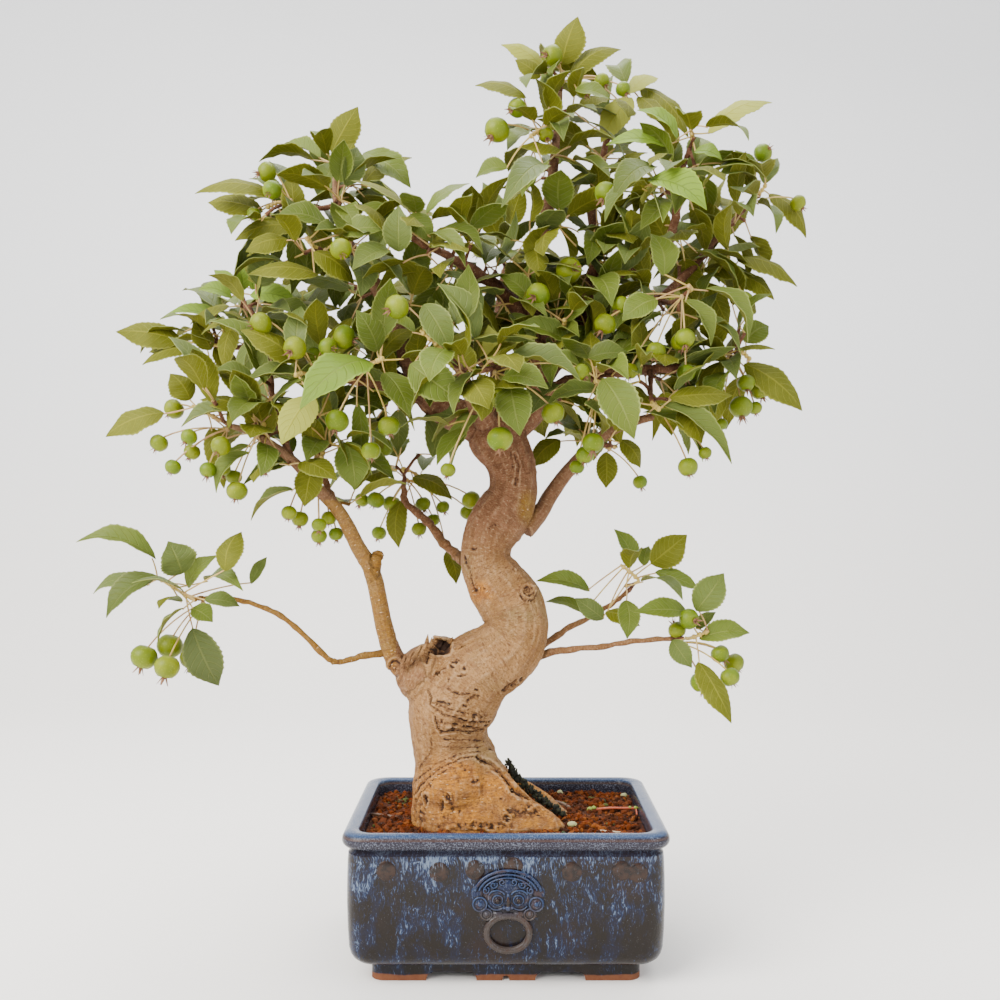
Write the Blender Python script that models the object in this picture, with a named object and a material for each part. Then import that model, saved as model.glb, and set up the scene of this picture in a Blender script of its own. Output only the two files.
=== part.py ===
"""A hall crabapple bonsai: a bent trunk with its branches, sprays of leaves and bunches of small green
apples, standing in soil in a glazed pot. Metres, +Z up, resting on Z = 0, and +Y points away from the viewer.

Places read off the reference picture are given as (across, down, depth): pixels of its 1000 x 1000 frame,
and millimetres behind the middle of the pot. Every other size is in millimetres."""

import math
import random
from collections import namedtuple

import bmesh
import bpy
from mathutils import Matrix, Vector
from mathutils.bvhtree import BVHTree

MM = 0.001
COLLECTION_NAME = "hall_crabapple_bonsai"

# The reference picture: a level camera in front of the middle of the pot, looking along +Y
VIEW_DISTANCE = 794.0
VIEW_HEIGHT = 306.0
VIEW_ACROSS = -3.8
VIEW_FOCAL = 1132.0
VIEW_MIDDLE = (500.0, 507.0)

# The middle of the pot, from the middle of the whole tree's box
POT_MIDDLE = (30.5, -11.5)

GAP = 0.3
SMALL_GAP = 0.15
SHARP_ANGLE = 40

# Pot: the lip's outer size, then (inset from the lip, height) down the inside and up the outside
POT_HALF_WIDTH = 105.5
POT_HALF_DEPTH = 80.5
POT_HEIGHT = 98.5
LIP_CORNER = 15.0
LEAST_CORNER = 7.0
CORNER_SHRINK = 0.35
CORNER_STEPS = 2
FLOOR_HEIGHT = 18.0
SOLE_HEIGHT = 8.0
FOOT_INSET = 18.0
FOOT_WALL = 8.0
POT_OUTSIDE = (
    (FOOT_INSET, 0.0),
    (FOOT_INSET, 11.5),
    (12.5, 12.6),
    (7.0, 15.8),
    (4.4, 22.5),
    (3.0, 52.0),
    (3.6, 84.0),
    (5.8, 86.0),
    (5.8, 88.0),
    (1.4, 89.4),
    (0.0, 92.6),
    (0.6, 96.4),
    (3.0, POT_HEIGHT),
)
POT_INSIDE = ((9.6, POT_HEIGHT), (11.0, 97.0), (12.0, 60.0), (16.0, FLOOR_HEIGHT))
FOOT_ARCH_HEIGHT = 7.0
CORNER_FOOT = 36.0
MIDDLE_FOOT = 19.0
MIDDLE_NOTCH = 2.2
MIDDLE_NOTCH_HEIGHT = 3.2
SIDE_ARCH = 31.0
DRAIN_RADIUS = 8.0
DRAIN_APART = 42.0
DRAIN_SIDES = 12

# Mask and ring in low relief: (across, height, radius across, radius up) of each rounded form, for one half
MASK_DEPTH = 3.4
MASK_SINK = 3.4
MASK_FORMS = (
    (0.0, 71.5, 8.0, 6.0),
    (12.5, 68.0, 6.4, 6.0),
    (19.0, 56.5, 5.4, 7.6),
    (7.5, 61.5, 5.6, 3.2),
    (0.0, 55.0, 3.8, 6.0),
    (9.0, 48.6, 6.4, 5.0),
)
MASK_RING = (0.0, 38.0, 11.5, 2.3)
MASK_RING_STEPS = 9
MASK_RING_SPAN = (110, 430)

# Soil: a low mound with a grainy top
SOIL_EDGE = 88.0
SOIL_MOUND = 3.2
SOIL_GRAIN = 0.7
SOIL_RINGS = (1.0, 0.86, 0.71, 0.56, 0.4, 0.2)

# Root base: its outline in the soil, as radii round its middle, and how it draws in towards the trunk
BASE_MIDDLE = (-18.0, -11.0)
BASE_RADII = (40, 30, 28, 30, 33, 36, 42, 46, 47, 46, 42, 36, 33, 37, 48, 62)
BASE_BOTTOM = 72.0
BASE_RINGS = (
    (BASE_BOTTOM, 1.0, 0.0),
    (93.0, 1.0, 0.0),
    (97.0, 0.96, -2.0),
    (102.0, 0.88, -5.0),
    (108.0, 0.79, -9.0),
    (116.0, 0.7, -13.0),
    (127.0, 0.6, -16.0),
    (140.0, 0.5, -19.0),
)
HOLE_CLEARANCE = 0.6
HOLE_TOP = 110.0

Limb = namedtuple("Limb", "name roundness line")

# Trunk and branches: (across, down, depth, radius) along each
TRUNK_LINE = (
    (458, 792, -10, 32),
    (456, 765, -10, 29.5),
    (451, 745, -10, 27),
    (449, 729, -11, 27),
    (451, 712, -12, 30),
    (459, 692, -14, 31),
    (478, 670, -15, 27.5),
    (500, 655, -14, 25),
    (514, 638, -12, 23.5),
    (516, 618, -9, 22.5),
    (510, 602, -7, 23),
    (497, 584, -5, 21.5),
    (487, 565, -4, 18.6),
    (486, 549, -3, 18),
    (490, 534, -2, 19),
    (502, 515, 0, 20.5),
    (512, 496, 0, 18),
    (513, 476, 0, 17.3),
    (508, 457, 0, 18),
    (497, 438, 0, 20.5),
    (490, 421, 0, 19),
)
LIMBS = (
    Limb("stub", 2, ((436, 668, -14, 8.5), (441, 652, -14, 7.8), (444, 637, -14, 7.0))),
    Limb("left_bough", 2, (
        (414, 674, -14, 10), (397, 662, -15, 7.4), (385, 630, -18, 6.2), (373, 575, -26, 5.8),
        (358, 547, -31, 5.2), (340, 513, -36, 4.6), (315, 486, -43, 4.0), (292, 460, -48, 3.4),
        (258, 436, -53, 2.6), (232, 426, -57, 2.0))),
    Limb("bough_stub", 0, ((373, 582, -26, 4), (376, 562, -30, 4.4), (377, 556, -31, 3.8))),
    Limb("bough_fork", 0, (
        (340, 513, -36, 3.2), (328, 490, -30, 2.7), (321, 460, -24, 2.3), (316, 425, -22, 2.0),
        (313, 388, -30, 1.7))),
    Limb("left_riser", 0, (
        (292, 460, -48, 2.6), (276, 415, -44, 2.3), (270, 380, -40, 2.1), (262, 341, -32, 1.9),
        (250, 308, -22, 1.6))),
    Limb("low_left_twig", 0, (
        (396, 652, -14, 2.6), (360, 657, -20, 2.2), (337, 662, -26, 2.0), (324, 655, -30, 2.0),
        (299, 630, -34, 1.9), (272, 611, -38, 1.8), (238, 600, -40, 1.7), (206, 598, -40, 1.6))),
    Limb("inner_left", 0, (
        (470, 562, -2, 5.0), (459, 556, 8, 4.0), (443, 543, 16, 3.4), (426, 520, 24, 3.0),
        (406, 503, 30, 2.6), (404, 485, 34, 2.2))),
    Limb("left_limb", 2, (
        (492, 430, 0, 16), (468, 420, -4, 13), (431, 400, -8, 10), (410, 362, -10, 7.5),
        (398, 325, -12, 6.0), (375, 285, -14, 4.8), (350, 245, -14, 3.6), (337, 205, -10, 2.6),
        (335, 178, -8, 2.0))),
    Limb("left_reach", 0, (
        (431, 400, -8, 6.0), (385, 385, -26, 4.4), (348, 378, -42, 3.2), (322, 376, -52, 2.4))),
    Limb("left_back", 0, (
        (425, 390, -4, 6.0), (375, 370, 24, 4.5), (320, 350, 44, 3.4), (270, 347, 46, 2.6),
        (228, 348, 30, 1.8))),
    Limb("centre_left", 0, (
        (535, 335, 6, 5.5), (508, 298, 0, 4.6), (470, 268, -14, 3.6), (435, 250, -30, 2.6),
        (408, 236, -42, 1.9))),
    Limb("leader", 2, (
        (498, 432, 2, 15), (525, 415, 4, 12), (541, 394, 6, 9.8), (537, 360, 6, 8.4),
        (535, 333, 6, 7.4), (531, 300, 4, 6.4), (536, 262, 2, 5.4), (545, 222, 0, 4.6),
        (552, 180, -2, 3.8), (556, 140, -4, 3.0), (560, 92, -2, 2.0))),
    Limb("right_riser", 1, (
        (545, 378, 8, 6.5), (579, 334, 12, 5.4), (590, 296, 14, 4.8), (594, 250, 12, 4.0),
        (592, 204, 18, 3.2), (602, 160, 24, 2.6), (613, 118, 29, 2.0))),
    Limb("right_fork", 0, (
        (594, 292, 13, 4.4), (630, 268, 6, 3.8), (668, 243, -4, 3.2), (677, 205, -14, 2.6),
        (684, 165, -22, 2.0))),
    Limb("right_upper", 0, (
        (588, 322, 13, 4.0), (640, 308, 8, 3.3), (669, 291, 6, 2.9), (700, 260, 14, 2.5),
        (722, 232, 24, 2.2), (742, 212, 31, 1.8))),
    Limb("right_arm", 0, (
        (545, 392, 4, 6.0), (594, 374, -4, 4.6), (640, 370, -8, 3.6), (673, 368, -8, 3.0),
        (698, 359, 0, 2.6), (725, 352, 8, 2.0))),
    Limb("right_low_limb", 0, (
        (524, 528, 2, 8.5), (540, 513, 8, 6.2), (550, 496, 12, 5.6), (570, 469, 16, 5.0),
        (604, 435, 20, 4.2), (640, 420, 22, 3.2), (690, 410, 14, 2.4), (722, 402, 6, 1.9))),
    Limb("low_right_front", 0, (
        (536, 656, -12, 3.0), (560, 651, -16, 2.3), (603, 646, -20, 2.0), (636, 641, -24, 1.8),
        (674, 638, -26, 1.6))),
    Limb("low_right_back", 0, (
        (538, 650, -4, 3.0), (561, 633, 2, 2.2), (590, 617, 6, 1.9), (613, 603, 8, 1.7),
        (628, 591, 8, 1.6))),
    Limb("front_limb", 1, (
        (490, 428, -6, 10), (478, 408, -30, 6.8), (468, 388, -52, 4.8), (458, 366, -68, 3.2))),
    Limb("back_limb", 0, (
        (500, 428, 8, 11), (500, 395, 34, 8.0), (498, 355, 58, 5.8), (500, 310, 76, 4.2),
        (505, 270, 84, 3.0))),
    Limb("back_right", 0, (
        (502, 378, 44, 5.5), (560, 345, 66, 4.4), (620, 310, 82, 3.4), (665, 290, 86, 2.4))),
    Limb("back_left", 0, (
        (498, 368, 50, 5.5), (440, 330, 70, 4.4), (385, 300, 80, 3.2), (340, 282, 78, 2.2))),
)
# Twigs from a branch to each spray: they spring from one of a few places between a branch's points, from a
# low one rather than a high one, and a long twig sags
TWIG_RADIUS = 1.5
TWIG_CHOICES = 4
TWIG_DROP_COST = 0.6
LONG_TWIG = 30.0
TWIG_SAG = 0.1
TWIG_SAG_AT = 0.55
# Rounded swellings: (across, down, depth, radius, radius, radius)
SWELLINGS = (
    (431, 675, -14, 24.5, 23, 22),
    (529, 590, -18, 7.0, 6.0, 6.0),
)

Leaf = namedtuple("Leaf", "base tip width near")
Spray = namedtuple("Spray", "name hub more leaves")
Bunch = namedtuple("Bunch", "name spray apples")

# Leaves seen in the picture: where the blade starts and ends, its width, and how far its tip comes forward
SPRAYS = (
    Spray("low_left", (197, 598, -40), 0, (
        Leaf((156, 559), (76, 542), 22, 4), Leaf((182, 574), (168, 541), 26, 12),
        Leaf((188, 588), (218, 555), 15, 0), Leaf((226, 571), (242, 533), 20, -8),
        Leaf((251, 584), (267, 557), 9, -4), Leaf((158, 576), (106, 618), 24, 14),
        Leaf((150, 585), (93, 594), 12, -14), Leaf((183, 602), (159, 609), 10, 10),
        Leaf((207, 581), (243, 590), 15, -10), Leaf((204, 600), (240, 606), 14, 12),
        Leaf((192, 608), (213, 622), 16, 16), Leaf((192, 628), (219, 686), 26, 6))),
    Spray("low_right_front", (684, 638, -27), 0, (
        Leaf((687, 612), (634, 612), 18, 6), Leaf((696, 611), (724, 573), 22, 6),
        Leaf((699, 639), (750, 633), 18, 2), Leaf((696, 629), (716, 612), 9, -8),
        Leaf((672, 640), (692, 668), 15, 8), Leaf((698, 663), (732, 724), 20, 4))),
    Spray("low_right_back", (634, 584, 8), 0, (
        Leaf((634, 564), (614, 529), 16, 2), Leaf((644, 566), (649, 546), 11, -6),
        Leaf((651, 564), (687, 535), 24, 4), Leaf((655, 572), (700, 590), 14, 8),
        Leaf((590, 591), (536, 581), 17, 6), Leaf((586, 614), (545, 602), 11, -8),
        Leaf((604, 619), (575, 598), 15, 10), Leaf((606, 612), (640, 626), 14, 12))),
    Spray("far_left_high", (219, 346, 26), 0, (
        Leaf((181, 341), (116, 332), 23, 10), Leaf((227, 329), (164, 316), 17, -8),
        Leaf((182, 347), (149, 353), 13, -10), Leaf((211, 350), (193, 321), 18, 8),
        Leaf((214, 347), (238, 372), 20, 14), Leaf((211, 358), (179, 368), 14, 4))),
    Spray("far_left_low", (224, 422, -58), 1, (
        Leaf((164, 413), (106, 437), 22, 6), Leaf((240, 413), (181, 427), 20, 14),
        Leaf((190, 400), (170, 374), 20, 2))),
    Spray("left_hanging", (262, 428, -60), 0, (
        Leaf((250, 452), (216, 493), 18, 8), Leaf((280, 452), (259, 476), 14, 12),
        Leaf((246, 408), (200, 400), 15, -4))),
    Spray("left_fork", (322, 452, -30), 0, (
        Leaf((313, 465), (304, 506), 19, 14), Leaf((347, 441), (355, 490), 24, 10),
        Leaf((294, 490), (251, 521), 16, 2), Leaf((300, 466), (262, 468), 18, -16))),
    Spray("left_middle", (308, 374, -60), 1, (
        Leaf((305, 379), (243, 383), 20, 8), Leaf((313, 396), (281, 445), 22, 34),
        Leaf((296, 362), (240, 330), 22, 4))),
    Spray("left_front", (372, 364, -62), 0, (
        Leaf((370, 362), (300, 410), 32, 22), Leaf((378, 352), (356, 310), 22, 16),
        Leaf((384, 372), (410, 417), 22, 16))),
    Spray("pale_rosette", (243, 298, 8), 0, (
        Leaf((232, 298), (198, 290), 13, 4), Leaf((236, 295), (214, 270), 13, -4),
        Leaf((243, 291), (238, 264), 13, 6), Leaf((250, 295), (300, 305), 17, 12),
        Leaf((252, 290), (262, 266), 12, -8))),
    Spray("top_left_peak", (336, 168, 14), 0, (
        Leaf((332, 153), (358, 107), 24, 2), Leaf((322, 170), (311, 139), 17, -8),
        Leaf((342, 174), (354, 143), 20, 10), Leaf((363, 153), (411, 188), 24, 8),
        Leaf((361, 190), (412, 158), 22, -10), Leaf((332, 180), (285, 178), 17, 16))),
    Spray("top_left_side", (284, 204, -18), 1, (
        Leaf((276, 197), (195, 194), 23, 4), Leaf((263, 212), (208, 203), 20, -10),
        Leaf((296, 228), (235, 241), 22, 12))),
    Spray("top_left_front", (318, 248, -40), 0, (
        Leaf((326, 224), (276, 216), 22, 6), Leaf((342, 233), (386, 229), 20, 6),
        Leaf((318, 275), (248, 275), 23, 16), Leaf((314, 252), (354, 284), 22, 18),
        Leaf((288, 240), (246, 252), 18, -6))),
    Spray("pale_curl", (402, 226, -44), 0, (
        Leaf((399, 252), (399, 205), 21, 16), Leaf((410, 214), (432, 243), 17, 12),
        Leaf((429, 247), (458, 229), 16, 8), Leaf((390, 250), (352, 270), 22, 18))),
    Spray("apex", (562, 80, 2), 1, (
        Leaf((562, 65), (578, 17), 25, 2), Leaf((545, 72), (501, 45), 17, -2),
        Leaf((540, 78), (515, 60), 14, 12), Leaf((570, 79), (621, 50), 17, -4),
        Leaf((576, 90), (612, 100), 16, 12))),
    Spray("apex_left", (542, 132, -22), 1, (
        Leaf((526, 98), (475, 86), 20, 4), Leaf((560, 150), (519, 147), 18, 8),
        Leaf((545, 168), (502, 207), 20, 12), Leaf((508, 168), (475, 178), 18, -6))),
    Spray("apex_right", (620, 104, 30), 1, (
        Leaf((632, 98), (601, 143), 21, 12), Leaf((638, 97), (664, 126), 20, 6),
        Leaf((640, 88), (688, 138), 24, -6), Leaf((628, 94), (655, 80), 16, -12))),
    Spray("right_top", (690, 148, -26), 1, (
        Leaf((708, 134), (772, 103), 23, 2), Leaf((678, 142), (637, 110), 18, 10),
        Leaf((668, 147), (606, 145), 17, 4), Leaf((694, 152), (722, 160), 14, 12))),
    Spray("right_bright", (664, 184, -44), 1, (
        Leaf((648, 180), (707, 210), 27, 34), Leaf((655, 166), (612, 201), 22, 14),
        Leaf((670, 200), (640, 230), 18, 8))),
    Spray("right_tip", (754, 200, 34), 2, (
        Leaf((769, 194), (806, 238), 22, 2), Leaf((764, 184), (778, 158), 16, -4),
        Leaf((750, 182), (735, 150), 18, 8))),
    Spray("right_side", (728, 264, 22), 1, (
        Leaf((736, 258), (797, 287), 25, 6), Leaf((732, 276), (774, 300), 18, -8),
        Leaf((704, 270), (748, 278), 18, 14))),
    Spray("right_middle", (688, 292, -34), 0, (
        Leaf((664, 276), (651, 234), 22, 8), Leaf((706, 288), (748, 342), 22, 6),
        Leaf((684, 300), (711, 346), 20, 16), Leaf((657, 299), (622, 321), 22, 14))),
    Spray("right_end", (736, 352, 10), 1, (
        Leaf((744, 364), (802, 411), 26, 8), Leaf((744, 342), (769, 326), 20, -8),
        Leaf((722, 362), (700, 401), 15, 12))),
    Spray("right_low", (652, 402, -44), 1, (
        Leaf((660, 404), (732, 464), 22, 16), Leaf((643, 412), (703, 462), 18, 4),
        Leaf((670, 398), (732, 396), 17, -8))),
    Spray("right_inner", (600, 384, -50), 0, (
        Leaf((603, 378), (634, 440), 26, 18), Leaf((588, 358), (628, 353), 20, 12),
        Leaf((600, 391), (543, 411), 21, 10), Leaf((586, 402), (600, 434), 18, -16))),
    Spray("low_right_limb", (612, 446, 30), 0, (
        Leaf((606, 452), (606, 488), 16, 4), Leaf((620, 440), (640, 468), 16, -6),
        Leaf((560, 440), (532, 468), 18, 4))),
    Spray("front_left", (444, 352, -72), 1, (
        Leaf((410, 364), (460, 402), 27, 16), Leaf((424, 304), (452, 354), 20, 6),
        Leaf((440, 340), (436, 300), 16, 8))),
    Spray("front_centre", (500, 366, -70), 0, (
        Leaf((504, 360), (581, 381), 26, 12), Leaf((492, 361), (488, 325), 13, 4),
        Leaf((503, 378), (548, 388), 20, 20), Leaf((510, 384), (520, 436), 24, 18))),
    Spray("centre_high", (560, 330, -16), 1, (
        Leaf((570, 343), (514, 325), 20, 10), Leaf((566, 322), (592, 300), 17, 6),
        Leaf((530, 300), (500, 276), 18, 4))),
    Spray("inner_low", (404, 474, 36), 1, (
        Leaf((412, 478), (452, 500), 18, 6), Leaf((402, 500), (399, 548), 17, 2),
        Leaf((446, 552), (456, 584), 13, 4), Leaf((392, 470), (362, 480), 18, -6))),
    Spray("back_left_high", (330, 276, 80), 5, ()),
    Spray("back_middle", (505, 262, 86), 5, ()),
    Spray("back_right_high", (672, 286, 88), 5, ()),
)

# Apples seen in the picture: (across, down, nearness, diameter)
BUNCHES = (
    Bunch("low_left", "low_left", (
        (144, 657, 4, 17.5), (170, 646, -8, 17.5), (167, 667, 12, 17), (191, 658, 0, 15))),
    Bunch("low_right", "low_right_front", (
        (720, 654, 0, 13), (734, 663, -12, 14), (730, 677, 8, 13.5), (701, 682, 4, 15))),
    Bunch("far_left", "far_left_low", (
        (174, 409, -8, 13.5), (159, 443, 4, 12), (189, 437, 12, 11), (208, 470, 10, 11))),
    Bunch("left_hanging", "left_hanging", ((221, 446, 16, 13), (237, 491, 6, 13.5))),
    Bunch("left_fork", "left_fork", ((289, 513, 14, 10.5), (319, 536, 6, 11))),
    Bunch("left_middle", "left_middle", ((295, 348, 16, 15),)),
    Bunch("left_front", "left_front", ((337, 421, 10, 15.5),)),
    Bunch("top_left", "top_left_side", ((267, 172, 4, 13.5), (272, 190, 18, 13))),
    Bunch("top_front", "top_left_front", ((341, 249, 24, 14),)),
    Bunch("front_left", "front_left", ((397, 307, 16, 15.5),)),
    Bunch("inner_low", "inner_low", ((376, 500, 6, 13), (419, 529, 10, 11))),
    Bunch("apex", "apex", ((552, 56, 10, 15), (584, 90, 14, 12))),
    Bunch("apex_left", "apex_left", ((517, 108, 6, 13), (497, 130, 10, 17), (526, 177, 14, 14.5))),
    Bunch("centre", "centre_high", ((569, 270, 12, 18), (538, 295, 14, 16))),
    Bunch("right_bright", "right_bright", ((606, 193, 16, 15),)),
    Bunch("right_tip", "right_tip", ((798, 203, 4, 12), (763, 153, 8, 13.5))),
    Bunch("right_side", "right_side", ((744, 300, 16, 13),)),
    Bunch("right_middle", "right_middle", ((605, 324, 8, 14.5), (685, 338, 14, 13.5))),
    Bunch("right_end", "right_end", ((741, 407, 12, 16.5), (760, 390, 2, 14.5))),
    Bunch("right_low", "right_low", ((688, 467, 8, 13.5),)),
    Bunch("right_inner", "right_inner", ((593, 443, 14, 14),)),
    Bunch("front_centre", "front_centre", ((500, 439, 12, 16.5), (553, 413, 4, 15))),
    Bunch("low_right_limb", "low_right_limb", ((640, 482, 0, 11),)),
    Bunch("back", "back_middle", ((480, 250, -30, 13), (540, 240, -36, 13))),
)

# An apple: (share of its radius along its axis, share of its radius) from its shoulder to its flower's remains
APPLE_PROFILE = ((-0.62, 0.8), (0.0, 1.0), (0.62, 0.78), (1.36, 0.3))
APPLE_HANG = 0.5
STALK_RADIUS = 0.6
BUD_RADIUS = 1.7
BUD_BACK = 4.0
BUD_ASIDE = 3.3
BUD_LOOSE = 0.05
APPLE_LOOSE = 1.2

# A blade: (share of its length, share of its half width) up one side, cut by a tooth where it is wide
TOOTHED_EDGE = ((0.17, 0.76), (0.5, 1.0), (0.57, 0.82))
PLAIN_EDGE = ((0.2, 0.82), (0.6, 0.9))
WIDE_LEAF = 22
FILLING_WIDTH = (16, 21)
MIDRIB = 0.42
BLADE_THICKNESS = 0.7
LEAFSTALK_HALF_WIDTH = 0.6
BLADE_FOLD = 0.22
BLADE_ARCH = 0.1

# A spray's own stem: it starts clear of its twig, runs on a little and then leans towards its leaves
STEM_RADIUS = 1.2
STEM_GAP = 0.5
FIRST_STRETCH = 4.0
LONGEST_STEM = 30.0
LEAF_SPACING = 2.2
STEM_ON = 0.8
STEM_LOOSE = 12

# How far a seen leaf may stray in depth and across the view, and how much further with each new try
DEPTH_STRAY = 3.0
TIP_STRAY = 5.0
STRAY_GROWTH = 0.5
SLIDE_GROWTH = 0.06

# A leaf drawn by rule: the lengths of its stalk and blade, and how far the blade droops
FILLING_STALK = (10, 16)
FILLING_BLADE = (30, 46)
FILLING_DROOP = 0.25
TRIES = 100

# The crown as the picture shows it, which filling leaves keep within: (across, down, radius)
CROWN_DISCS = (
    (330, 235, 105), (215, 345, 80), (250, 420, 75), (350, 430, 85), (450, 330, 115), (545, 290, 140),
    (580, 120, 85), (690, 205, 92), (710, 320, 75), (695, 400, 60), (600, 420, 60), (425, 490, 60),
    (165, 595, 60), (670, 600, 60),
)

# Material: colour, roughness
MATERIALS = {
    "glazed_clay": ((0.015, 0.03, 0.09, 1.0), 0.2),
    "soil": ((0.17, 0.06, 0.025, 1.0), 0.95),
    "bark": ((0.42, 0.28, 0.18, 1.0), 0.8),
    "leaf": ((0.12, 0.2, 0.07, 1.0), 0.55),
    "apple": ((0.25, 0.42, 0.06, 1.0), 0.4),
}


def at_view(across, down, depth):
    """The point, in metres, that the reference picture shows at this place and depth."""
    away = VIEW_DISTANCE + depth
    return Vector((
        POT_MIDDLE[0] + VIEW_ACROSS + (across - VIEW_MIDDLE[0]) / VIEW_FOCAL * away,
        POT_MIDDLE[1] + depth,
        VIEW_HEIGHT + (VIEW_MIDDLE[1] - down) / VIEW_FOCAL * away,
    )) * MM


def in_view(point):
    """Where the reference picture shows this point."""
    away = point.y / MM - POT_MIDDLE[1] + VIEW_DISTANCE
    across = (point.x / MM - POT_MIDDLE[0] - VIEW_ACROSS) / away * VIEW_FOCAL + VIEW_MIDDLE[0]
    return across, VIEW_MIDDLE[1] - (point.z / MM - VIEW_HEIGHT) / away * VIEW_FOCAL


def clear_scene():
    for obj in list(bpy.data.objects):
        bpy.data.objects.remove(obj, do_unlink=True)


def make_material(name):
    colour, roughness = MATERIALS[name]
    material = bpy.data.materials.new(name)
    material.use_nodes = True
    shader = material.node_tree.nodes["Principled BSDF"]
    shader.inputs["Base Color"].default_value = colour
    shader.inputs["Roughness"].default_value = roughness
    return material


def object_of(name, bm):
    """An object, in no collection yet, with this bmesh as its mesh."""
    bmesh.ops.recalc_face_normals(bm, faces=bm.faces)
    mesh = bpy.data.meshes.new(name)
    bm.to_mesh(mesh)
    bm.free()
    return bpy.data.objects.new(name, mesh)


def combine(target, others, operation="UNION", solver="MANIFOLD"):
    """Joins the other objects to the target, or cuts them out of it, and removes them."""
    scene = bpy.context.scene.collection
    group = bpy.data.collections.new("operands")
    scene.children.link(group)
    for other in others:
        group.objects.link(other)
    scene.objects.link(target)
    modifier = target.modifiers.new("combine", "BOOLEAN")
    modifier.operation = operation
    modifier.solver = solver
    modifier.operand_type = "COLLECTION"
    modifier.collection = group
    graph = bpy.context.evaluated_depsgraph_get()
    joined = bpy.data.meshes.new_from_object(target.evaluated_get(graph))
    target.modifiers.clear()
    target.data = joined
    scene.objects.unlink(target)
    for other in others:
        bpy.data.objects.remove(other, do_unlink=True)
    bpy.data.collections.remove(group)


def shells_of(bm):
    """The vertices of each connected shell."""
    waiting = set(bm.verts)
    while waiting:
        shell = [waiting.pop()]
        for vert in shell:
            for edge in vert.link_edges:
                other = edge.other_vert(vert)
                if other in waiting:
                    waiting.discard(other)
                    shell.append(other)
        yield shell


def keep_one_body(obj):
    """Fills each hollow that the joining sealed, and drops loose scraps."""
    bm = bmesh.new()
    bm.from_mesh(obj.data)
    shells = sorted(shells_of(bm), key=len)
    spare = [vert for shell in shells[:-1] for vert in shell]
    bmesh.ops.delete(bm, geom=spare, context="VERTS")
    bm.to_mesh(obj.data)
    bm.free()


def finish_part(obj, material, collection, smooth=False):
    keep_one_body(obj)
    obj.data.materials.clear()
    obj.data.materials.append(material)
    if smooth:
        obj.data.shade_smooth()
        obj.data.set_sharp_from_angle(angle=math.radians(SHARP_ANGLE))
    collection.objects.link(obj)


def tube(name, line, roundness):
    """A tube along points in metres with a radius in metres at each, as a mesh with its caps welded on."""
    curve = bpy.data.curves.new(name, "CURVE")
    curve.dimensions = "3D"
    curve.bevel_depth = 1.0
    curve.bevel_resolution = roundness
    curve.use_fill_caps = True
    spline = curve.splines.new("POLY")
    spline.points.add(len(line) - 1)
    for spot, (place, radius) in zip(spline.points, line):
        spot.co = (*place, 1.0)
        spot.radius = radius
    guide = bpy.data.objects.new(name, curve)
    bpy.context.scene.collection.objects.link(guide)
    graph = bpy.context.evaluated_depsgraph_get()
    mesh = bpy.data.meshes.new_from_object(guide.evaluated_get(graph))
    bpy.data.objects.remove(guide, do_unlink=True)
    bpy.data.curves.remove(curve)
    bm = bmesh.new()
    bm.from_mesh(mesh)
    bmesh.ops.remove_doubles(bm, verts=bm.verts, dist=1e-6)
    return object_of(name, bm)


def ball(name, middle, radii, turn=None, sides=8, rings=5):
    """A rounded lump at a point in metres, with its three radii in metres."""
    bm = bmesh.new()
    bmesh.ops.create_uvsphere(bm, u_segments=sides, v_segments=rings, radius=1.0)
    place = Matrix.Translation(middle) @ (turn or Matrix()) @ Matrix.Diagonal((*radii, 1.0))
    bmesh.ops.transform(bm, matrix=place, verts=bm.verts)
    return object_of(name, bm)


def block(name, low, high):
    """A box between two corners in millimetres from the pot's middle."""
    bm = bmesh.new()
    bmesh.ops.create_cube(bm, size=1.0)
    middle = [(a + b) / 2 for a, b in zip(low, high)]
    size = [(b - a) * MM for a, b in zip(low, high)]
    bmesh.ops.scale(bm, vec=size, verts=bm.verts)
    bmesh.ops.translate(bm, vec=pot_point(*middle), verts=bm.verts)
    return object_of(name, bm)


def pot_point(x, y, z):
    return Vector((x + POT_MIDDLE[0], y + POT_MIDDLE[1], z)) * MM


def rounded_ring(inset, height, scale=1.0):
    """Points of a rounded rectangle, drawn in from the lip's outer edge."""
    corner = max(LEAST_CORNER, LIP_CORNER - CORNER_SHRINK * inset)
    half_x = POT_HALF_WIDTH - inset - corner
    half_y = POT_HALF_DEPTH - inset - corner
    ring = []
    for quarter, (sx, sy) in enumerate(((1, 1), (-1, 1), (-1, -1), (1, -1))):
        for step in range(CORNER_STEPS + 1):
            angle = math.radians(90) * (quarter + step / CORNER_STEPS)
            x = sx * half_x + corner * math.cos(angle)
            y = sy * half_y + corner * math.sin(angle)
            ring.append(pot_point(x * scale, y * scale, height))
    return ring


def loft(name, rings):
    """A closed solid through rings of points, alike in number, with its first and last ring capped."""
    bm = bmesh.new()
    corners = [[bm.verts.new(point) for point in ring] for ring in rings]
    for lower, upper in zip(corners, corners[1:]):
        for i in range(len(lower)):
            j = (i + 1) % len(lower)
            bm.faces.new((lower[i], lower[j], upper[j], upper[i]))
    bm.faces.new(corners[0][::-1])
    bm.faces.new(corners[-1])
    return object_of(name, bm)


def make_pot(material, collection):
    rings = [rounded_ring(FOOT_INSET + FOOT_WALL, height) for height in (SOLE_HEIGHT, 0.0)]
    rings += [rounded_ring(inset, height) for inset, height in POT_OUTSIDE + POT_INSIDE]
    pot = loft("pot", rings)
    combine(pot, foot_cutters(), "DIFFERENCE", "EXACT")
    combine(pot, mask_relief())
    finish_part(pot, material, collection, smooth=True)
    return pot


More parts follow.
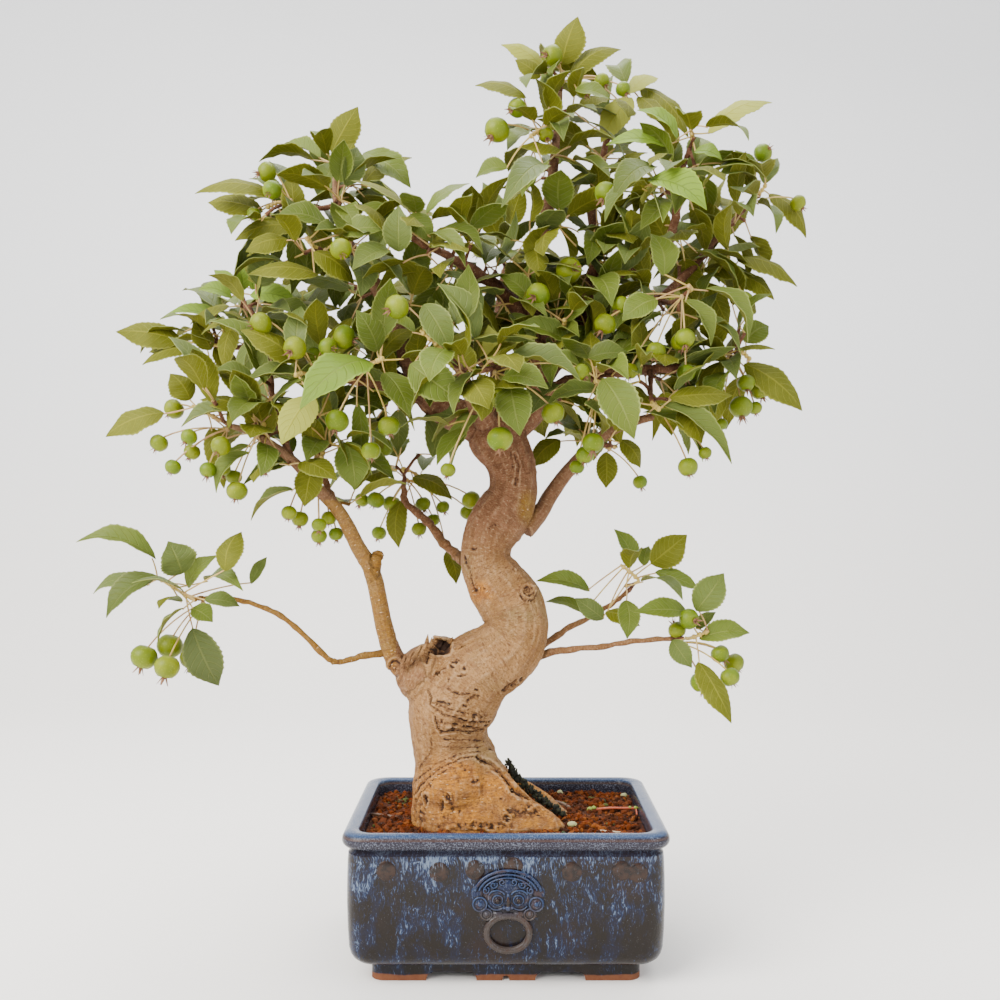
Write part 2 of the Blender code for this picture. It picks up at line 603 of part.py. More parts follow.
def foot_cutters():
    """The arches between the feet, the small notch at the middle of each long side, and the drain holes."""
    reach_x = POT_HALF_WIDTH
    reach_y = POT_HALF_DEPTH
    arch_end = POT_HALF_WIDTH - FOOT_INSET - CORNER_FOOT
    cutters = []
    for side in (-1, 1):
        ends = sorted((side * MIDDLE_FOOT, side * arch_end))
        cutters.append(block("arch", (ends[0], -reach_y, -1), (ends[1], reach_y, FOOT_ARCH_HEIGHT)))
        bm = bmesh.new()
        bmesh.ops.create_cone(bm, cap_ends=True, segments=DRAIN_SIDES, radius1=DRAIN_RADIUS * MM,
                              radius2=DRAIN_RADIUS * MM, depth=2 * FLOOR_HEIGHT * MM)
        bmesh.ops.translate(bm, vec=pot_point(side * DRAIN_APART, 0, FLOOR_HEIGHT), verts=bm.verts)
        cutters.append(object_of("drain", bm))
    notch = (MIDDLE_NOTCH, reach_y, MIDDLE_NOTCH_HEIGHT)
    cutters.append(block("notch", (-notch[0], -notch[1], -1), notch))
    cutters.append(block("side_arch", (-reach_x, -SIDE_ARCH, -1), (reach_x, SIDE_ARCH, FOOT_ARCH_HEIGHT)))
    return cutters


def mask_relief():
    """The lion mask and its ring on the front."""
    wall = MASK_SINK - POT_HALF_DEPTH
    forms = []
    for x, z, radius_x, radius_z in MASK_FORMS:
        for mirror in ((1,) if x == 0.0 else (1, -1)):
            radii = Vector((radius_x, MASK_DEPTH, radius_z)) * MM
            forms.append(ball("mask", pot_point(x * mirror, wall, z), radii, sides=6, rings=3))
    x, z, major, minor = MASK_RING
    line = []
    first, last = MASK_RING_SPAN
    for step in range(MASK_RING_STEPS + 1):
        angle = math.radians(first + (last - first) * step / MASK_RING_STEPS)
        line.append((pot_point(x + major * math.cos(angle), wall - minor / 4, z + major * math.sin(angle)),
                     minor * MM))
    forms.append(tube("ring", line, 0))
    return forms


def soil_height(x, y):
    across = 1 - (x / POT_HALF_WIDTH) ** 2
    along = 1 - (y / POT_HALF_DEPTH) ** 2
    grain = math.sin(x * 0.9 + 2 * math.sin(y * 0.35)) * math.cos(y * 1.1 + math.sin(x * 0.3))
    return SOIL_EDGE + SOIL_MOUND * across * along + SOIL_GRAIN * grain


def make_soil(material, collection):
    clear = GAP + SMALL_GAP
    rings = [rounded_ring(inset + clear, max(height, FLOOR_HEIGHT + GAP))
             for inset, height in reversed(POT_INSIDE[2:])]
    for scale in SOIL_RINGS:
        ring = rounded_ring(POT_INSIDE[1][0] + 2 * clear, 0.0, scale)
        for point in ring:
            point.z = soil_height(point.x / MM - POT_MIDDLE[0], point.y / MM - POT_MIDDLE[1]) * MM
        rings.append(ring)
    soil = loft("soil", rings)
    hole = loft("hole", [base_ring(height, HOLE_CLEARANCE) for height in (BASE_BOTTOM - GAP, HOLE_TOP)])
    combine(soil, [hole], "DIFFERENCE", "EXACT")
    finish_part(soil, material, collection)
    return soil


def base_ring(height, wider=0.0, scale=1.0, shift=0.0):
    """The root base's outline at a height."""
    ring = []
    for step, radius in enumerate(BASE_RADII):
        angle = math.tau * step / len(BASE_RADII)
        reach = radius * scale + wider
        ring.append(pot_point(BASE_MIDDLE[0] + shift + reach * math.cos(angle),
                              BASE_MIDDLE[1] + reach * math.sin(angle), height))
    return ring


def line_in_metres(line):
    return [(at_view(across, down, depth), radius * MM) for across, down, depth, radius in line]


def smoothed(line, steps):
    """A smooth line through the given points, with this many stretches between each two."""
    whole = [line[0], *line, line[-1]]
    made = []
    for before, start, end, after in zip(whole, whole[1:], whole[2:], whole[3:]):
        for step in range(steps):
            t = step / steps
            weights = (-t + 2 * t**2 - t**3, 2 - 5 * t**2 + 3 * t**3, t + 4 * t**2 - 3 * t**3, t**3 - t**2)
            parts = (before, start, end, after)
            place = sum((weight / 2 * part[0] for weight, part in zip(weights, parts)), Vector())
            made.append((place, sum(weight / 2 * part[1] for weight, part in zip(weights, parts))))
    return [*made, line[-1]]


def twig_to(hub, limbs):
    """A bent twig to a spray's hub, from the branch that best carries it: its line, and its way out."""
    best = None
    for line in limbs:
        for place, radius in line[1:]:
            cost = (hub - place).length + TWIG_DROP_COST * max(0.0, place.z - hub.z)
            if best is None or cost < best[0]:
                best = (cost, place, radius)
    start, carrier = best[1], best[2]
    way = hub - start
    radius = min(TWIG_RADIUS * MM, carrier * 0.9)
    if way.length < LONG_TWIG * MM:
        return [(start, radius * 1.15), (hub, radius)], way.normalized()
    middle = start + way * TWIG_SAG_AT - Vector((0, 0, TWIG_SAG * way.length))
    return [(start, radius * 1.25), (middle, radius * 1.1), (hub, radius)], (hub - middle).normalized()


def make_trunk(material, collection):
    """Trunk, root base and branches as one solid, and the way out of each spray's twig."""
    base = loft("trunk", [base_ring(z, 0.0, scale, shift) for z, scale, shift in BASE_RINGS])
    pieces = [tube("stem", line_in_metres(TRUNK_LINE), 3)]
    limbs = []
    for limb in LIMBS:
        line = line_in_metres(limb.line)
        pieces.append(tube(limb.name, line, limb.roundness))
        limbs.append(smoothed(line, TWIG_CHOICES))
    for across, down, depth, *radii in SWELLINGS:
        pieces.append(ball("swelling", at_view(across, down, depth), Vector(radii) * MM))
    ways = {}
    for spray in SPRAYS:
        line, way = twig_to(at_view(*spray.hub), limbs)
        pieces.append(tube("twig", line, 0))
        ways[spray.name] = way
    combine(base, pieces)
    finish_part(base, material, collection, smooth=True)
    return base, ways


class Space:
    """What is placed already, so that a new piece can be kept clear of it."""

    def __init__(self):
        self.taken = []

    def add(self, owner, obj):
        self.taken.append((owner, tree_of(obj)))

    def is_clear(self, owner, obj):
        tree = tree_of(obj)
        return not any(other != owner and tree.overlap(taken) for other, taken in self.taken)


def fits(space, owner, trial):
    """Whether the trial shape is clear of all that others placed; the shape itself is removed."""
    clear = space.is_clear(owner, trial)
    bpy.data.objects.remove(trial, do_unlink=True)
    return clear


def tree_of(obj):
    mesh = obj.data
    mesh.calc_loop_triangles()
    return BVHTree.FromPolygons([vert.co for vert in mesh.vertices],
                                [tuple(triangle.vertices) for triangle in mesh.loop_triangles])


def blade(name, stalk_from, base, tip, facing, width, edge, thickness):
    """A leaf as one closed solid: a thin stalk and a folded, arched blade. Sizes here are in metres."""
    along = tip - base
    length = along.length
    along.normalize()
    side = along.cross(facing).normalized()
    up = side.cross(along)
    half = width / 2

    def spot(share, across):
        """A point of the blade: along it, and across it from -1 to 1."""
        lift = BLADE_ARCH * length * 4 * share * (1 - share) + BLADE_FOLD * half * abs(across)
        return base + along * share * length + side * across * half + up * lift

    bm = bmesh.new()
    narrow = side * LEAFSTALK_HALF_WIDTH * MM
    stalk = [bm.verts.new(stalk_from + sign * narrow) for sign in (1, -1)]
    foot = [bm.verts.new(base + sign * narrow) for sign in (1, -1)]
    rib = bm.verts.new(spot(MIDRIB, 0))
    end = bm.verts.new(tip)
    bm.faces.new((stalk[0], stalk[1], foot[1], foot[0]))
    bm.faces.new((foot[0], foot[1], rib))
    for sign, start in ((1, foot[0]), (-1, foot[1])):
        chain = [start, *(bm.verts.new(spot(share, sign * across)) for share, across in edge), end]
        for corners in zip(chain, chain[1:]):
            bm.faces.new((*corners, rib) if sign < 0 else (rib, *corners[::-1]))
    bmesh.ops.triangulate(bm, faces=bm.faces)
    bmesh.ops.recalc_face_normals(bm, faces=bm.faces)
    bm.normal_update()
    for vert in bm.verts:
        vert.co += vert.normal * thickness / 2
    bmesh.ops.solidify(bm, geom=bm.faces[:], thickness=thickness)
    return object_of(name, bm)


def stalk_starts(spray, stem, count):
    """Where each leaf springs from the stem, in the order that their places along it give."""
    start, end = stem[1][0], stem[2][0]
    way = end - start
    rng = random.Random(spray.name)
    shares = []
    for index in range(count):
        if index < len(spray.leaves):
            base = at_view(*spray.leaves[index].base, spray.hub[2])
            shares.append((base - start).dot(way) / way.length_squared)
        else:
            shares.append(rng.uniform(-0.5, 1.5))
    order = sorted(range(count), key=lambda index: shares[index])
    return [start + way * (order.index(index) + 0.6) / count for index in range(count)]


def stem_line(spray, hub, way, count, wander):
    """The spray's own stem, which starts just clear of its twig and may wander from its straight way."""
    start = hub + way * STEM_GAP * MM
    bases = [at_view(*leaf.base, spray.hub[2] - leaf.near / 2) for leaf in spray.leaves]
    lean = sum(bases, Vector()) / len(bases) - hub if bases else way * MM
    reach = max(count * LEAF_SPACING * MM, min(LONGEST_STEM * MM, lean.length))
    first = start + (way + wander * 0.4).normalized() * FIRST_STRETCH * MM
    end = first + (lean.normalized() + way * STEM_ON + wander).normalized() * reach
    radius = STEM_RADIUS * MM
    return [(start, radius), (first, radius), (end, radius * 0.8)]


def draw_seen(spray, leaf, start, rng, attempt):
    """A leaf that the picture shows: its stalk's start, base, tip and facing."""
    loose = 1.0 + attempt * STRAY_GROWTH
    depth = spray.hub[2] - leaf.near / 2 + rng.uniform(-1, 1) * DEPTH_STRAY * loose
    tip_depth = spray.hub[2] - leaf.near + rng.uniform(-1, 1) * TIP_STRAY * loose
    slide = [rng.uniform(-1, 1) * attempt * SLIDE_GROWTH for _ in range(4)]
    base = at_view(leaf.base[0] + slide[0], leaf.base[1] + slide[1], depth)
    tip = at_view(leaf.tip[0] + slide[2], leaf.tip[1] + slide[3], tip_depth)
    facing = Vector((rng.uniform(-0.3, 0.3), -0.72, 0.62 + rng.uniform(-0.25, 0.25)))
    return start, base, tip, facing


def draw_filling(start, way, rng):
    """A leaf drawn by rule round the stem, or nothing where it would leave the crown."""
    out = Vector((rng.gauss(0, 0.7), rng.gauss(0, 1.0), rng.gauss(0.1, 0.6))) + way * 0.5
    out.normalize()
    base = start + out * rng.uniform(*FILLING_STALK) * MM
    bend = Vector((out.x, out.y, out.z - FILLING_DROOP)).normalized()
    tip = base + bend * rng.uniform(*FILLING_BLADE) * MM
    facing = Vector((rng.uniform(-0.4, 0.4), rng.uniform(-0.5, 0.5), 1.0))
    across, down = in_view(tip)
    if not any((across - x) ** 2 + (down - y) ** 2 < r * r for x, y, r in CROWN_DISCS):
        return None
    return start, base, tip, facing


def make_spray(spray, way, space, material, collection):
    count = len(spray.leaves) + spray.more
    name = "leaves_" + spray.name
    for attempt in range(TRIES):
        rng = random.Random(f"{spray.name} stem {attempt}")
        wander = Vector([rng.uniform(-1, 1) * min(1.0, attempt / STEM_LOOSE) for _ in range(3)])
        stem = stem_line(spray, at_view(*spray.hub), way, count, wander)
        if fits(space, name, tube("trial", [(place, radius + GAP * MM) for place, radius in stem], 0)):
            break
    else:
        return
    whole = tube(name, stem, 0)
    blades = []
    for index, start in enumerate(stalk_starts(spray, stem, count)):
        made = place_leaf(spray, index, start, way, space)
        if made:
            blades.append(made)
            space.add(name, made)
    space.add(name, whole)
    combine(whole, blades)
    finish_part(whole, material, collection)


def place_leaf(spray, index, start, way, space):
    """The first drawing of this leaf that is clear of all else."""
    seen = spray.leaves[index] if index < len(spray.leaves) else None
    for attempt in range(TRIES):
        rng = random.Random(f"{spray.name} {index} {attempt}")
        width = seen.width if seen else rng.uniform(*FILLING_WIDTH)
        edge = TOOTHED_EDGE if width >= WIDE_LEAF else PLAIN_EDGE
        drawn = draw_seen(spray, seen, start, rng, attempt) if seen else draw_filling(start, way, rng)
        if drawn is None:
            continue
        if fits(space, None, blade("trial", *drawn, width * MM, edge, (BLADE_THICKNESS + 2 * GAP) * MM)):
            return blade("blade", *drawn, width * MM, edge, BLADE_THICKNESS * MM)
    return None


def make_bunch(bunch, ways, space, material, collection):
    """Apples on their stalks, which spring from one small bud beside the spray's twig."""
    spray = next(spray for spray in SPRAYS if spray.name == bunch.spray)
    name = "apples_" + bunch.name
    for attempt in range(TRIES):
        pieces = bunch_pieces(bunch, spray, ways[spray.name], name, attempt)
        if all(space.is_clear(name, piece) for piece in pieces):
            break
        for piece in pieces:
            bpy.data.objects.remove(piece, do_unlink=True)
    else:
        return
    for piece in pieces:
        space.add(name, piece)
    whole, *apples = pieces
    combine(whole, apples)
    finish_part(whole, material, collection, smooth=True)


def bunch_pieces(bunch, spray, way, name, attempt):
    """The bud and its apples, looser with each new try."""
    hub = at_view(*spray.hub)
    rng = random.Random(f"{bunch.name} {attempt}")
    loose = Vector([rng.uniform(-1, 1) * attempt * BUD_LOOSE for _ in range(3)])
    centres = [at_view(across, down, spray.hub[2] - near) for across, down, near, _ in bunch.apples]
    lean = (sum(centres, Vector()) / len(centres) - hub).normalized() + loose
    beside = (lean - way * lean.dot(way)).normalized()
    bud = hub - way * BUD_BACK * MM + beside * BUD_ASIDE * MM
    pieces = [ball(name, bud, [BUD_RADIUS * MM] * 3, sides=5, rings=3)]
    for across, down, near, diameter in bunch.apples:
        jitter = rng.uniform(-1, 1) * attempt * APPLE_LOOSE
        centre = at_view(across, down, spray.hub[2] - near + jitter)
        pieces.append(apple(bud, centre, diameter / 2 * MM))
    return pieces


def apple(bud, centre, radius):
    """An apple, its flower's remains at the far end and its stalk back to the bud, as one turned shape."""
    way = (centre - bud).normalized()
    axis = (way - Vector((0, 0, APPLE_HANG))).normalized()
    line = [(bud, STALK_RADIUS * MM), (centre - axis * radius * 0.94, STALK_RADIUS * MM)]
    line += [(centre + axis * radius * along, radius * across) for along, across in APPLE_PROFILE]
    return tube("apple", line, 1)


def main():
    clear_scene()
    collection = bpy.data.collections.new(COLLECTION_NAME)
    bpy.context.scene.collection.children.link(collection)
    materials = {name: make_material(name) for name in MATERIALS}
    pot = make_pot(materials["glazed_clay"], collection)
    soil = make_soil(materials["soil"], collection)
    trunk, ways = make_trunk(materials["bark"], collection)
    space = Space()
    for obj in (pot, soil, trunk):
        space.add(obj.name, obj)
    for bunch in BUNCHES:
        make_bunch(bunch, ways, space, materials["apple"], collection)
    for spray in SPRAYS:
        make_spray(spray, ways[spray.name], space, materials["leaf"], collection)


main()
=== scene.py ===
import functools
import math
import random
from collections import namedtuple
from contextlib import contextmanager

import bmesh
import bpy
import numpy as np
from bpy.props import FloatProperty, FloatVectorProperty, IntProperty, PointerProperty
from mathutils import Matrix, Vector, noise
from mathutils.kdtree import KDTree


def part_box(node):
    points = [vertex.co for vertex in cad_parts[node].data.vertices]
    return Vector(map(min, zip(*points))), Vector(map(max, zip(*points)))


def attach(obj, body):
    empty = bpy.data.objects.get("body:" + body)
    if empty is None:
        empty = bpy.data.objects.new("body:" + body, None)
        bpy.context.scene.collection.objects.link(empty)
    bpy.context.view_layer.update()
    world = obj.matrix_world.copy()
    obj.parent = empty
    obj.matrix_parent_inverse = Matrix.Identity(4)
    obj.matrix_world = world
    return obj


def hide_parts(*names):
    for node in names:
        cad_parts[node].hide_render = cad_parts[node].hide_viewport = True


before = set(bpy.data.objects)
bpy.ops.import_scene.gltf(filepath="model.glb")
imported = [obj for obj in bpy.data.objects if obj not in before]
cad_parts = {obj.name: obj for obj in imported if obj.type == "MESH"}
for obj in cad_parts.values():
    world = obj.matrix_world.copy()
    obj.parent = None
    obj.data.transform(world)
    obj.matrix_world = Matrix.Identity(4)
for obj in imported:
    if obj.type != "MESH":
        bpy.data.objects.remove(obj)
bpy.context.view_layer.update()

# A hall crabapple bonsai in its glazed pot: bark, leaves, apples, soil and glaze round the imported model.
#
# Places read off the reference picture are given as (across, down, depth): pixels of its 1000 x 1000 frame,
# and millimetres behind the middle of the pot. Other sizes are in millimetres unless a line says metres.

bl_info = {
    "name": "Hall Crabapple Bonsai",
    "version": (1, 0, 0),
    "blender": (4, 5, 0),
    "location": "3D View > Sidebar > Bonsai",
    "description": "Dresses a crabapple bonsai and its pot, piece by piece",
    "category": "Object",
}

BODY = "root"
MM = 0.001

# The reference picture: a level camera in front of the middle of the pot, looking along +Y
VIEW_DISTANCE = 794.0
VIEW_HEIGHT = 306.0
VIEW_ACROSS = -3.8
VIEW_FOCAL = 1132.0
VIEW_MIDDLE = (500.0, 507.0)
VIEW_SIZE = 1000.0
SENSOR = 36.0

POT_LOW, POT_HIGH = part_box("pot")
POT_MIDDLE = tuple((POT_LOW[axis] + POT_HIGH[axis]) / 2 / MM for axis in range(2))

# Pot: the lip's outer size, then (inset from the lip, height) up the outside and down the inside
POT_HALF_WIDTH = 105.5
POT_HALF_DEPTH = 80.5
LIP_CORNER = 15.0
LEAST_CORNER = 7.0
CORNER_SHRINK = 0.35
CORNER_STEPS = 8
SIDE_STEPS = 20
FLOOR_HEIGHT = 18.0
SOLE_HEIGHT = 8.0
FOOT_INSET = 18.0
FOOT_WALL = 8.0
POT_OUTSIDE = (
    (18.0, 0.0), (18.0, 6.0), (17.8, 10.6), (16.4, 11.9), (12.5, 12.6), (9.2, 14.0), (6.8, 16.4), (5.2, 19.6),
    (4.3, 23.5), (3.5, 36.0), (3.0, 52.0), (3.1, 68.0), (3.5, 81.0), (3.8, 84.2), (5.4, 85.8), (5.9, 87.0),
    (4.6, 88.0), (1.9, 89.0), (0.5, 90.8), (0.0, 92.8), (0.3, 95.0), (1.3, 96.9), (3.0, 98.1), (5.4, 98.5),
)
POT_INSIDE = ((8.0, 98.3), (9.9, 97.6), (10.9, 96.0), (11.2, 92.0), (12.0, 60.0), (16.0, 18.0))
FOOT_ARCH_HEIGHT = 5.6
CORNER_FOOT = 36.0
MIDDLE_FOOT = 19.0
MIDDLE_NOTCH = 2.2
MIDDLE_NOTCH_HEIGHT = 3.2
SIDE_ARCH = 31.0
ARCH_ROUND = 5.0
NOTCH_ROUND = 1.9
DRAIN_RADIUS = 8.0
DRAIN_APART = 42.0
DRAIN_SIDES = 32

# The round brown studs on the front: how far they stand out, and where the picture shows them (across, down)
STUD_DEPTH = 0.75
STUDS = ((386, 871), (439, 872), (475, 870), (513, 867), (572, 872), (622, 871), (638, 873))

# Mask, in millimetres from its middle line: (across, height, radius across, radius up, depth, turn) of each
# rounded form, for one half; (across, height, radius across, radius up, thickness, first and last angle) of
# each moulded line; (across, height, coil radius, thickness, turns, first angle) of each curl; beads as
# (across, height, radius, how far out); and the ring in its mouth
MASK_WALL = -77.2
MASK_MIDDLE = 1.3
MASK_GRAIN = 0.4
MASK_FORMS = (
    (0.0, 60.0, 16.0, 15.0, 1.7, 0.0),
    (17.8, 55.0, 5.4, 5.4, 2.3, 0.0),
    (13.6, 48.6, 4.8, 4.6, 2.1, 0.0),
    (19.5, 62.0, 4.0, 4.4, 1.8, 0.0),
    (6.6, 57.6, 4.6, 3.8, 2.5, 0.15),
    (0.0, 57.0, 2.0, 6.0, 3.2, 0.0),
    (2.4, 52.8, 1.9, 1.5, 3.2, 0.0),
    (5.4, 47.4, 5.6, 3.2, 2.9, 0.25),
    (0.0, 67.0, 5.0, 4.2, 2.6, 0.0),
)
MASK_LINES = (
    (0.0, 60.0, 21.4, 16.2, 0.95, 12, 168),
    (0.0, 60.0, 19.0, 13.8, 0.6, 15, 165),
    (0.0, 60.0, 16.8, 11.6, 0.55, 25, 155),
    (6.6, 57.6, 3.2, 3.0, 0.5, 0, 360),
    (17.8, 55.0, 4.3, 4.3, 0.6, 0, 360),
    (13.6, 48.6, 3.4, 3.4, 0.55, 0, 360),
    (7.2, 59.5, 5.4, 4.2, 0.6, 20, 160),
    (7.2, 56.5, 5.6, 5.0, 0.5, 200, 330),
)
MASK_CURLS = (
    (3.6, 69.0, 2.4, 0.55, 1.3, 200.0),
    (9.2, 67.4, 2.5, 0.55, 1.3, 150.0),
    (14.2, 63.8, 2.4, 0.55, 1.3, 120.0),
)
MASK_BEADS = (
    (6.6, 57.6, 1.9, 2.5),
    (17.8, 55.0, 1.7, 2.2),
    (13.6, 48.6, 1.4, 2.0),
    (0.0, 52.8, 1.9, 3.0),
)
MASK_RING = (0.0, 36.6, 13.6, 11.0, 2.3)
NOSE_OUT = 2.9
NOSE_HEIGHT = 56.0
NOSE_RADII = (1.2, 0.9, 4.2)
CURL_STEPS = 18
RING_STEPS = 48

# Soil
SOIL_EDGE = 88.0
SOIL_MOUND = 3.2
SOIL_CLEARANCE = 0.45
SOIL_RINGS = 36
SOIL_MARGIN = 15.0
HOLE_GAP = 0.6
HOLE_TOP = 112.0
CRUMB_SIZES = (0.7, 3.8)

# The wood's finish
LINE_STEPS = 6
THICK_LIMB = 8.0
# The tone's first value where the bark is painted plain: above it dark cracks and painted shade, below it a
# painted highlight
PLAIN = 0.25
# How far each branch has the look of the crown's red-brown wood, not the trunk's
CROWN_KINDS = {
    "trunk": 0.0, "stub": 0.0, "left_bough": 0.42, "left_limb": 0.85, "leader": 0.85, "front_limb": 0.7,
    "back_limb": 0.9, "right_low_limb": 0.7, "bough_stub": 0.3, "bough_fork": 0.6, "left_riser": 0.9,
    "low_left_twig": 0.35, "low_right_front": 0.45, "low_right_back": 0.5, "inner_left": 0.5,
}

# Marks on the trunk that the picture shows: cracks as lines (across, down), with a width and a depth, and the
# hollow of the cut stub, scars and ochre patches as (across, down, radius across, radius down, depth)
CRACKS = (
    (((413, 797), (425, 780), (440, 768), (462, 758), (478, 757)), 0.8, 0.8),
    (((411, 788), (421, 776), (438, 763), (460, 754), (480, 752)), 0.7, 0.5),
    (((414, 806), (424, 789), (439, 774), (452, 767)), 0.6, 0.4),
    (((478, 757), (490, 764), (504, 777), (514, 790)), 1.7, 1.8),
    (((514, 790), (530, 798), (548, 806), (566, 822)), 2.4, 2.2),
    (((430, 704), (440, 711), (454, 718), (470, 722), (490, 722)), 1.0, 0.8),
    (((432, 701), (446, 707), (462, 712), (482, 716)), 0.8, 0.5),
    (((446, 723), (462, 727), (478, 728)), 1.3, 0.9),
    (((444, 738), (462, 741), (484, 741)), 0.8, 0.45),
    (((440, 746), (458, 748), (480, 747)), 0.8, 0.35),
    (((515, 454), (518, 466), (516, 484)), 1.3, 0.9),
    (((511, 452), (513, 468)), 0.8, 0.5),
    (((426, 662), (429, 650), (431, 640)), 1.8, 1.1),
    (((412, 664), (418, 655), (427, 647)), 1.2, 0.8),
    (((466, 556), (470, 572), (476, 590)), 0.9, 0.5),
    (((519, 596), (524, 601), (532, 600), (536, 592)), 0.9, 0.7),
    (((488, 528), (494, 524), (499, 527)), 0.8, 0.5),
    (((428, 690), (431, 697), (430, 703)), 1.2, 0.8),
    (((503, 690), (510, 684), (516, 680)), 1.2, 0.8),
    (((436, 716), (438, 724), (442, 731)), 1.2, 1.0),
    (((442, 731), (456, 729), (470, 732), (482, 730)), 1.3, 1.0),
    (((434, 677), (440, 671), (447, 668)), 0.8, 0.7),
    (((448, 688), (458, 695), (470, 694)), 0.8, 0.6),
    (((413, 772), (412, 790), (416, 812)), 1.0, 0.8),
    (((432, 738), (430, 752), (420, 768)), 0.8, 0.5),
    (((468, 700), (474, 696), (479, 697)), 1.2, 0.8),
)
HOLLOW = (440.0, 646.5, 11.0, 8.5, 6.5)
SCARS = (
    (438, 673, 4.5, 2.6, 1.0), (452, 667, 2.6, 4, 1.0), (463, 669, 2.6, 3, 0.9),
    (442, 702, 5, 3, 1.0), (466, 705, 4, 2, 0.9), (456, 693, 3.6, 1.8, 0.8), (447, 681, 1.8, 3.4, 0.8),
    (514, 684, 4, 2.5, 0.9), (521, 680, 2.5, 3, 0.8), (447, 798, 3.4, 4.6, 0.9), (475, 782, 5.4, 3.4, 0.9),
    (505, 713, 3, 2, 0.8), (473, 549, 4, 2, 0.7),
    (466, 560, 2, 4, 0.7), (476, 590, 2.2, 3, 0.7), (485, 588, 2.5, 2, 0.6), (460, 812, 2.4, 3.4, 0.9),
    (480, 826, 3.4, 3.8, 1.1), (507, 821, 3, 3, 1.0), (530, 806, 5, 2.5, 0.9), (440, 826, 3, 2, 0.7),
    (430, 786, 2, 3, 0.6), (500, 800, 2.4, 1.6, 0.6), (466, 770, 2.6, 1.4, 0.5), (421, 812, 1.8, 3.4, 0.8),
    (426, 800, 2.2, 6.5, 2.4), (416, 803, 1.6, 5, 1.6), (417, 820, 2.4, 3, 1.4), (538, 815, 3, 2, 1.0),
    (491, 829, 4, 2.2, 1.2), (460, 826, 2.6, 3, 1.1), (455, 662, 4.5, 3, 1.0), (462, 676, 5, 2, 0.9),
    (448, 704, 4, 2.4, 1.1), (476, 690, 3.4, 2, 0.9),
    (452, 730, 4.4, 2.4, 1.2), (470, 733, 3.4, 1.8, 1.0), (486, 726, 3, 2, 0.9), (441, 722, 3, 2, 0.9),
)
OCHRE_PATCHES = (
    (527, 508, 12, 22), (480, 592, 16, 14), (500, 790, 62, 26), (440, 790, 34, 40), (470, 815, 80, 22),
    (455, 772, 40, 16),
)
BACK_SCARS = 60

# Knots as (across, down, radius across, radius down, depth), with rings in them; rough patches as (across,
# down, radius across, radius down); slivers of torn bark as (foot, tip), each (across, down, depth)
KNOTS = (
    (395, 669, 7.5, 12.0, 1.7), (528, 591, 7.0, 7.0, 1.5), (476, 590, 3.6, 4.4, 0.9),
    (475, 824, 4.5, 5.0, 1.1), (506, 819, 5.0, 4.5, 1.1), (447, 797, 3.8, 5.0, 0.8),
)
ROUGH = (
    (463, 724, 26, 8), (476, 716, 18, 6), (428, 650, 14, 10), (446, 806, 10, 18), (520, 812, 34, 8),
    (474, 826, 50, 6), (420, 815, 8, 16),
)
SLIVERS = (
    ((402, 668, -33), (405, 654, -36), 2.4), ((406, 664, -34), (413, 650, -36), 2.6),
    ((413, 659, -35), (421, 645, -36), 2.6), ((420, 655, -35), (428, 641, -35), 2.4),
    ((426, 650, -32), (428, 634, -33), 3.0), ((431, 648, -26), (432, 637, -26), 2.0),
    ((449, 643, -22), (453, 637, -22), 2.0), ((455, 649, -30), (463, 644, -34), 2.2),
)

# The root behind the base, as (across, down, depth, radius)
BACK_ROOT = (
    (474, 738, 4, 6.5), (487, 757, 6, 6.0), (506, 776, 6, 5.2), (529, 789, 5, 4.4), (549, 801, 3, 3.6),
    (567, 817, 0, 2.6),
)

# Fine dark cords in the cracks and wrinkles, partly the bark's own dark and partly painted shade: how many
# wrinkles, a cord's radius at its ends, the longest step between its points, and how far before and behind
# the pot's middle its points are looked for
WRINKLES = 150
CORD_END = 0.05
CORD_JUMP = 4.0
SIGHT = 250.0

# Black moss between the root base and the root behind it: its line (across, down, depth) and number of tufts
DARK_MOSS = ((508, 763, -8), (513, 772, -9), (522, 783, -9), (534, 793, -9), (548, 803, -9), (562, 815, -9))
DARK_TUFTS = 420

# More leaves than the solids carry: rosettes on short spurs along the crown's branches. A spur sits on a
# branch up to SPUR_LIMB thick, and each leaf stands SPUR_TURN radians round from the one before. The shares
# say how the looks are dealt out: rolled, then any, then upper, and under for some that hang above the eye
SPUR_EVERY = 15.0
SPUR_LENGTH = (4.0, 10.0)
SPUR_LEAVES = (3, 5)
SPUR_STALK = (8.0, 17.0)
SPUR_BLADE = (26.0, 44.0)
SPUR_WIDTH = (15, 23)
SPUR_TURN = 2.4
SPUR_LIMB = 6.5
ROLLED_SHARE = 0.2
ANY_SHARE = 0.55
UNDER_SHARE = 0.4
CLEAR_LIMBS = ("low_left_twig", "left_bough", "stub", "bough_stub", "low_right_front", "low_right_back",
               "right_low_limb", "inner_left", "trunk")
LEAF_ROWS = 24
LEAF_COLUMNS = 2
STALK_SIDES = 5
STALK_STEPS = 6
LEAF_STALK = (0.62, 0.5)
SPUR_RADII = (1.5, 1.15, 1.45)
SEPALS = 5

# Root base: its outline in the soil, as radii round its middle, and how it draws in towards the trunk
BASE_MIDDLE = (-18.0, -11.0)
BASE_RADII = (40, 30, 28, 30, 33, 36, 42, 46, 47, 46, 42, 36, 33, 37, 48, 62)
BASE_BOTTOM = 72.0
BASE_RINGS = (
    (BASE_BOTTOM, 1.0, 0.0), (93.0, 1.0, 0.0), (97.0, 0.96, -2.0), (102.0, 0.88, -5.0), (108.0, 0.79, -9.0),
    (116.0, 0.7, -13.0), (127.0, 0.6, -16.0), (140.0, 0.5, -19.0),
)

Limb = namedtuple("Limb", "name roundness line")

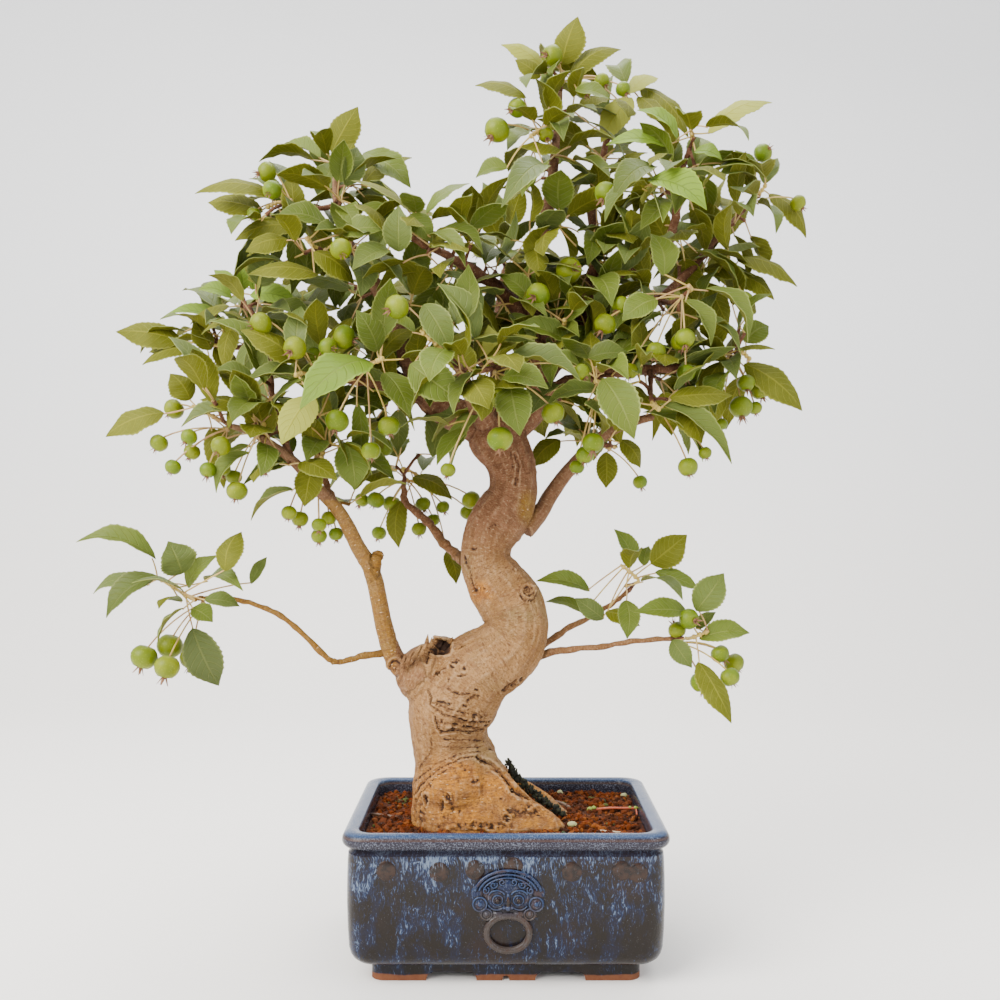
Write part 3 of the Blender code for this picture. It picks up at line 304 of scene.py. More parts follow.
# Trunk and branches: (across, down, depth, radius) along each
TRUNK_LINE = (
    (458, 818, -10, 22), (458, 792, -10, 31), (456, 765, -10, 29.5), (451, 745, -10, 27),
    (449, 729, -11, 27), (451, 712, -12, 30), (459, 692, -14, 31), (478, 670, -15, 27.5),
    (500, 655, -14, 25), (514, 638, -12, 23.5), (516, 618, -9, 22.5), (510, 602, -7, 23),
    (497, 584, -5, 21.5), (487, 565, -4, 18.6), (486, 549, -3, 18), (490, 534, -2, 19),
    (502, 515, 0, 20.5), (512, 496, 0, 18), (513, 476, 0, 17.3), (508, 457, 0, 18),
    (497, 438, 0, 20.5), (490, 421, 0, 19),
)
LIMBS = tuple(Limb(*row) for row in (
    ("stub", 2, ((436, 668, -14, 8.5), (441, 652, -14, 7.8), (444, 637, -14, 7.0))),
    ("left_bough", 2, (
        (414, 674, -14, 10), (397, 662, -15, 7.4), (385, 630, -18, 6.2), (373, 575, -26, 5.8),
        (358, 547, -31, 5.2), (340, 513, -36, 4.6), (315, 486, -43, 4.0), (292, 460, -48, 3.4),
        (258, 436, -53, 2.6), (232, 426, -57, 2.0))),
    ("bough_stub", 0, ((373, 582, -26, 4), (376, 562, -30, 4.4), (377, 556, -31, 3.8))),
    ("bough_fork", 0, (
        (340, 513, -36, 3.2), (328, 490, -30, 2.7), (321, 460, -24, 2.3), (316, 425, -22, 2.0),
        (313, 388, -30, 1.7))),
    ("left_riser", 0, (
        (292, 460, -48, 2.6), (276, 415, -44, 2.3), (270, 380, -40, 2.1), (262, 341, -32, 1.9),
        (250, 308, -22, 1.6))),
    ("low_left_twig", 0, (
        (396, 652, -14, 2.6), (360, 657, -20, 2.2), (337, 662, -26, 2.0), (324, 655, -30, 2.0),
        (299, 630, -34, 1.9), (272, 611, -38, 1.8), (238, 600, -40, 1.7), (206, 598, -40, 1.6))),
    ("inner_left", 0, (
        (470, 562, -2, 5.0), (459, 556, 8, 4.0), (443, 543, 16, 3.4), (426, 520, 24, 3.0),
        (406, 503, 30, 2.6), (404, 485, 34, 2.2))),
    ("left_limb", 2, (
        (492, 430, 0, 16), (468, 420, -4, 13), (431, 400, -8, 10), (410, 362, -10, 7.5),
        (398, 325, -12, 6.0), (375, 285, -14, 4.8), (350, 245, -14, 3.6), (337, 205, -10, 2.6),
        (335, 178, -8, 2.0))),
    ("left_reach", 0, (
        (431, 400, -8, 6.0), (385, 385, -26, 4.4), (348, 378, -42, 3.2), (322, 376, -52, 2.4))),
    ("left_back", 0, (
        (425, 390, -4, 6.0), (375, 370, 24, 4.5), (320, 350, 44, 3.4), (270, 347, 46, 2.6),
        (228, 348, 30, 1.8))),
    ("centre_left", 0, (
        (535, 335, 6, 5.5), (508, 298, 0, 4.6), (470, 268, -14, 3.6), (435, 250, -30, 2.6),
        (408, 236, -42, 1.9))),
    ("leader", 2, (
        (498, 432, 2, 15), (525, 415, 4, 12), (541, 394, 6, 9.8), (537, 360, 6, 8.4),
        (535, 333, 6, 7.4), (531, 300, 4, 6.4), (536, 262, 2, 5.4), (545, 222, 0, 4.6),
        (552, 180, -2, 3.8), (556, 140, -4, 3.0), (560, 92, -2, 2.0))),
    ("right_riser", 1, (
        (545, 378, 8, 6.5), (579, 334, 12, 5.4), (590, 296, 14, 4.8), (594, 250, 12, 4.0),
        (592, 204, 18, 3.2), (602, 160, 24, 2.6), (613, 118, 29, 2.0))),
    ("right_fork", 0, (
        (594, 292, 13, 4.4), (630, 268, 6, 3.8), (668, 243, -4, 3.2), (677, 205, -14, 2.6),
        (684, 165, -22, 2.0))),
    ("right_upper", 0, (
        (588, 322, 13, 4.0), (640, 308, 8, 3.3), (669, 291, 6, 2.9), (700, 260, 14, 2.5),
        (722, 232, 24, 2.2), (742, 212, 31, 1.8))),
    ("right_arm", 0, (
        (545, 392, 4, 6.0), (594, 374, -4, 4.6), (640, 370, -8, 3.6), (673, 368, -8, 3.0),
        (698, 359, 0, 2.6), (725, 352, 8, 2.0))),
    ("right_low_limb", 0, (
        (524, 528, 2, 8.5), (540, 513, 8, 6.2), (550, 496, 12, 5.6), (570, 469, 16, 5.0),
        (604, 435, 20, 4.2), (640, 420, 22, 3.2), (690, 410, 14, 2.4), (722, 402, 6, 1.9))),
    ("low_right_front", 0, (
        (536, 656, -12, 3.0), (560, 651, -16, 2.3), (603, 646, -20, 2.0), (636, 641, -24, 1.8),
        (674, 638, -26, 1.6))),
    ("low_right_back", 0, (
        (538, 650, -4, 3.0), (561, 633, 2, 2.2), (590, 617, 6, 1.9), (613, 603, 8, 1.7),
        (628, 591, 8, 1.6))),
    ("front_limb", 1, (
        (490, 428, -6, 10), (478, 408, -30, 6.8), (468, 388, -52, 4.8), (458, 366, -68, 3.2))),
    ("back_limb", 0, (
        (500, 428, 8, 11), (500, 395, 34, 8.0), (498, 355, 58, 5.8), (500, 310, 76, 4.2),
        (505, 270, 84, 3.0))),
    ("back_right", 0, (
        (502, 378, 44, 5.5), (560, 345, 66, 4.4), (620, 310, 82, 3.4), (665, 290, 86, 2.4))),
    ("back_left", 0, (
        (498, 368, 50, 5.5), (440, 330, 70, 4.4), (385, 300, 80, 3.2), (340, 282, 78, 2.2))),
))
# Twigs from a branch to each spray: they spring from one of a few places between a branch's points, from a
# low one rather than a high one, and a long twig sags
TWIG_RADIUS = 1.5
TWIG_CHOICES = 4
TWIG_DROP_COST = 0.6
LONG_TWIG = 30.0
TWIG_SAG = 0.1
TWIG_SAG_AT = 0.55
# Rounded swellings: (across, down, depth, radius, radius, radius)
SWELLINGS = (
    (431, 675, -14, 24.5, 23, 22),
    (529, 590, -18, 7.0, 6.0, 6.0),
)

Leaf = namedtuple("Leaf", "base tip width near look", defaults=("upper",))
Spray = namedtuple("Spray", "name hub more leaves")
Bunch = namedtuple("Bunch", "name spray apples")

# Leaves seen in the picture: where the blade starts and ends, its width, and how far its tip comes forward
SPRAYS = tuple(Spray(*row[:3], [Leaf(*leaf) for leaf in row[3]]) for row in (
    ("low_left", (197, 598, -40), 0, (
        ((156, 559), (76, 542), 22, 4, "rolled"), ((182, 574), (168, 541), 26, 12),
        ((188, 588), (218, 555), 15, 0), ((226, 571), (242, 533), 20, -8, "under"),
        ((251, 584), (267, 557), 9, -4), ((158, 576), (106, 618), 24, 14, "dusky"),
        ((150, 585), (93, 594), 12, -14), ((183, 602), (159, 609), 10, 10, "under"),
        ((207, 581), (243, 590), 15, -10), ((204, 600), (240, 606), 14, 12),
        ((192, 608), (213, 622), 16, 16), ((192, 628), (219, 686), 26, 6, "dusky"))),
    ("low_right_front", (684, 638, -27), 0, (
        ((687, 612), (634, 612), 18, 6), ((696, 611), (724, 573), 22, 6),
        ((699, 639), (750, 633), 18, 2), ((696, 629), (716, 612), 9, -8),
        ((672, 640), (692, 668), 15, 8), ((698, 663), (732, 724), 20, 4, "under"))),
    ("low_right_back", (634, 584, 8), 0, (
        ((634, 564), (614, 529), 16, 2), ((644, 566), (649, 546), 11, -6),
        ((651, 564), (687, 535), 24, 4, "under"), ((655, 572), (700, 590), 14, 8),
        ((590, 591), (536, 581), 17, 6), ((586, 614), (545, 602), 11, -8),
        ((604, 619), (575, 598), 15, 10), ((606, 612), (640, 626), 14, 12, "under"))),
    ("far_left_high", (219, 346, 26), 0, (
        ((181, 341), (116, 332), 23, 10, "under"), ((227, 329), (164, 316), 17, -8, "young"),
        ((182, 347), (149, 353), 13, -10, "under"), ((211, 350), (193, 321), 18, 8, "under"),
        ((214, 347), (238, 372), 20, 14, "under"), ((211, 358), (179, 368), 14, 4))),
    ("far_left_low", (224, 422, -58), 1, (
        ((164, 413), (106, 437), 22, 6, "under"), ((240, 413), (181, 427), 20, 14, "rolled"),
        ((190, 400), (170, 374), 20, 2, "under"))),
    ("left_hanging", (262, 428, -60), 0, (
        ((250, 452), (216, 493), 18, 8, "rolled"), ((280, 452), (259, 476), 14, 12),
        ((246, 408), (200, 400), 15, -4, "under"))),
    ("left_fork", (322, 452, -30), 0, (
        ((313, 465), (304, 506), 19, 14, "under"), ((347, 441), (355, 490), 24, 10),
        ((294, 490), (251, 521), 16, 2, "rolled"), ((300, 466), (262, 468), 18, -16))),
    ("left_middle", (308, 374, -60), 1, (
        ((305, 379), (243, 383), 20, 8, "rolled"), ((313, 396), (281, 445), 22, 34, "pale"),
        ((296, 362), (240, 330), 22, 4, "under"))),
    ("left_front", (372, 364, -62), 0, (
        ((370, 362), (300, 410), 32, 22, "bright"), ((378, 352), (356, 310), 22, 16),
        ((384, 372), (410, 417), 22, 16))),
    ("pale_rosette", (243, 298, 8), 0, (
        ((232, 298), (198, 290), 13, 4, "young"), ((236, 295), (214, 270), 13, -4, "young"),
        ((243, 291), (238, 264), 13, 6, "young"), ((250, 295), (300, 305), 17, 12, "young"),
        ((252, 290), (262, 266), 12, -8, "young"))),
    ("top_left_peak", (336, 168, 14), 0, (
        ((332, 153), (358, 107), 24, 2, "under"), ((322, 170), (311, 139), 17, -8),
        ((342, 174), (354, 143), 20, 10, "under"), ((363, 153), (411, 188), 24, 8),
        ((361, 190), (412, 158), 22, -10, "under"), ((332, 180), (285, 178), 17, 16, "under"))),
    ("top_left_side", (284, 204, -18), 1, (
        ((276, 197), (195, 194), 23, 4, "under"), ((263, 212), (208, 203), 20, -10, "under"),
        ((296, 228), (235, 241), 22, 12, "under"))),
    ("top_left_front", (318, 248, -40), 0, (
        ((326, 224), (276, 216), 22, 6, "dusky"), ((342, 233), (386, 229), 20, 6),
        ((318, 275), (248, 275), 23, 16, "under"), ((314, 252), (354, 284), 22, 18, "under"),
        ((288, 240), (246, 252), 18, -6, "under"))),
    ("pale_curl", (402, 226, -44), 0, (
        ((399, 252), (399, 205), 21, 16), ((410, 214), (432, 243), 17, 12),
        ((429, 247), (458, 229), 16, 8, "under"), ((390, 250), (352, 270), 22, 18))),
    ("apex", (562, 80, 2), 1, (
        ((562, 65), (578, 17), 25, 2, "under"), ((545, 72), (501, 45), 17, -2, "pale"),
        ((540, 78), (515, 60), 14, 12, "under"), ((570, 79), (621, 50), 17, -4, "under"),
        ((576, 90), (612, 100), 16, 12))),
    ("apex_left", (542, 132, -22), 1, (
        ((526, 98), (475, 86), 20, 4, "under"), ((560, 150), (519, 147), 18, 8, "under"),
        ((545, 168), (502, 207), 20, 12), ((508, 168), (475, 178), 18, -6))),
    ("apex_right", (620, 104, 30), 1, (
        ((632, 98), (601, 143), 21, 12, "pale"), ((638, 97), (664, 126), 20, 6, "under"),
        ((640, 88), (688, 138), 24, -6, "under"), ((628, 94), (655, 80), 16, -12, "pale"))),
    ("right_top", (690, 148, -26), 1, (
        ((708, 134), (772, 103), 23, 2, "pale"), ((678, 142), (637, 110), 18, 10, "young"),
        ((668, 147), (606, 145), 17, 4, "young"), ((694, 152), (722, 160), 14, 12, "young"))),
    ("right_bright", (664, 184, -44), 1, (
        ((648, 180), (707, 210), 27, 34, "young"), ((655, 166), (612, 201), 22, 14, "dusky"),
        ((670, 200), (640, 230), 18, 8))),
    ("right_tip", (754, 200, 34), 2, (
        ((769, 194), (806, 238), 22, 2, "under"), ((764, 184), (778, 158), 16, -4),
        ((750, 182), (735, 150), 18, 8))),
    ("right_side", (728, 264, 22), 1, (
        ((736, 258), (797, 287), 25, 6, "under"), ((732, 276), (774, 300), 18, -8, "under"),
        ((704, 270), (748, 278), 18, 14, "under"))),
    ("right_middle", (688, 292, -34), 0, (
        ((664, 276), (651, 234), 22, 8), ((706, 288), (748, 342), 22, 6, "rolled"),
        ((684, 300), (711, 346), 20, 16, "rolled"), ((657, 299), (622, 321), 22, 14))),
    ("right_end", (736, 352, 10), 1, (
        ((744, 364), (802, 411), 26, 8, "under"), ((744, 342), (769, 326), 20, -8),
        ((722, 362), (700, 401), 15, 12, "under"))),
    ("right_low", (652, 402, -44), 1, (
        ((660, 404), (732, 464), 22, 16, "rolled"), ((643, 412), (703, 462), 18, 4, "rolled"),
        ((670, 398), (732, 396), 17, -8, "under"))),
    ("right_inner", (600, 384, -50), 0, (
        ((603, 378), (634, 440), 26, 18), ((588, 358), (628, 353), 20, 12, "dusky"),
        ((600, 391), (543, 411), 21, 10), ((586, 402), (600, 434), 18, -16))),
    ("low_right_limb", (612, 446, 30), 0, (
        ((606, 452), (606, 488), 16, 4, "under"), ((620, 440), (640, 468), 16, -6, "under"),
        ((560, 440), (532, 468), 18, 4, "under"))),
    ("front_left", (444, 352, -72), 1, (
        ((410, 364), (460, 402), 27, 16), ((424, 304), (452, 354), 20, 6),
        ((440, 340), (436, 300), 16, 8))),
    ("front_centre", (500, 366, -70), 0, (
        ((504, 360), (581, 381), 26, 12, "rolled"), ((492, 361), (488, 325), 13, 4, "pale"),
        ((503, 378), (548, 388), 20, 20), ((510, 384), (520, 436), 24, 18))),
    ("centre_high", (560, 330, -16), 1, (
        ((570, 343), (514, 325), 20, 10), ((566, 322), (592, 300), 17, 6),
        ((530, 300), (500, 276), 18, 4))),
    ("inner_low", (404, 474, 36), 1, (
        ((412, 478), (452, 500), 18, 6, "under"), ((402, 500), (399, 548), 17, 2, "under"),
        ((446, 552), (456, 584), 13, 4, "under"), ((392, 470), (362, 480), 18, -6, "under"))),
    ("back_left_high", (330, 276, 80), 5, ()),
    ("back_middle", (505, 262, 86), 5, ()),
    ("back_right_high", (672, 286, 88), 5, ()),
))

# Apples seen in the picture: (across, down, nearness, diameter)
BUNCHES = tuple(Bunch(*row) for row in (
    ("low_left", "low_left", (
        (144, 657, 4, 17.5), (170, 646, -8, 17.5), (167, 667, 12, 17), (191, 658, 0, 15))),
    ("low_right", "low_right_front", (
        (720, 654, 0, 13), (734, 663, -12, 14), (730, 677, 8, 13.5), (701, 682, 4, 15))),
    ("far_left", "far_left_low", (
        (174, 409, -8, 13.5), (159, 443, 4, 12), (189, 437, 12, 11), (208, 470, 10, 11))),
    ("left_hanging", "left_hanging", ((221, 446, 16, 13), (237, 491, 6, 13.5))),
    ("left_fork", "left_fork", ((289, 513, 14, 10.5), (319, 536, 6, 11))),
    ("left_middle", "left_middle", ((295, 348, 16, 15),)),
    ("left_front", "left_front", ((337, 421, 10, 15.5),)),
    ("top_left", "top_left_side", ((267, 172, 4, 13.5), (272, 190, 18, 13))),
    ("top_front", "top_left_front", ((341, 249, 24, 14),)),
    ("front_left", "front_left", ((397, 307, 16, 15.5),)),
    ("inner_low", "inner_low", ((376, 500, 6, 13), (419, 529, 10, 11))),
    ("apex", "apex", ((552, 56, 10, 15), (584, 90, 14, 12))),
    ("apex_left", "apex_left", ((517, 108, 6, 13), (497, 130, 10, 17), (526, 177, 14, 14.5))),
    ("centre", "centre_high", ((569, 270, 12, 18), (538, 295, 14, 16))),
    ("right_bright", "right_bright", ((606, 193, 16, 15),)),
    ("right_tip", "right_tip", ((798, 203, 4, 12), (763, 153, 8, 13.5))),
    ("right_side", "right_side", ((744, 300, 16, 13),)),
    ("right_middle", "right_middle", ((605, 324, 8, 14.5), (685, 338, 14, 13.5))),
    ("right_end", "right_end", ((741, 407, 12, 16.5), (760, 390, 2, 14.5))),
    ("right_low", "right_low", ((688, 467, 8, 13.5),)),
    ("right_inner", "right_inner", ((593, 443, 14, 14),)),
    ("front_centre", "front_centre", ((500, 439, 12, 16.5), (553, 413, 4, 15))),
    ("low_right_limb", "low_right_limb", ((640, 482, 0, 11),)),
    ("back", "back_middle", ((480, 250, -30, 13), (540, 240, -36, 13))),
))


# An apple, in the solid: (share of its radius along its axis, share of its radius)
FLOWER_END = (1.36, 0.3)
APPLE_HANG = 0.5

# An apple's stalk, at its start and its end; the least gap between apples, and steps to find a free depth
APPLE_STALK = (0.52, 0.6)
APPLE_GAP = 0.4
DEPTH_STEP = 4.0
DEPTH_TRIES = 24

# Buds
BUD_RADII = (1.7, 1.7, 1.9)
BUD_BACK = 4.0
BUD_ASIDE = 3.3
BUD_LOOSE = 0.05
APPLE_LOOSE = 1.2

# Apples that the picture shows and the solids leave out: (across, down, diameter)
MORE_APPLES = (
    (192, 452, 11), (173, 467, 10.5), (223, 469, 10), (234, 477, 10.5), (265, 467, 9.5), (300, 519, 11.5),
    (319, 525, 10), (329, 518, 10.5), (336, 534, 10), (314, 356, 12), (344, 337, 16), (328, 347, 12),
    (389, 426, 14), (392, 504, 13.5), (379, 533, 11), (371, 451, 12.5), (385, 447, 13.5), (366, 462, 12),
    (261, 324, 15), (254, 214, 10), (602, 81, 11), (623, 89, 10.5), (546, 135, 10.5), (577, 295, 14),
    (621, 305, 12.5), (656, 351, 13), (681, 342, 14), (746, 383, 12.5), (755, 408, 10), (704, 385, 12),
    (705, 453, 9), (721, 424, 9.5), (630, 371, 11), (686, 373, 12.5), (581, 372, 11), (497, 397, 14),
    (511, 411, 12), (585, 455, 12.5), (577, 467, 10), (471, 500, 14), (468, 512, 12), (423, 504, 11.5),
    (443, 507, 10), (689, 619, 14), (677, 630, 12.5), (362, 500, 11), (433, 520, 10), (448, 470, 10),
)

# How the leaf solids are drawn, so that each fine leaf lies where its solid does
FILLING_WIDTH = (16, 21)
STEM_RADIUS = 1.2
STEM_GAP = 0.5
FIRST_STRETCH = 4.0
LONGEST_STEM = 30.0
LEAF_SPACING = 2.2
STEM_ON = 0.8
STEM_LOOSE = 12
DEPTH_STRAY = 3.0
TIP_STRAY = 5.0
STRAY_GROWTH = 0.5
SLIDE_GROWTH = 0.06
FILLING_STALK = (10, 16)
FILLING_BLADE = (30, 46)
FILLING_DROOP = 0.25
TRIES = 100
FOUND = 2.6
SURELY_FOUND = 1.3

# The crown as the picture shows it, which leaves drawn by rule keep within: (across, down, radius)
CROWN_DISCS = (
    (330, 235, 105), (215, 345, 80), (250, 420, 75), (350, 430, 85), (450, 330, 115), (545, 290, 140),
    (580, 120, 85), (690, 205, 92), (710, 320, 75), (695, 400, 60), (600, 420, 60), (425, 490, 60),
    (165, 595, 60), (670, 600, 60),
)

# Where the picture's crown has no gaps: (across, down, radius), looked at in square cells of this many pixels
FULL_DISCS = (
    (330, 235, 88), (218, 345, 58), (250, 415, 55), (350, 420, 66), (450, 330, 108), (545, 290, 132),
    (478, 235, 46), (582, 128, 70), (690, 205, 80), (708, 315, 66), (600, 405, 50), (686, 400, 42),
)
CELL = 11
FARTHEST_TWIG = 75.0
NEW_TWIG = 30.0

# Rosettes that close such gaps: the thickest branch that bears one, and how many leaves, how long, how wide,
# how far off in depth and how far from the twig's end; the share of under sides, and above which height
GAP_LIMB = 7.0
GAP_LEAVES = (2, 4)
GAP_BLADE = (30.0, 46.0)
GAP_WIDTH = (16, 23)
GAP_DEPTH = (-22, 30)
GAP_REACH = 34
GAP_UNDER_SHARE = 0.3
GAP_UNDER_HEIGHT = 400.0

# How a leaf looks: brightness, youth and paleness of its tone, and which looks show the under side
LOOK_TONES = {
    "upper": (0.62, 0.0, 0.0), "any": (0.5, 0.0, 0.0), "under": (0.5, 0.0, 0.0),
    "pale": (0.6, 0.0, 0.9), "young": (0.8, 0.95, 0.3), "bright": (0.8, 0.65, 0.0),
    "rolled": (0.6, 0.0, 0.1), "dusky": (0.2, 0.0, 0.0),
}
UNDER_LOOKS = ("under", "pale")

# Moss: (across, down, depth, spread, count); litter: (across, down, depth, height), radius and colours
MOSS_PATCHES = (
    (402, 790, 36, 6, 20), (530, 800, 12, 7, 40), (560, 810, 24, 7, 24), (600, 800, 40, 9, 10),
    (372, 815, -20, 9, 5), (620, 820, -20, 10, 5), (450, 840, -55, 14, 4), (540, 835, -52, 12, 6),
)
LITTER = (
    (((590, 812, 6, 1.5), (608, 808, 8, 3.0), (632, 806, 10, 3.2), (654, 804, 12, 4.0)), 0.9, "red"),
    (((636, 806, 10, 3.2), (637, 815, 0, 1.5)), 0.6, "red"),
    (((357, 800, 8, 1.2), (376, 806, 0, 1.6), (397, 812, -8, 1.2)), 0.9, "brown"),
    (((435, 820, -48, 1.0), (446, 828, -52, 1.4), (458, 835, -56, 1.0)), 0.7, "pale"),
    (((553, 787, 26, 2.0), (562, 797, 20, 2.2), (570, 810, 12, 1.2)), 1.2, "brown"),
    (((600, 830, -40, 1.0), (622, 834, -44, 1.3)), 0.6, "pale"),
    (((470, 848, -62, 1.0), (494, 846, -60, 1.3)), 0.6, "brown"),
)

# Buds of the seedling and fluff on the soil: (across, down, depth, height), radius across and up, and colour
BUDS = (
    ((590, 812, 6, 2.0), 2.3, 2.0, "green"), ((594, 809, 6, 3.4), 1.8, 1.2, "green"),
    ((636, 806, 10, 3.8), 1.5, 1.0, "green"), ((644, 804, 11, 4.6), 1.6, 1.0, "green"),
    ((630, 807, 10, 3.6), 1.2, 0.9, "green"),
    ((572, 823, -30, 1.6), 3.4, 1.9, "fluff"), ((578, 826, -32, 1.2), 1.8, 1.2, "fluff"),
    ((624, 792, 50, 2.4), 2.6, 1.8, "fluff"), ((560, 788, 56, 2.0), 2.4, 2.0, "fluff"),
)
LITTER_COLORS = {
    "green": ((0.1, 0.16, 0.01), (0.27, 0.33, 0.03)),
    "fluff": ((0.2, 0.2, 0.06), (0.42, 0.42, 0.2)),
    "red": ((0.3, 0.035, 0.015), (0.5, 0.12, 0.04)),
    "brown": ((0.07, 0.035, 0.02), (0.2, 0.11, 0.06)),
    "pale": ((0.35, 0.24, 0.14), (0.55, 0.42, 0.27)),
}

# Stage, in metres: lights as (name, place, size, watts, colour)
FLOOR_SIZE = 6.0
BACK_OF_FLOOR = 0.9
SWEEP_STEPS = 12
SWEEP_RADIUS = 0.8
WALL_HEIGHT = 2.2
LIGHT_AIM = (0.0, 0.0, 0.3)
LIGHTS = (
    ("key", (-1.1, -1.0, 1.3), 1.3, 80.0, (1.0, 0.985, 0.96)),
    ("fill", (1.3, -0.9, 0.8), 1.2, 12.0, (0.93, 0.96, 1.0)),
    ("top", (0.1, 0.35, 1.7), 1.2, 36.0, (1.0, 1.0, 1.0)),
)


def at_view(across, down, depth):
    """The point, in metres, that the reference picture shows at this place and depth."""
    away = VIEW_DISTANCE + depth
    return Vector((
        POT_MIDDLE[0] + VIEW_ACROSS + (across - VIEW_MIDDLE[0]) / VIEW_FOCAL * away,
        POT_MIDDLE[1] + depth,
        VIEW_HEIGHT + (VIEW_MIDDLE[1] - down) / VIEW_FOCAL * away,
    )) * MM


def in_view(x, y, z):
    """Where the reference picture shows points given in metres; numbers or arrays."""
    away = y / MM - POT_MIDDLE[1] + VIEW_DISTANCE
    across = (x / MM - POT_MIDDLE[0] - VIEW_ACROSS) / away * VIEW_FOCAL + VIEW_MIDDLE[0]
    return across, VIEW_MIDDLE[1] - (z / MM - VIEW_HEIGHT) / away * VIEW_FOCAL


def pot_point(x, y, z):
    return Vector((x + POT_MIDDLE[0], y + POT_MIDDLE[1], z)) * MM


# Tools of the workshop: selecting, joining and shaping


def pick(obj):
    """Selects one object alone and makes it the active one."""
    bpy.ops.object.select_all(action="DESELECT")
    obj.select_set(True)
    bpy.context.view_layer.objects.active = obj
    return obj


def named(name):
    """The object that an operator has just made, under this name."""
    obj = bpy.context.view_layer.objects.active
    obj.name = name
    obj.data.name = name
    return obj


def linked(name, data):
    """A new object in the scene, picked."""
    obj = bpy.data.objects.new(name, data)
    bpy.context.collection.objects.link(obj)
    return pick(obj)


def scaled(name, scale):
    """The object that an operator has just made, under this name and in this size."""
    obj = named(name)
    obj.scale = scale
    bpy.ops.object.transform_apply(location=True, rotation=False, scale=True)
    return obj


@contextmanager
def editing():
    """Edit mode, with the whole mesh of the active object selected."""
    bpy.ops.object.mode_set(mode="EDIT")
    bpy.ops.mesh.select_all(action="SELECT")
    yield
    bpy.ops.object.mode_set(mode="OBJECT")


def apply_modifier(obj, kind, **values):
    pick(obj)
    bpy.ops.object.modifier_add(type=kind)
    modifier = obj.modifiers[-1]
    for key, value in values.items():
        setattr(modifier, key, value)
    bpy.ops.object.modifier_apply(modifier=modifier.name)


def join(objects, name):
    """Joins objects into the first, which keeps the name given."""
    pick(objects[0])
    for obj in objects[1:]:
        obj.select_set(True)
    if len(objects) > 1:
        bpy.ops.object.join()
    return named(name)


def coordinates(mesh):
    spots = np.empty(len(mesh.vertices) * 3, np.float32)
    mesh.vertices.foreach_get("co", spots)
    return spots.reshape(-1, 3).astype(float)


def set_coordinates(mesh, spots):
    mesh.vertices.foreach_set("co", np.asarray(spots, np.float32).ravel())
    mesh.update()


def normals(mesh):
    ways = np.empty(len(mesh.vertices) * 3, np.float32)
    mesh.vertices.foreach_get("normal", ways)
    return ways.reshape(-1, 3).astype(float)


def dress(obj, *materials):
    obj.data.materials.clear()
    for material in materials:
        obj.data.materials.append(material)


def use_material(obj, index):
    obj.data.polygons.foreach_set("material_index", [index] * len(obj.data.polygons))


def smooth(obj, angle=None):
    pick(obj)
    if angle is None:
        bpy.ops.object.shade_smooth()
    else:
        bpy.ops.object.shade_smooth_by_angle(angle=math.radians(angle))


def finish_piece(obj, slot, *nodes):
    """Lets a finished piece ride with the tree and stand for its solids."""
    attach(obj, BODY)
    if nodes:
        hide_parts(*nodes)


def set_tone(mesh, values):
    """One colour value for the whole mesh, or one for each point, kept as an attribute."""
    layers = mesh.color_attributes
    tone = layers.get("tone") or layers.new("tone", "FLOAT_COLOR", "POINT")
    whole = np.empty((len(mesh.vertices), 4), np.float32)
    whole[:] = values
    tone.data.foreach_set("color", whole.ravel())


def tube(name, line, roundness, *more):
    """A closed tube along points in metres, with a radius in metres at each; more lines make more tubes."""
    curve = bpy.data.curves.new(name, "CURVE")
    curve.dimensions = "3D"
    curve.bevel_depth = 1.0
    curve.bevel_resolution = roundness
    curve.use_fill_caps = True
    for path in (line, *more):
        spline = curve.splines.new("POLY")
        spline.points.add(len(path) - 1)
        for spot, (place, radius) in zip(spline.points, path):
            spot.co = (*place, 1.0)
            spot.radius = radius
    linked(name, curve)
    bpy.ops.object.convert(target="MESH")
    obj = named(name)
    with editing():
        bpy.ops.mesh.remove_doubles(threshold=1e-6)
        bpy.ops.mesh.normals_make_consistent(inside=False)
    return obj


def between_middle(t, parts, zero=0):
    """A smooth value between the second and the third of four, at a share of the way."""
    weights = (-t + 2 * t**2 - t**3, 2 - 5 * t**2 + 3 * t**3, t + 4 * t**2 - 3 * t**3, t**3 - t**2)
    return sum((weight / 2 * part for weight, part in zip(weights, parts)), zero)


def smoothed(line, steps):
    """A smooth line through the given points, with this many stretches between each two."""
    whole = [line[0], *line, line[-1]]
    made = []
    for four in zip(whole, whole[1:], whole[2:], whole[3:]):
        places, radii = zip(*four)
        for step in range(steps):
            share = step / steps
            made.append((between_middle(share, places, Vector()), between_middle(share, radii)))
    return [*made, line[-1]]


def line_in_metres(line):
    return [(at_view(across, down, depth), radius * MM) for across, down, depth, radius in line]


def ease(value, low, high):
    """0 below low, 1 above high and smooth between."""
    share = np.clip((value - low) / (high - low), 0.0, 1.0)
    return share * share * (3 - 2 * share)


# Where the solids' leaves and apples lie: the same draws again, matched to the solids' own corners


def tree_of_node(name):
    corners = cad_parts[name].data.vertices
    tree = KDTree(len(corners))
    for index, corner in enumerate(corners):
        tree.insert(corner.co, index)
    tree.balance()
    return tree


def nearest(tree, point):
    """How far, in millimetres, the nearest corner of a solid lies from a point."""
    return tree.find(point)[2] / MM


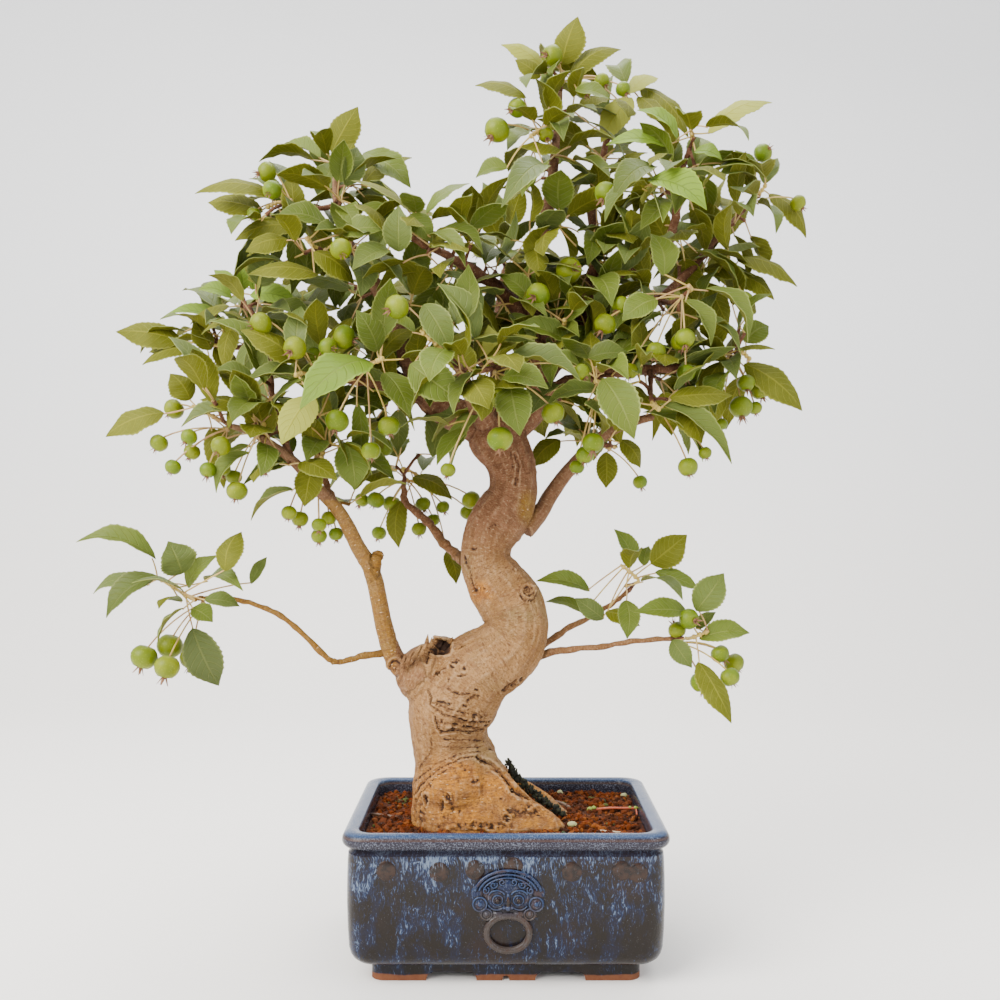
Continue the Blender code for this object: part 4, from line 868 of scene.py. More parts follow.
def twig_to(hub, limbs):
    """A bent twig to a spray's hub, from the branch that best carries it: its line, and its way out."""
    best = None
    for line in limbs:
        for place, radius in line[1:]:
            cost = (hub - place).length + TWIG_DROP_COST * max(0.0, place.z - hub.z)
            if best is None or cost < best[0]:
                best = (cost, place, radius)
    start, carrier = best[1], best[2]
    way = hub - start
    radius = min(TWIG_RADIUS * MM, carrier * 0.9)
    if way.length < LONG_TWIG * MM:
        return [(start, radius * 1.15), (hub, radius)], way.normalized()
    middle = start + way * TWIG_SAG_AT - Vector((0, 0, TWIG_SAG * way.length))
    return [(start, radius * 1.25), (middle, radius * 1.1), (hub, radius)], (hub - middle).normalized()


def stem_line(spray, way, count, wander):
    """A spray's own stem, as its solid has it."""
    hub = at_view(*spray.hub)
    start = hub + way * STEM_GAP * MM
    bases = [at_view(*leaf.base, spray.hub[2] - leaf.near / 2) for leaf in spray.leaves]
    lean = sum(bases, Vector()) / len(bases) - hub if bases else way * MM
    reach = max(count * LEAF_SPACING * MM, min(LONGEST_STEM * MM, lean.length))
    first = start + (way + wander * 0.4).normalized() * FIRST_STRETCH * MM
    end = first + (lean.normalized() + way * STEM_ON + wander).normalized() * reach
    radius = STEM_RADIUS * MM
    return [(start, radius), (first, radius), (end, radius * 0.8)]


def stalk_starts(spray, stem, count):
    """Where each leaf springs from the stem, in the order that their places along it give."""
    start, end = stem[1][0], stem[2][0]
    way = end - start
    rng = random.Random(spray.name)
    shares = []
    for index in range(count):
        if index < len(spray.leaves):
            base = at_view(*spray.leaves[index].base, spray.hub[2])
            shares.append((base - start).dot(way) / way.length_squared)
        else:
            shares.append(rng.uniform(-0.5, 1.5))
    order = sorted(range(count), key=lambda index: shares[index])
    return [start + way * (order.index(index) + 0.6) / count for index in range(count)]


def draw_seen(spray, leaf, rng, attempt):
    loose = 1.0 + attempt * STRAY_GROWTH
    depth = spray.hub[2] - leaf.near / 2 + rng.uniform(-1, 1) * DEPTH_STRAY * loose
    tip_depth = spray.hub[2] - leaf.near + rng.uniform(-1, 1) * TIP_STRAY * loose
    slide = [rng.uniform(-1, 1) * attempt * SLIDE_GROWTH for _ in range(4)]
    base = at_view(leaf.base[0] + slide[0], leaf.base[1] + slide[1], depth)
    tip = at_view(leaf.tip[0] + slide[2], leaf.tip[1] + slide[3], tip_depth)
    return base, tip, Vector((rng.uniform(-0.3, 0.3), -0.72, 0.62 + rng.uniform(-0.25, 0.25)))


def draw_filling(start, way, rng):
    out = Vector((rng.gauss(0, 0.7), rng.gauss(0, 1.0), rng.gauss(0.1, 0.6))) + way * 0.5
    out.normalize()
    base = start + out * rng.uniform(*FILLING_STALK) * MM
    bend = Vector((out.x, out.y, out.z - FILLING_DROOP)).normalized()
    tip = base + bend * rng.uniform(*FILLING_BLADE) * MM
    return base, tip, Vector((rng.uniform(-0.4, 0.4), rng.uniform(-0.5, 0.5), 1.0))


Blade = namedtuple("Blade", "start base tip facing width look")


def find_stem(spray, way, tree):
    count = len(spray.leaves) + spray.more
    for attempt in range(TRIES):
        rng = random.Random(f"{spray.name} stem {attempt}")
        wander = Vector([rng.uniform(-1, 1) * min(1.0, attempt / STEM_LOOSE) for _ in range(3)])
        stem = stem_line(spray, way, count, wander)
        if nearest(tree, stem[-1][0]) < SURELY_FOUND:
            return stem
    raise RuntimeError(f"the stem of {spray.name} isn't where its solid is")


def find_blade(spray, index, start, way, tree):
    """The draw of this leaf whose base and tip are corners of the solid, or nothing if it has none."""
    seen = spray.leaves[index] if index < len(spray.leaves) else None
    best = None
    for attempt in range(TRIES):
        rng = random.Random(f"{spray.name} {index} {attempt}")
        width = seen.width if seen else rng.uniform(*FILLING_WIDTH)
        base, tip, facing = draw_seen(spray, seen, rng, attempt) if seen else draw_filling(start, way, rng)
        miss = nearest(tree, tip) + nearest(tree, base)
        if best is None or miss < best[0]:
            best = (miss, Blade(start, base, tip, facing, width, seen.look if seen else "any"))
        if miss < SURELY_FOUND:
            break
    return best[1] if best[0] < FOUND else None


def find_bunch(bunch, way):
    """The bud and the apples of a bunch as its solid has them: the bud, and each middle with its radius."""
    spray = next(spray for spray in SPRAYS if spray.name == bunch.spray)
    tree = tree_of_node("apples_" + bunch.name)
    hub = at_view(*spray.hub)
    best = None
    for attempt in range(TRIES):
        rng = random.Random(f"{bunch.name} {attempt}")
        loose = Vector([rng.uniform(-1, 1) * attempt * BUD_LOOSE for _ in range(3)])
        centres = [at_view(across, down, spray.hub[2] - near) for across, down, near, _ in bunch.apples]
        lean = (sum(centres, Vector()) / len(centres) - hub).normalized() + loose
        beside = (lean - way * lean.dot(way)).normalized()
        bud = hub - way * BUD_BACK * MM + beside * BUD_ASIDE * MM
        apples = []
        miss = 0.0
        for across, down, near, diameter in bunch.apples:
            jitter = rng.uniform(-1, 1) * attempt * APPLE_LOOSE
            centre = at_view(across, down, spray.hub[2] - near + jitter)
            radius = diameter / 2 * MM
            axis = apple_axis(bud, centre)
            along, across_share = FLOWER_END
            miss += abs(nearest(tree, centre + axis * radius * along) - radius * across_share / MM)
            apples.append((centre, radius))
        if best is None or miss < best[0] - 0.2:
            best = (miss, bud, apples)
    return best[1], best[2]


def apple_axis(bud, centre):
    return ((centre - bud).normalized() - Vector((0, 0, APPLE_HANG))).normalized()


# The pot and the soil


def rounded_ring(inset, height, scale=1.0):
    """Points of a rounded rectangle, drawn in from the lip's outer edge, in metres."""
    corner = max(LEAST_CORNER, LIP_CORNER - CORNER_SHRINK * inset)
    half_x = POT_HALF_WIDTH - inset - corner
    half_y = POT_HALF_DEPTH - inset - corner
    corners = ((1, 1), (-1, 1), (-1, -1), (1, -1))
    ring = []
    for quarter, (sx, sy) in enumerate(corners):
        for step in range(CORNER_STEPS + 1):
            angle = math.radians(90) * (quarter + step / CORNER_STEPS)
            ring.append((sx * half_x + corner * math.cos(angle), sy * half_y + corner * math.sin(angle)))
        last = ring[-1]
        turn = math.radians(90) * (quarter + 1)
        sx, sy = corners[(quarter + 1) % 4]
        onward = (sx * half_x + corner * math.cos(turn), sy * half_y + corner * math.sin(turn))
        for step in range(1, SIDE_STEPS):
            share = step / SIDE_STEPS
            ring.append((last[0] + (onward[0] - last[0]) * share, last[1] + (onward[1] - last[1]) * share))
    return [pot_point(x * scale, y * scale, height) for x, y in ring]


def loft(name, rings):
    """A closed skin through rings of points, alike in number, with its first and last ring capped."""
    bm = bmesh.new()
    corners = [[bm.verts.new(point) for point in ring] for ring in rings]
    for lower, upper in zip(corners, corners[1:]):
        for i in range(len(lower)):
            j = (i + 1) % len(lower)
            bm.faces.new((lower[i], lower[j], upper[j], upper[i]))
    bm.faces.new(corners[0][::-1])
    bm.faces.new(corners[-1])
    mesh = bpy.data.meshes.new(name)
    bm.to_mesh(mesh)
    bm.free()
    return linked(name, mesh)


def cutter(name, low, high, round_edges):
    """A block across the pot with its lengthwise edges rounded, from a low to a high corner of the pot."""
    low = pot_point(*low)
    high = pot_point(*high)
    size = high - low
    bpy.ops.mesh.primitive_cube_add(size=1.0, location=(low + high) / 2)
    obj = scaled(name, size)
    longest = max(range(3), key=lambda axis: size[axis])
    obj.data.attributes.new("bevel_weight_edge", "FLOAT", "EDGE")
    for edge in obj.data.edges:
        ends = [obj.data.vertices[index].co for index in edge.vertices]
        if abs(ends[0][longest] - ends[1][longest]) > size[longest] / 2:
            obj.data.attributes["bevel_weight_edge"].data[edge.index].value = 1.0
    apply_modifier(obj, "BEVEL", width=round_edges * MM, segments=6, limit_method="WEIGHT")
    return obj


def cut(obj, cutters, operation="DIFFERENCE"):
    for tool in cutters:
        apply_modifier(obj, "BOOLEAN", object=tool, operation=operation, solver="MANIFOLD")
        bpy.data.objects.remove(tool)


def ball(name, middle, radii, turn=0.0, segments=16, rings=10):
    """A rounded form with its own radii, in metres, turned in the plane that faces the viewer."""
    bpy.ops.mesh.primitive_uv_sphere_add(segments=segments, ring_count=rings, radius=1.0)
    obj = named(name)
    size = Matrix.Diagonal((*radii, 1))
    obj.data.transform(Matrix.Translation(middle) @ Matrix.Rotation(turn, 4, "Y") @ size)
    return obj


def curl(name, middle, major, minor, turns=1.4, start=0.0, hand=1):
    """A curl of clay: a tube that winds in to its middle, in the plane that faces the viewer."""
    line = []
    for step in range(CURL_STEPS + 1):
        share = step / CURL_STEPS
        angle = start + hand * share * turns * math.tau
        reach = major * (1 - 0.8 * share)
        rise = Vector((math.cos(angle) * reach, -MM * 0.6 * share, math.sin(angle) * reach))
        line.append((middle + rise, minor * (1 - 0.25 * share)))
    return tube(name, line, 2)


def mask_relief():
    """The lion's face with its mane of curls, and the ring in its mouth, as one moulded relief."""

    def spot(x, z, out=0.0):
        return pot_point(MASK_MIDDLE + x, MASK_WALL - out, z)

    def sides(x):
        return (1, -1) if x else (1,)

    forms = []
    for x, z, rx, rz, depth, turn in MASK_FORMS:
        for side in sides(x):
            forms.append(ball("form", spot(side * x, z), Vector((rx, depth, rz)) * MM, -side * turn))
    for x, z, rx, rz, thick, first, last in (*MASK_LINES, (*MASK_RING, 0, 360)):
        out = thick * 0.5 if last - first == 360 and thick > 1 else 1.9
        for side in sides(x):
            line = []
            for step in range(RING_STEPS + 1):
                angle = math.radians(first + (last - first) * step / RING_STEPS)
                place = spot(side * x + rx * math.cos(angle), z + rz * math.sin(angle), out)
                line.append((place, thick * MM))
            forms.append(tube("line", line, 2))
    for x, z, major, minor, turns, start in MASK_CURLS:
        for side in sides(x):
            begin = math.radians(start if side > 0 else 180 - start)
            forms.append(curl("curl", spot(x * side, z, 1.9), major * MM, minor * MM, turns, begin, side))
    for x, z, radius, out in MASK_BEADS:
        for side in sides(x):
            forms.append(ball("bead", spot(x * side, z, out - radius * 0.4), Vector((radius,) * 3) * MM))
    relief = join(forms, "mask")
    relief.data.remesh_voxel_size = MASK_GRAIN * MM
    bpy.ops.object.voxel_remesh()
    apply_modifier(relief, "SMOOTH", factor=0.5, iterations=2)
    return relief


def soil_height(x, y):
    across = 1 - (x / POT_HALF_WIDTH) ** 2
    along = 1 - (y / POT_HALF_DEPTH) ** 2
    return SOIL_EDGE + SOIL_MOUND * across * along


def over_soil(across, down, depth, height):
    """The place in the picture, put at this height over the soil."""
    place = at_view(across, down, depth)
    place.z = (soil_height(place.x / MM - POT_MIDDLE[0], depth) + height) * MM
    return place


def base_ring(height, wider=0.0, scale=1.0, shift=0.0, steps=1):
    """The root base's outline at a height; steps are points for each given radius."""
    count = len(BASE_RADII)
    ring = []
    for step in range(count * steps):
        share = step / steps
        index = int(share)
        radii = [BASE_RADII[(index + offset) % count] for offset in (-1, 0, 1, 2)]
        angle = math.tau * share / count
        reach = between_middle(share - index, radii) * scale + wider
        ring.append(pot_point(BASE_MIDDLE[0] + shift + reach * math.cos(angle),
                              BASE_MIDDLE[1] + reach * math.sin(angle), height))
    return ring


def scatter(name, pattern, places):
    """One mesh of many small copies of a pattern, in its place: each place is a matrix."""
    shape = coordinates(pattern.data)
    faces = [tuple(face.vertices) for face in pattern.data.polygons]
    spots = []
    all_faces = []
    for index, place in enumerate(places):
        turned = np.asarray(place)
        spots.append(shape @ turned[:3, :3].T + turned[:3, 3])
        all_faces += [tuple(corner + index * len(shape) for corner in face) for face in faces]
    mesh = bpy.data.meshes.new(name)
    mesh.from_pydata(np.concatenate(spots).tolist(), [], all_faces)
    mesh.update()
    bpy.data.objects.remove(pattern)
    return linked(name, mesh)


def random_turn(rng):
    angle = rng.uniform(0, math.tau)
    axis = Vector((rng.gauss(0, 1), rng.gauss(0, 1), rng.gauss(0, 1) + 0.01))
    return Matrix.Rotation(angle, 4, axis.normalized())


def over_base(x, y):
    """How far, in millimetres, a place on the soil lies outside the root base."""
    dx = x - BASE_MIDDLE[0]
    dy = y - BASE_MIDDLE[1]
    share = math.atan2(dy, dx) / math.tau * len(BASE_RADII) % len(BASE_RADII)
    index = int(share)
    low, high = BASE_RADII[index], BASE_RADII[(index + 1) % len(BASE_RADII)]
    return math.hypot(dx, dy) - (low + (high - low) * (share - index))


# The wood


def wood_lines():
    """Lines of the trunk and of each branch and twig, in metres, and each spray's way out of its twig."""
    lines = [("trunk", smoothed(line_in_metres(TRUNK_LINE), LINE_STEPS))]
    choices = []
    for limb in LIMBS:
        line = line_in_metres(limb.line)
        lines.append((limb.name, smoothed(line, LINE_STEPS)))
        choices.append(smoothed(line, TWIG_CHOICES))
    ways = {}
    for spray in SPRAYS:
        line, way = twig_to(at_view(*spray.hub), choices)
        lines.append(("twig", smoothed(line, LINE_STEPS)))
        ways[spray.name] = way
    return lines, ways


def knobbly(line, rng):
    """The same line with its radius swelling and its way wandering a little, as grown wood has it."""
    made = [line[0]]
    for place, radius in line[1:-1]:
        stray = Vector([rng.uniform(-1, 1) for _ in range(3)]) * radius * 0.25
        made.append((place + stray, radius * rng.uniform(0.85, 1.2)))
    return [*made, line[-1]]


def grain_frames(lines):
    """A tree of all line points, and for each its middle, its frame, its radius and how far along it lies."""
    places, frames, radii, lengths, kinds = [], [], [], [], []
    for name, line in lines:
        across = None
        run = 0.0
        for index, (place, radius) in enumerate(line):
            before = line[max(index - 1, 0)][0]
            after = line[min(index + 1, len(line) - 1)][0]
            way = (after - before).normalized()
            if across is None:
                across = way.orthogonal().normalized()
            across = (across - way * across.dot(way)).normalized()
            if index:
                run += (place - line[index - 1][0]).length
            places.append(place)
            frames.append((across, way.cross(across), way))
            radii.append(radius)
            lengths.append(run)
            kinds.append(CROWN_KINDS.get(name, 1.0 if name == "twig" else 0.6))
    tree = KDTree(len(places))
    for index, place in enumerate(places):
        tree.insert(place, index)
    tree.balance()
    return tree, np.array(places), np.array(frames), np.array(radii), np.array(lengths), np.array(kinds)


def fractal(spots, octaves, seed):
    """Noise from -1 to 1 at each point given."""
    shift = Vector((seed * 13.7, seed * 7.1, seed * 3.3))
    return np.array([noise.fractal(Vector(spot) + shift, 0.8, 2.1, octaves) for spot in spots])


def hump(away, middle, width):
    """1 at this distance, falling off to both sides over this width."""
    return np.exp(-((away - middle) / width) ** 2)


def oval(across, down, x, y, rx, ry):
    """How far each seen point lies from an oval's middle, in its own radii."""
    return np.hypot((across - x) / rx, (down - y) / ry)


def line_distance(across, down, polyline):
    """How far, in pixels, each seen point lies from a line drawn on the picture."""
    best = np.full(len(across), 1e9)
    for (x0, y0), (x1, y1) in zip(polyline, polyline[1:]):
        dx, dy = x1 - x0, y1 - y0
        share = np.clip(((across - x0) * dx + (down - y0) * dy) / max(dx * dx + dy * dy, 1e-6), 0, 1)
        best = np.minimum(best, np.hypot(across - x0 - share * dx, down - y0 - share * dy))
    return best


# Leaves and stalks: one flat leaf and one straight stalk are modelled, and every one is a bent copy


def leaf_pattern():
    """A flat leaf from (0, -1) to (1, 1): rows of faces along it, with a toothed edge."""
    bpy.ops.mesh.primitive_grid_add(x_subdivisions=LEAF_ROWS, y_subdivisions=LEAF_COLUMNS, size=1.0,
                                    location=(0.5, 0.0, 0.0))
    leaf = scaled("leaf_pattern", (1.0, 2.0, 1.0))
    settings = bpy.context.scene.bonsai_leaves
    for corner in leaf.data.vertices:
        row = round(corner.co.x * LEAF_ROWS)
        if abs(corner.co.y) > 0.99 and 1 < row < LEAF_ROWS - 1:
            corner.co.y *= 1.0 + (settings.tooth if row % 2 else -settings.tooth)
            corner.co.x += 0.4 / LEAF_ROWS * (row % 2)
    return leaf


def stalk_pattern():
    """A straight stalk of unit length and unit radius, along Z."""
    bpy.ops.mesh.primitive_circle_add(vertices=STALK_SIDES, radius=1.0, fill_type="NGON")
    stalk = named("stalk_pattern")
    with editing():
        for _ in range(STALK_STEPS):
            bpy.ops.mesh.extrude_region_move(TRANSFORM_OT_translate={"value": (0, 0, 1 / STALK_STEPS)})
        bpy.ops.mesh.select_all(action="SELECT")
        bpy.ops.mesh.normals_make_consistent(inside=False)
    return stalk


def copy_of(pattern, name):
    obj = bpy.data.objects.new(name, pattern.data.copy())
    bpy.context.collection.objects.link(obj)
    return obj


def bent_stalk(pattern, name, start, through, end, radius, tip_radius):
    """A copy of the stalk along a bend from start to end that leans towards a third point."""
    obj = copy_of(pattern, name)
    shape = coordinates(obj.data)
    share = shape[:, 2:3]
    start, through, end = (np.array(point) for point in (start, through, end))
    middle = start * (1 - share) ** 2 + through * 2 * share * (1 - share) + end * share**2
    way = (through - start) * (1 - share) + (end - through) * share
    way /= np.linalg.norm(way, axis=1, keepdims=True) + 1e-12
    across = np.cross(way, (0.31, 0.22, 0.93))
    across /= np.linalg.norm(across, axis=1, keepdims=True) + 1e-12
    up = np.cross(way, across)
    reach = radius + (tip_radius - radius) * share
    set_coordinates(obj.data, middle + (across * shape[:, :1] + up * shape[:, 1:2]) * reach)
    return obj


def half_width(share):
    """The leaf's outline: oval, widest before its middle, with a drawn-out tip."""
    return np.sin(np.pi * np.clip(share, 0, 1) ** 0.84) ** 0.82 * (1 - 0.3 * ease(share, 0.72, 0.97))


def bent_leaf(pattern, name, blade, rng):
    """A copy of the flat leaf, folded along its midrib, arched and waved, from its base to its tip."""
    obj = copy_of(pattern, name)
    shape = coordinates(obj.data)
    share, across = shape[:, 0], shape[:, 1]
    along = blade.tip - blade.base
    length = along.length
    along.normalize()
    rolled = blade.look == "rolled"
    side = along.cross(Vector((0.05, -0.2, 1.0)) if rolled else blade.facing).normalized()
    up = side.cross(along)
    under = blade.look in UNDER_LOOKS
    half = blade.width / 2 * MM
    fold = rng.uniform(0.15, 0.55) * (-0.6 if under else 1.0)
    arch = rng.uniform(0.1, 0.19)
    lean = 0.0
    if rolled:
        fold, lean = 1.0, 0.75 if side.y > 0 else -0.75
    if blade.look == "bright":
        fold = 0.12
    breadth = half_width(share) * half
    phase = share * rng.uniform(13, 19) + rng.uniform(0, 6) + np.sign(across) * 0.9
    wave = np.sin(phase) * rng.uniform(0.03, 0.09)
    sway = rng.uniform(-0.05, 0.05) * length * np.sin(np.pi * share)
    curl_down = rng.uniform(0.0, 0.1) * across**2
    tilt = np.arctan(fold + lean * np.sign(across))
    flat = across * breadth * np.cos(tilt) + sway
    edge = np.abs(across) * np.sin(tilt) + across**2 * (wave - curl_down)
    lift = arch * length * 4 * share * (1 - share) + breadth * edge
    spots = np.array(blade.base) + np.outer(share * length, along) + np.outer(flat, side) + np.outer(lift, up)
    set_coordinates(obj.data, spots)
    if side.cross(along).dot(up) > 0:
        obj.data.flip_normals()
    if under:
        obj.data.flip_normals()
    bright, youth, pale = LOOK_TONES[blade.look]
    set_tone(obj.data, (min(1.0, max(0.0, bright + rng.uniform(-0.16, 0.16))), youth, pale, rng.random()))
    return obj


def spurs_along(lines):
    """Places for more rosettes: (start, way out, name of the nearest spray), along the crown's branches."""
    rng = random.Random("spurs")
    hubs = [(spray.name, at_view(*spray.hub)) for spray in SPRAYS]
    spurs = []
    for name, line in lines:
        if name in CLEAR_LIMBS:
            continue
        run = rng.uniform(0.3, 1.0) * SPUR_EVERY * MM
        for (before, _), (place, radius) in zip(line, line[1:]):
            run += (place - before).length
            if run < SPUR_EVERY * MM or radius > SPUR_LIMB * MM:
                continue
            run = rng.uniform(-0.3, 0.3) * SPUR_EVERY * MM
            way = (place - before).normalized()
            out = Vector((rng.gauss(0, 1), rng.gauss(0, 1), rng.gauss(0.35, 0.7)))
            out = (out - way * out.dot(way) * 0.6).normalized()
            nearest_hub = min(hubs, key=lambda hub: (hub[1] - place).length)
            if in_crown(place):
                spurs.append((place, out, nearest_hub[0], radius))
    return spurs


def in_crown(point, spare=1.0):
    across, down = in_view(*point)
    return any(math.hypot(across - x, down - y) < radius * spare for x, y, radius in CROWN_DISCS)


def spur_blades(start, out, rng):
    """The leaves of one rosette that keep within the crown."""
    blades = []
    side = out.orthogonal().normalized()
    turn = rng.uniform(0, math.tau)
    for index in range(rng.randint(*SPUR_LEAVES)):
        angle = turn + index * SPUR_TURN
        ring = side * math.cos(angle) + out.cross(side) * math.sin(angle)
        way = (out * rng.uniform(0.3, 0.9) + ring + Vector((0, 0, 0.15))).normalized()
        base = start + way * rng.uniform(*SPUR_STALK) * MM
        bend = Vector((way.x, way.y, way.z - rng.uniform(0.15, 0.6))).normalized()
        tip = base + bend * rng.uniform(*SPUR_BLADE) * MM
        facing = Vector((rng.uniform(-0.5, 0.5), rng.uniform(-0.6, 0.4), 1.0))
        if not in_crown(tip):
            continue
        chance = rng.random()
        look = "rolled" if chance < ROLLED_SHARE else "any" if chance < ANY_SHARE else "upper"
        if tip.z > VIEW_HEIGHT * MM and rng.random() < UNDER_SHARE:
            look = "under"
        blades.append(Blade(start, base, tip, facing, rng.uniform(*SPUR_WIDTH), look))
    return blades


def cover(blades, cells):
    """Marks the cells of the picture that leaves cover."""
    for blade in blades:
        along = blade.tip - blade.base
        side = along.cross(blade.facing).normalized() * blade.width * 0.3 * MM
        for step in range(1, 9):
            for across in (-1, 0, 1):
                x, y = in_view(*(blade.base + along * step / 9 + side * across))
                cells.add((int(x // CELL), int(y // CELL)))


def gap_leaves(layout, lines):
    """More rosettes on twigs, wherever the crown would show a gap that the picture doesn't: as spurs."""
    rng = random.Random("gaps")
    cells = set()
    for _, blades, spurs in layout.values():
        cover(blades, cells)
        for spur in spurs:
            cover(spur[2], cells)
    count = int(VIEW_SIZE // CELL)
    targets = [(x, y) for x in range(count) for y in range(count)
               if any(math.hypot((x + 0.5) * CELL - across, (y + 0.5) * CELL - down) < radius
                      for across, down, radius in FULL_DISCS)]
    rng.shuffle(targets)
    points = [(in_view(*place), place) for name, line in lines if name not in CLEAR_LIMBS
              for place, radius in line[1:] if radius < GAP_LIMB * MM]
    hubs = [(spray.name, at_view(*spray.hub)) for spray in SPRAYS]
    for cell in targets:
        if cell in cells:
            continue
        across, down = ((part + 0.5) * CELL for part in cell)
        away, place = min((math.hypot(across - seen[0], down - seen[1] + 8), spot) for seen, spot in points)
        if away > FARTHEST_TWIG:
            continue
        goal = at_view(across, down, place.y / MM - POT_MIDDLE[1] + rng.uniform(*GAP_DEPTH))
        out = (goal - place).normalized()
        end = place + out * min((goal - place).length * 0.5, NEW_TWIG * MM)
        blades = []
        for index in range(rng.randint(*GAP_LEAVES)):
            stray = Vector((rng.gauss(0, 0.5), rng.gauss(0, 0.5), rng.gauss(-0.1, 0.4)))
            way = (out + stray * (0.7 + index * 0.5)).normalized()
            length = rng.uniform(*GAP_BLADE) * MM
            base = goal - way * length * 0.45 if index == 0 else end + way * rng.uniform(*SPUR_STALK) * MM
            tip = base + way * length
            if (base - end).length > GAP_REACH * MM or not in_crown(tip):
                continue
            facing = Vector((rng.uniform(-0.5, 0.5), rng.uniform(-0.7, 0.3), 1.0))
            below = tip.z > GAP_UNDER_HEIGHT * MM and rng.random() < GAP_UNDER_SHARE
            look = "under" if below else "any"
            blades.append(Blade(end, base, tip, facing, rng.uniform(*GAP_WIDTH), look))
        if blades:
            cover(blades, cells)
            name = min(hubs, key=lambda hub: (hub[1] - place).length)[0]
            layout[name][2].append((place, end, blades))


@functools.lru_cache(maxsize=None)
def leaf_layout():
    """Each spray's stem and leaves as its solid has them, and the spurs with more leaves."""
    lines, ways = wood_lines()
    layout = {}
    for spray in SPRAYS:
        tree = tree_of_node("leaves_" + spray.name)
        stem = find_stem(spray, ways[spray.name], tree)
        count = len(spray.leaves) + spray.more
        starts = stalk_starts(spray, stem, count)
        blades = [find_blade(spray, index, starts[index], ways[spray.name], tree) for index in range(count)]
        layout[spray.name] = (stem, [blade for blade in blades if blade], [])
    for index, (place, out, name, radius) in enumerate(spurs_along(lines)):
        rng = random.Random(f"spur {index}")
        end = place + out * (radius + rng.uniform(*SPUR_LENGTH) * MM)
        blades = spur_blades(end, out, rng)
        if blades:
            layout[name][2].append((place, end, blades))
    gap_leaves(layout, lines)
    return layout


class BONSAI_OT_leaves(bpy.types.Operator):
    """Model one leaf and one stalk, and grow every spray from bent copies of them"""

    bl_idname = "bonsai.leaves"
    bl_label = "Grow the leaves"

    def execute(self, context):
        settings = context.scene.bonsai_leaves
        materials = (
            leaf_material("leaf_upper", settings, False), leaf_material("leaf_under", settings, True),
            stalk_material(settings),
        )
        leaf = leaf_pattern()
        stalk = stalk_pattern()
        leaf.data.materials.append(materials[0])
        for spray_name, (stem, blades, spurs) in leaf_layout().items():
            rng = random.Random(spray_name + " shapes")
            blades = blades + [blade for spur in spurs for blade in spur[2]]
            leaves = [bent_leaf(leaf, "leaf", blade, rng) for blade in blades]
            spray = join(leaves, "spray_" + spray_name)
            dress(spray, *materials)
            apply_modifier(spray, "SOLIDIFY", thickness=settings.thickness, offset=-1.0, material_offset=1,
                           use_even_offset=False)
            stalks = [petiole(stalk, blade, rng) for blade in blades]
            stalks.append(tube("stem", smoothed(stem, 4), 2))
            for index in range(3):
                share = (index + 0.5) / 3
                place = stem[1][0].lerp(stem[2][0], share)
                stalks.append(ball("bud", place, Vector(BUD_RADII) * MM, segments=8, rings=6))
            for piece in stalks:
                dress(piece, *materials)
                use_material(piece, 2)
            spray = join([spray, *stalks], "spray_" + spray_name)
            smooth(spray, 50)
            finish_piece(spray, "leaf", "leaves_" + spray_name)
        bpy.data.objects.remove(leaf)
        bpy.data.objects.remove(stalk)
        return {"FINISHED"}


def petiole(pattern, blade, rng):
    """A leaf's stalk, from the stem to a little way under its blade."""
    into = blade.base + (blade.tip - blade.base) * 0.05
    reach = (into - blade.start).length
    through = blade.start.lerp(into, 0.5) + Vector((rng.uniform(-0.1, 0.1), rng.uniform(-0.1, 0.1),
                                                    rng.uniform(-0.05, 0.14))) * reach
    radii = [radius * MM for radius in LEAF_STALK]
    piece = bent_stalk(pattern, "petiole", blade.start, through, into, *radii)
    set_tone(piece.data, (rng.random(), 0.0, 0.0, 1.0))
    return piece


# Apples


def apple_pattern():
    """An apple of unit radius with its stalk's dimple at -Z and its flower's end at +Z."""
    bpy.ops.mesh.primitive_uv_sphere_add(segments=14, ring_count=10, radius=1.0)
    apple = named("apple_pattern")
    shape = coordinates(apple.data)
    height = shape[:, 2]
    reach = np.hypot(shape[:, 0], shape[:, 1])
    angle = np.arctan2(shape[:, 1], shape[:, 0])
    height = height - 0.26 * np.exp(-(reach / 0.3) ** 2) * np.sign(height)
    ribs = 1 + 0.03 * np.cos(5 * angle) * ease(height, 0.0, 0.9)
    spread = ribs * (1 + 0.05 * np.exp(-((height + 0.1) / 0.5) ** 2))
    set_coordinates(apple.data, np.stack([shape[:, 0] * spread, shape[:, 1] * spread, height * 0.97], axis=1))
    smooth(apple)
    return apple


def sepal_pattern():
    """The five withered, pointed sepals at an apple's flower end, opening towards +Z."""
    bpy.ops.mesh.primitive_cone_add(vertices=4, radius1=0.14, radius2=0.02, depth=0.7, location=(0, 0, 0.35),
                                    end_fill_type="NGON")
    sepal = scaled("sepal", (1.0, 0.45, 1.0))
    with editing():
        bpy.ops.mesh.subdivide(number_cuts=1)
    places = []
    for index in range(SEPALS):
        turn = Matrix.Rotation(math.tau * index / SEPALS, 4, "Z")
        places.append(turn @ Matrix.Translation((0, 0.1, 0.68)) @ Matrix.Rotation(-0.5, 4, "X"))
    places.append(Matrix.Translation((0, 0, 0.56)) @ Matrix.Scale(0.7, 4))
    return scatter("sepals", sepal, places)


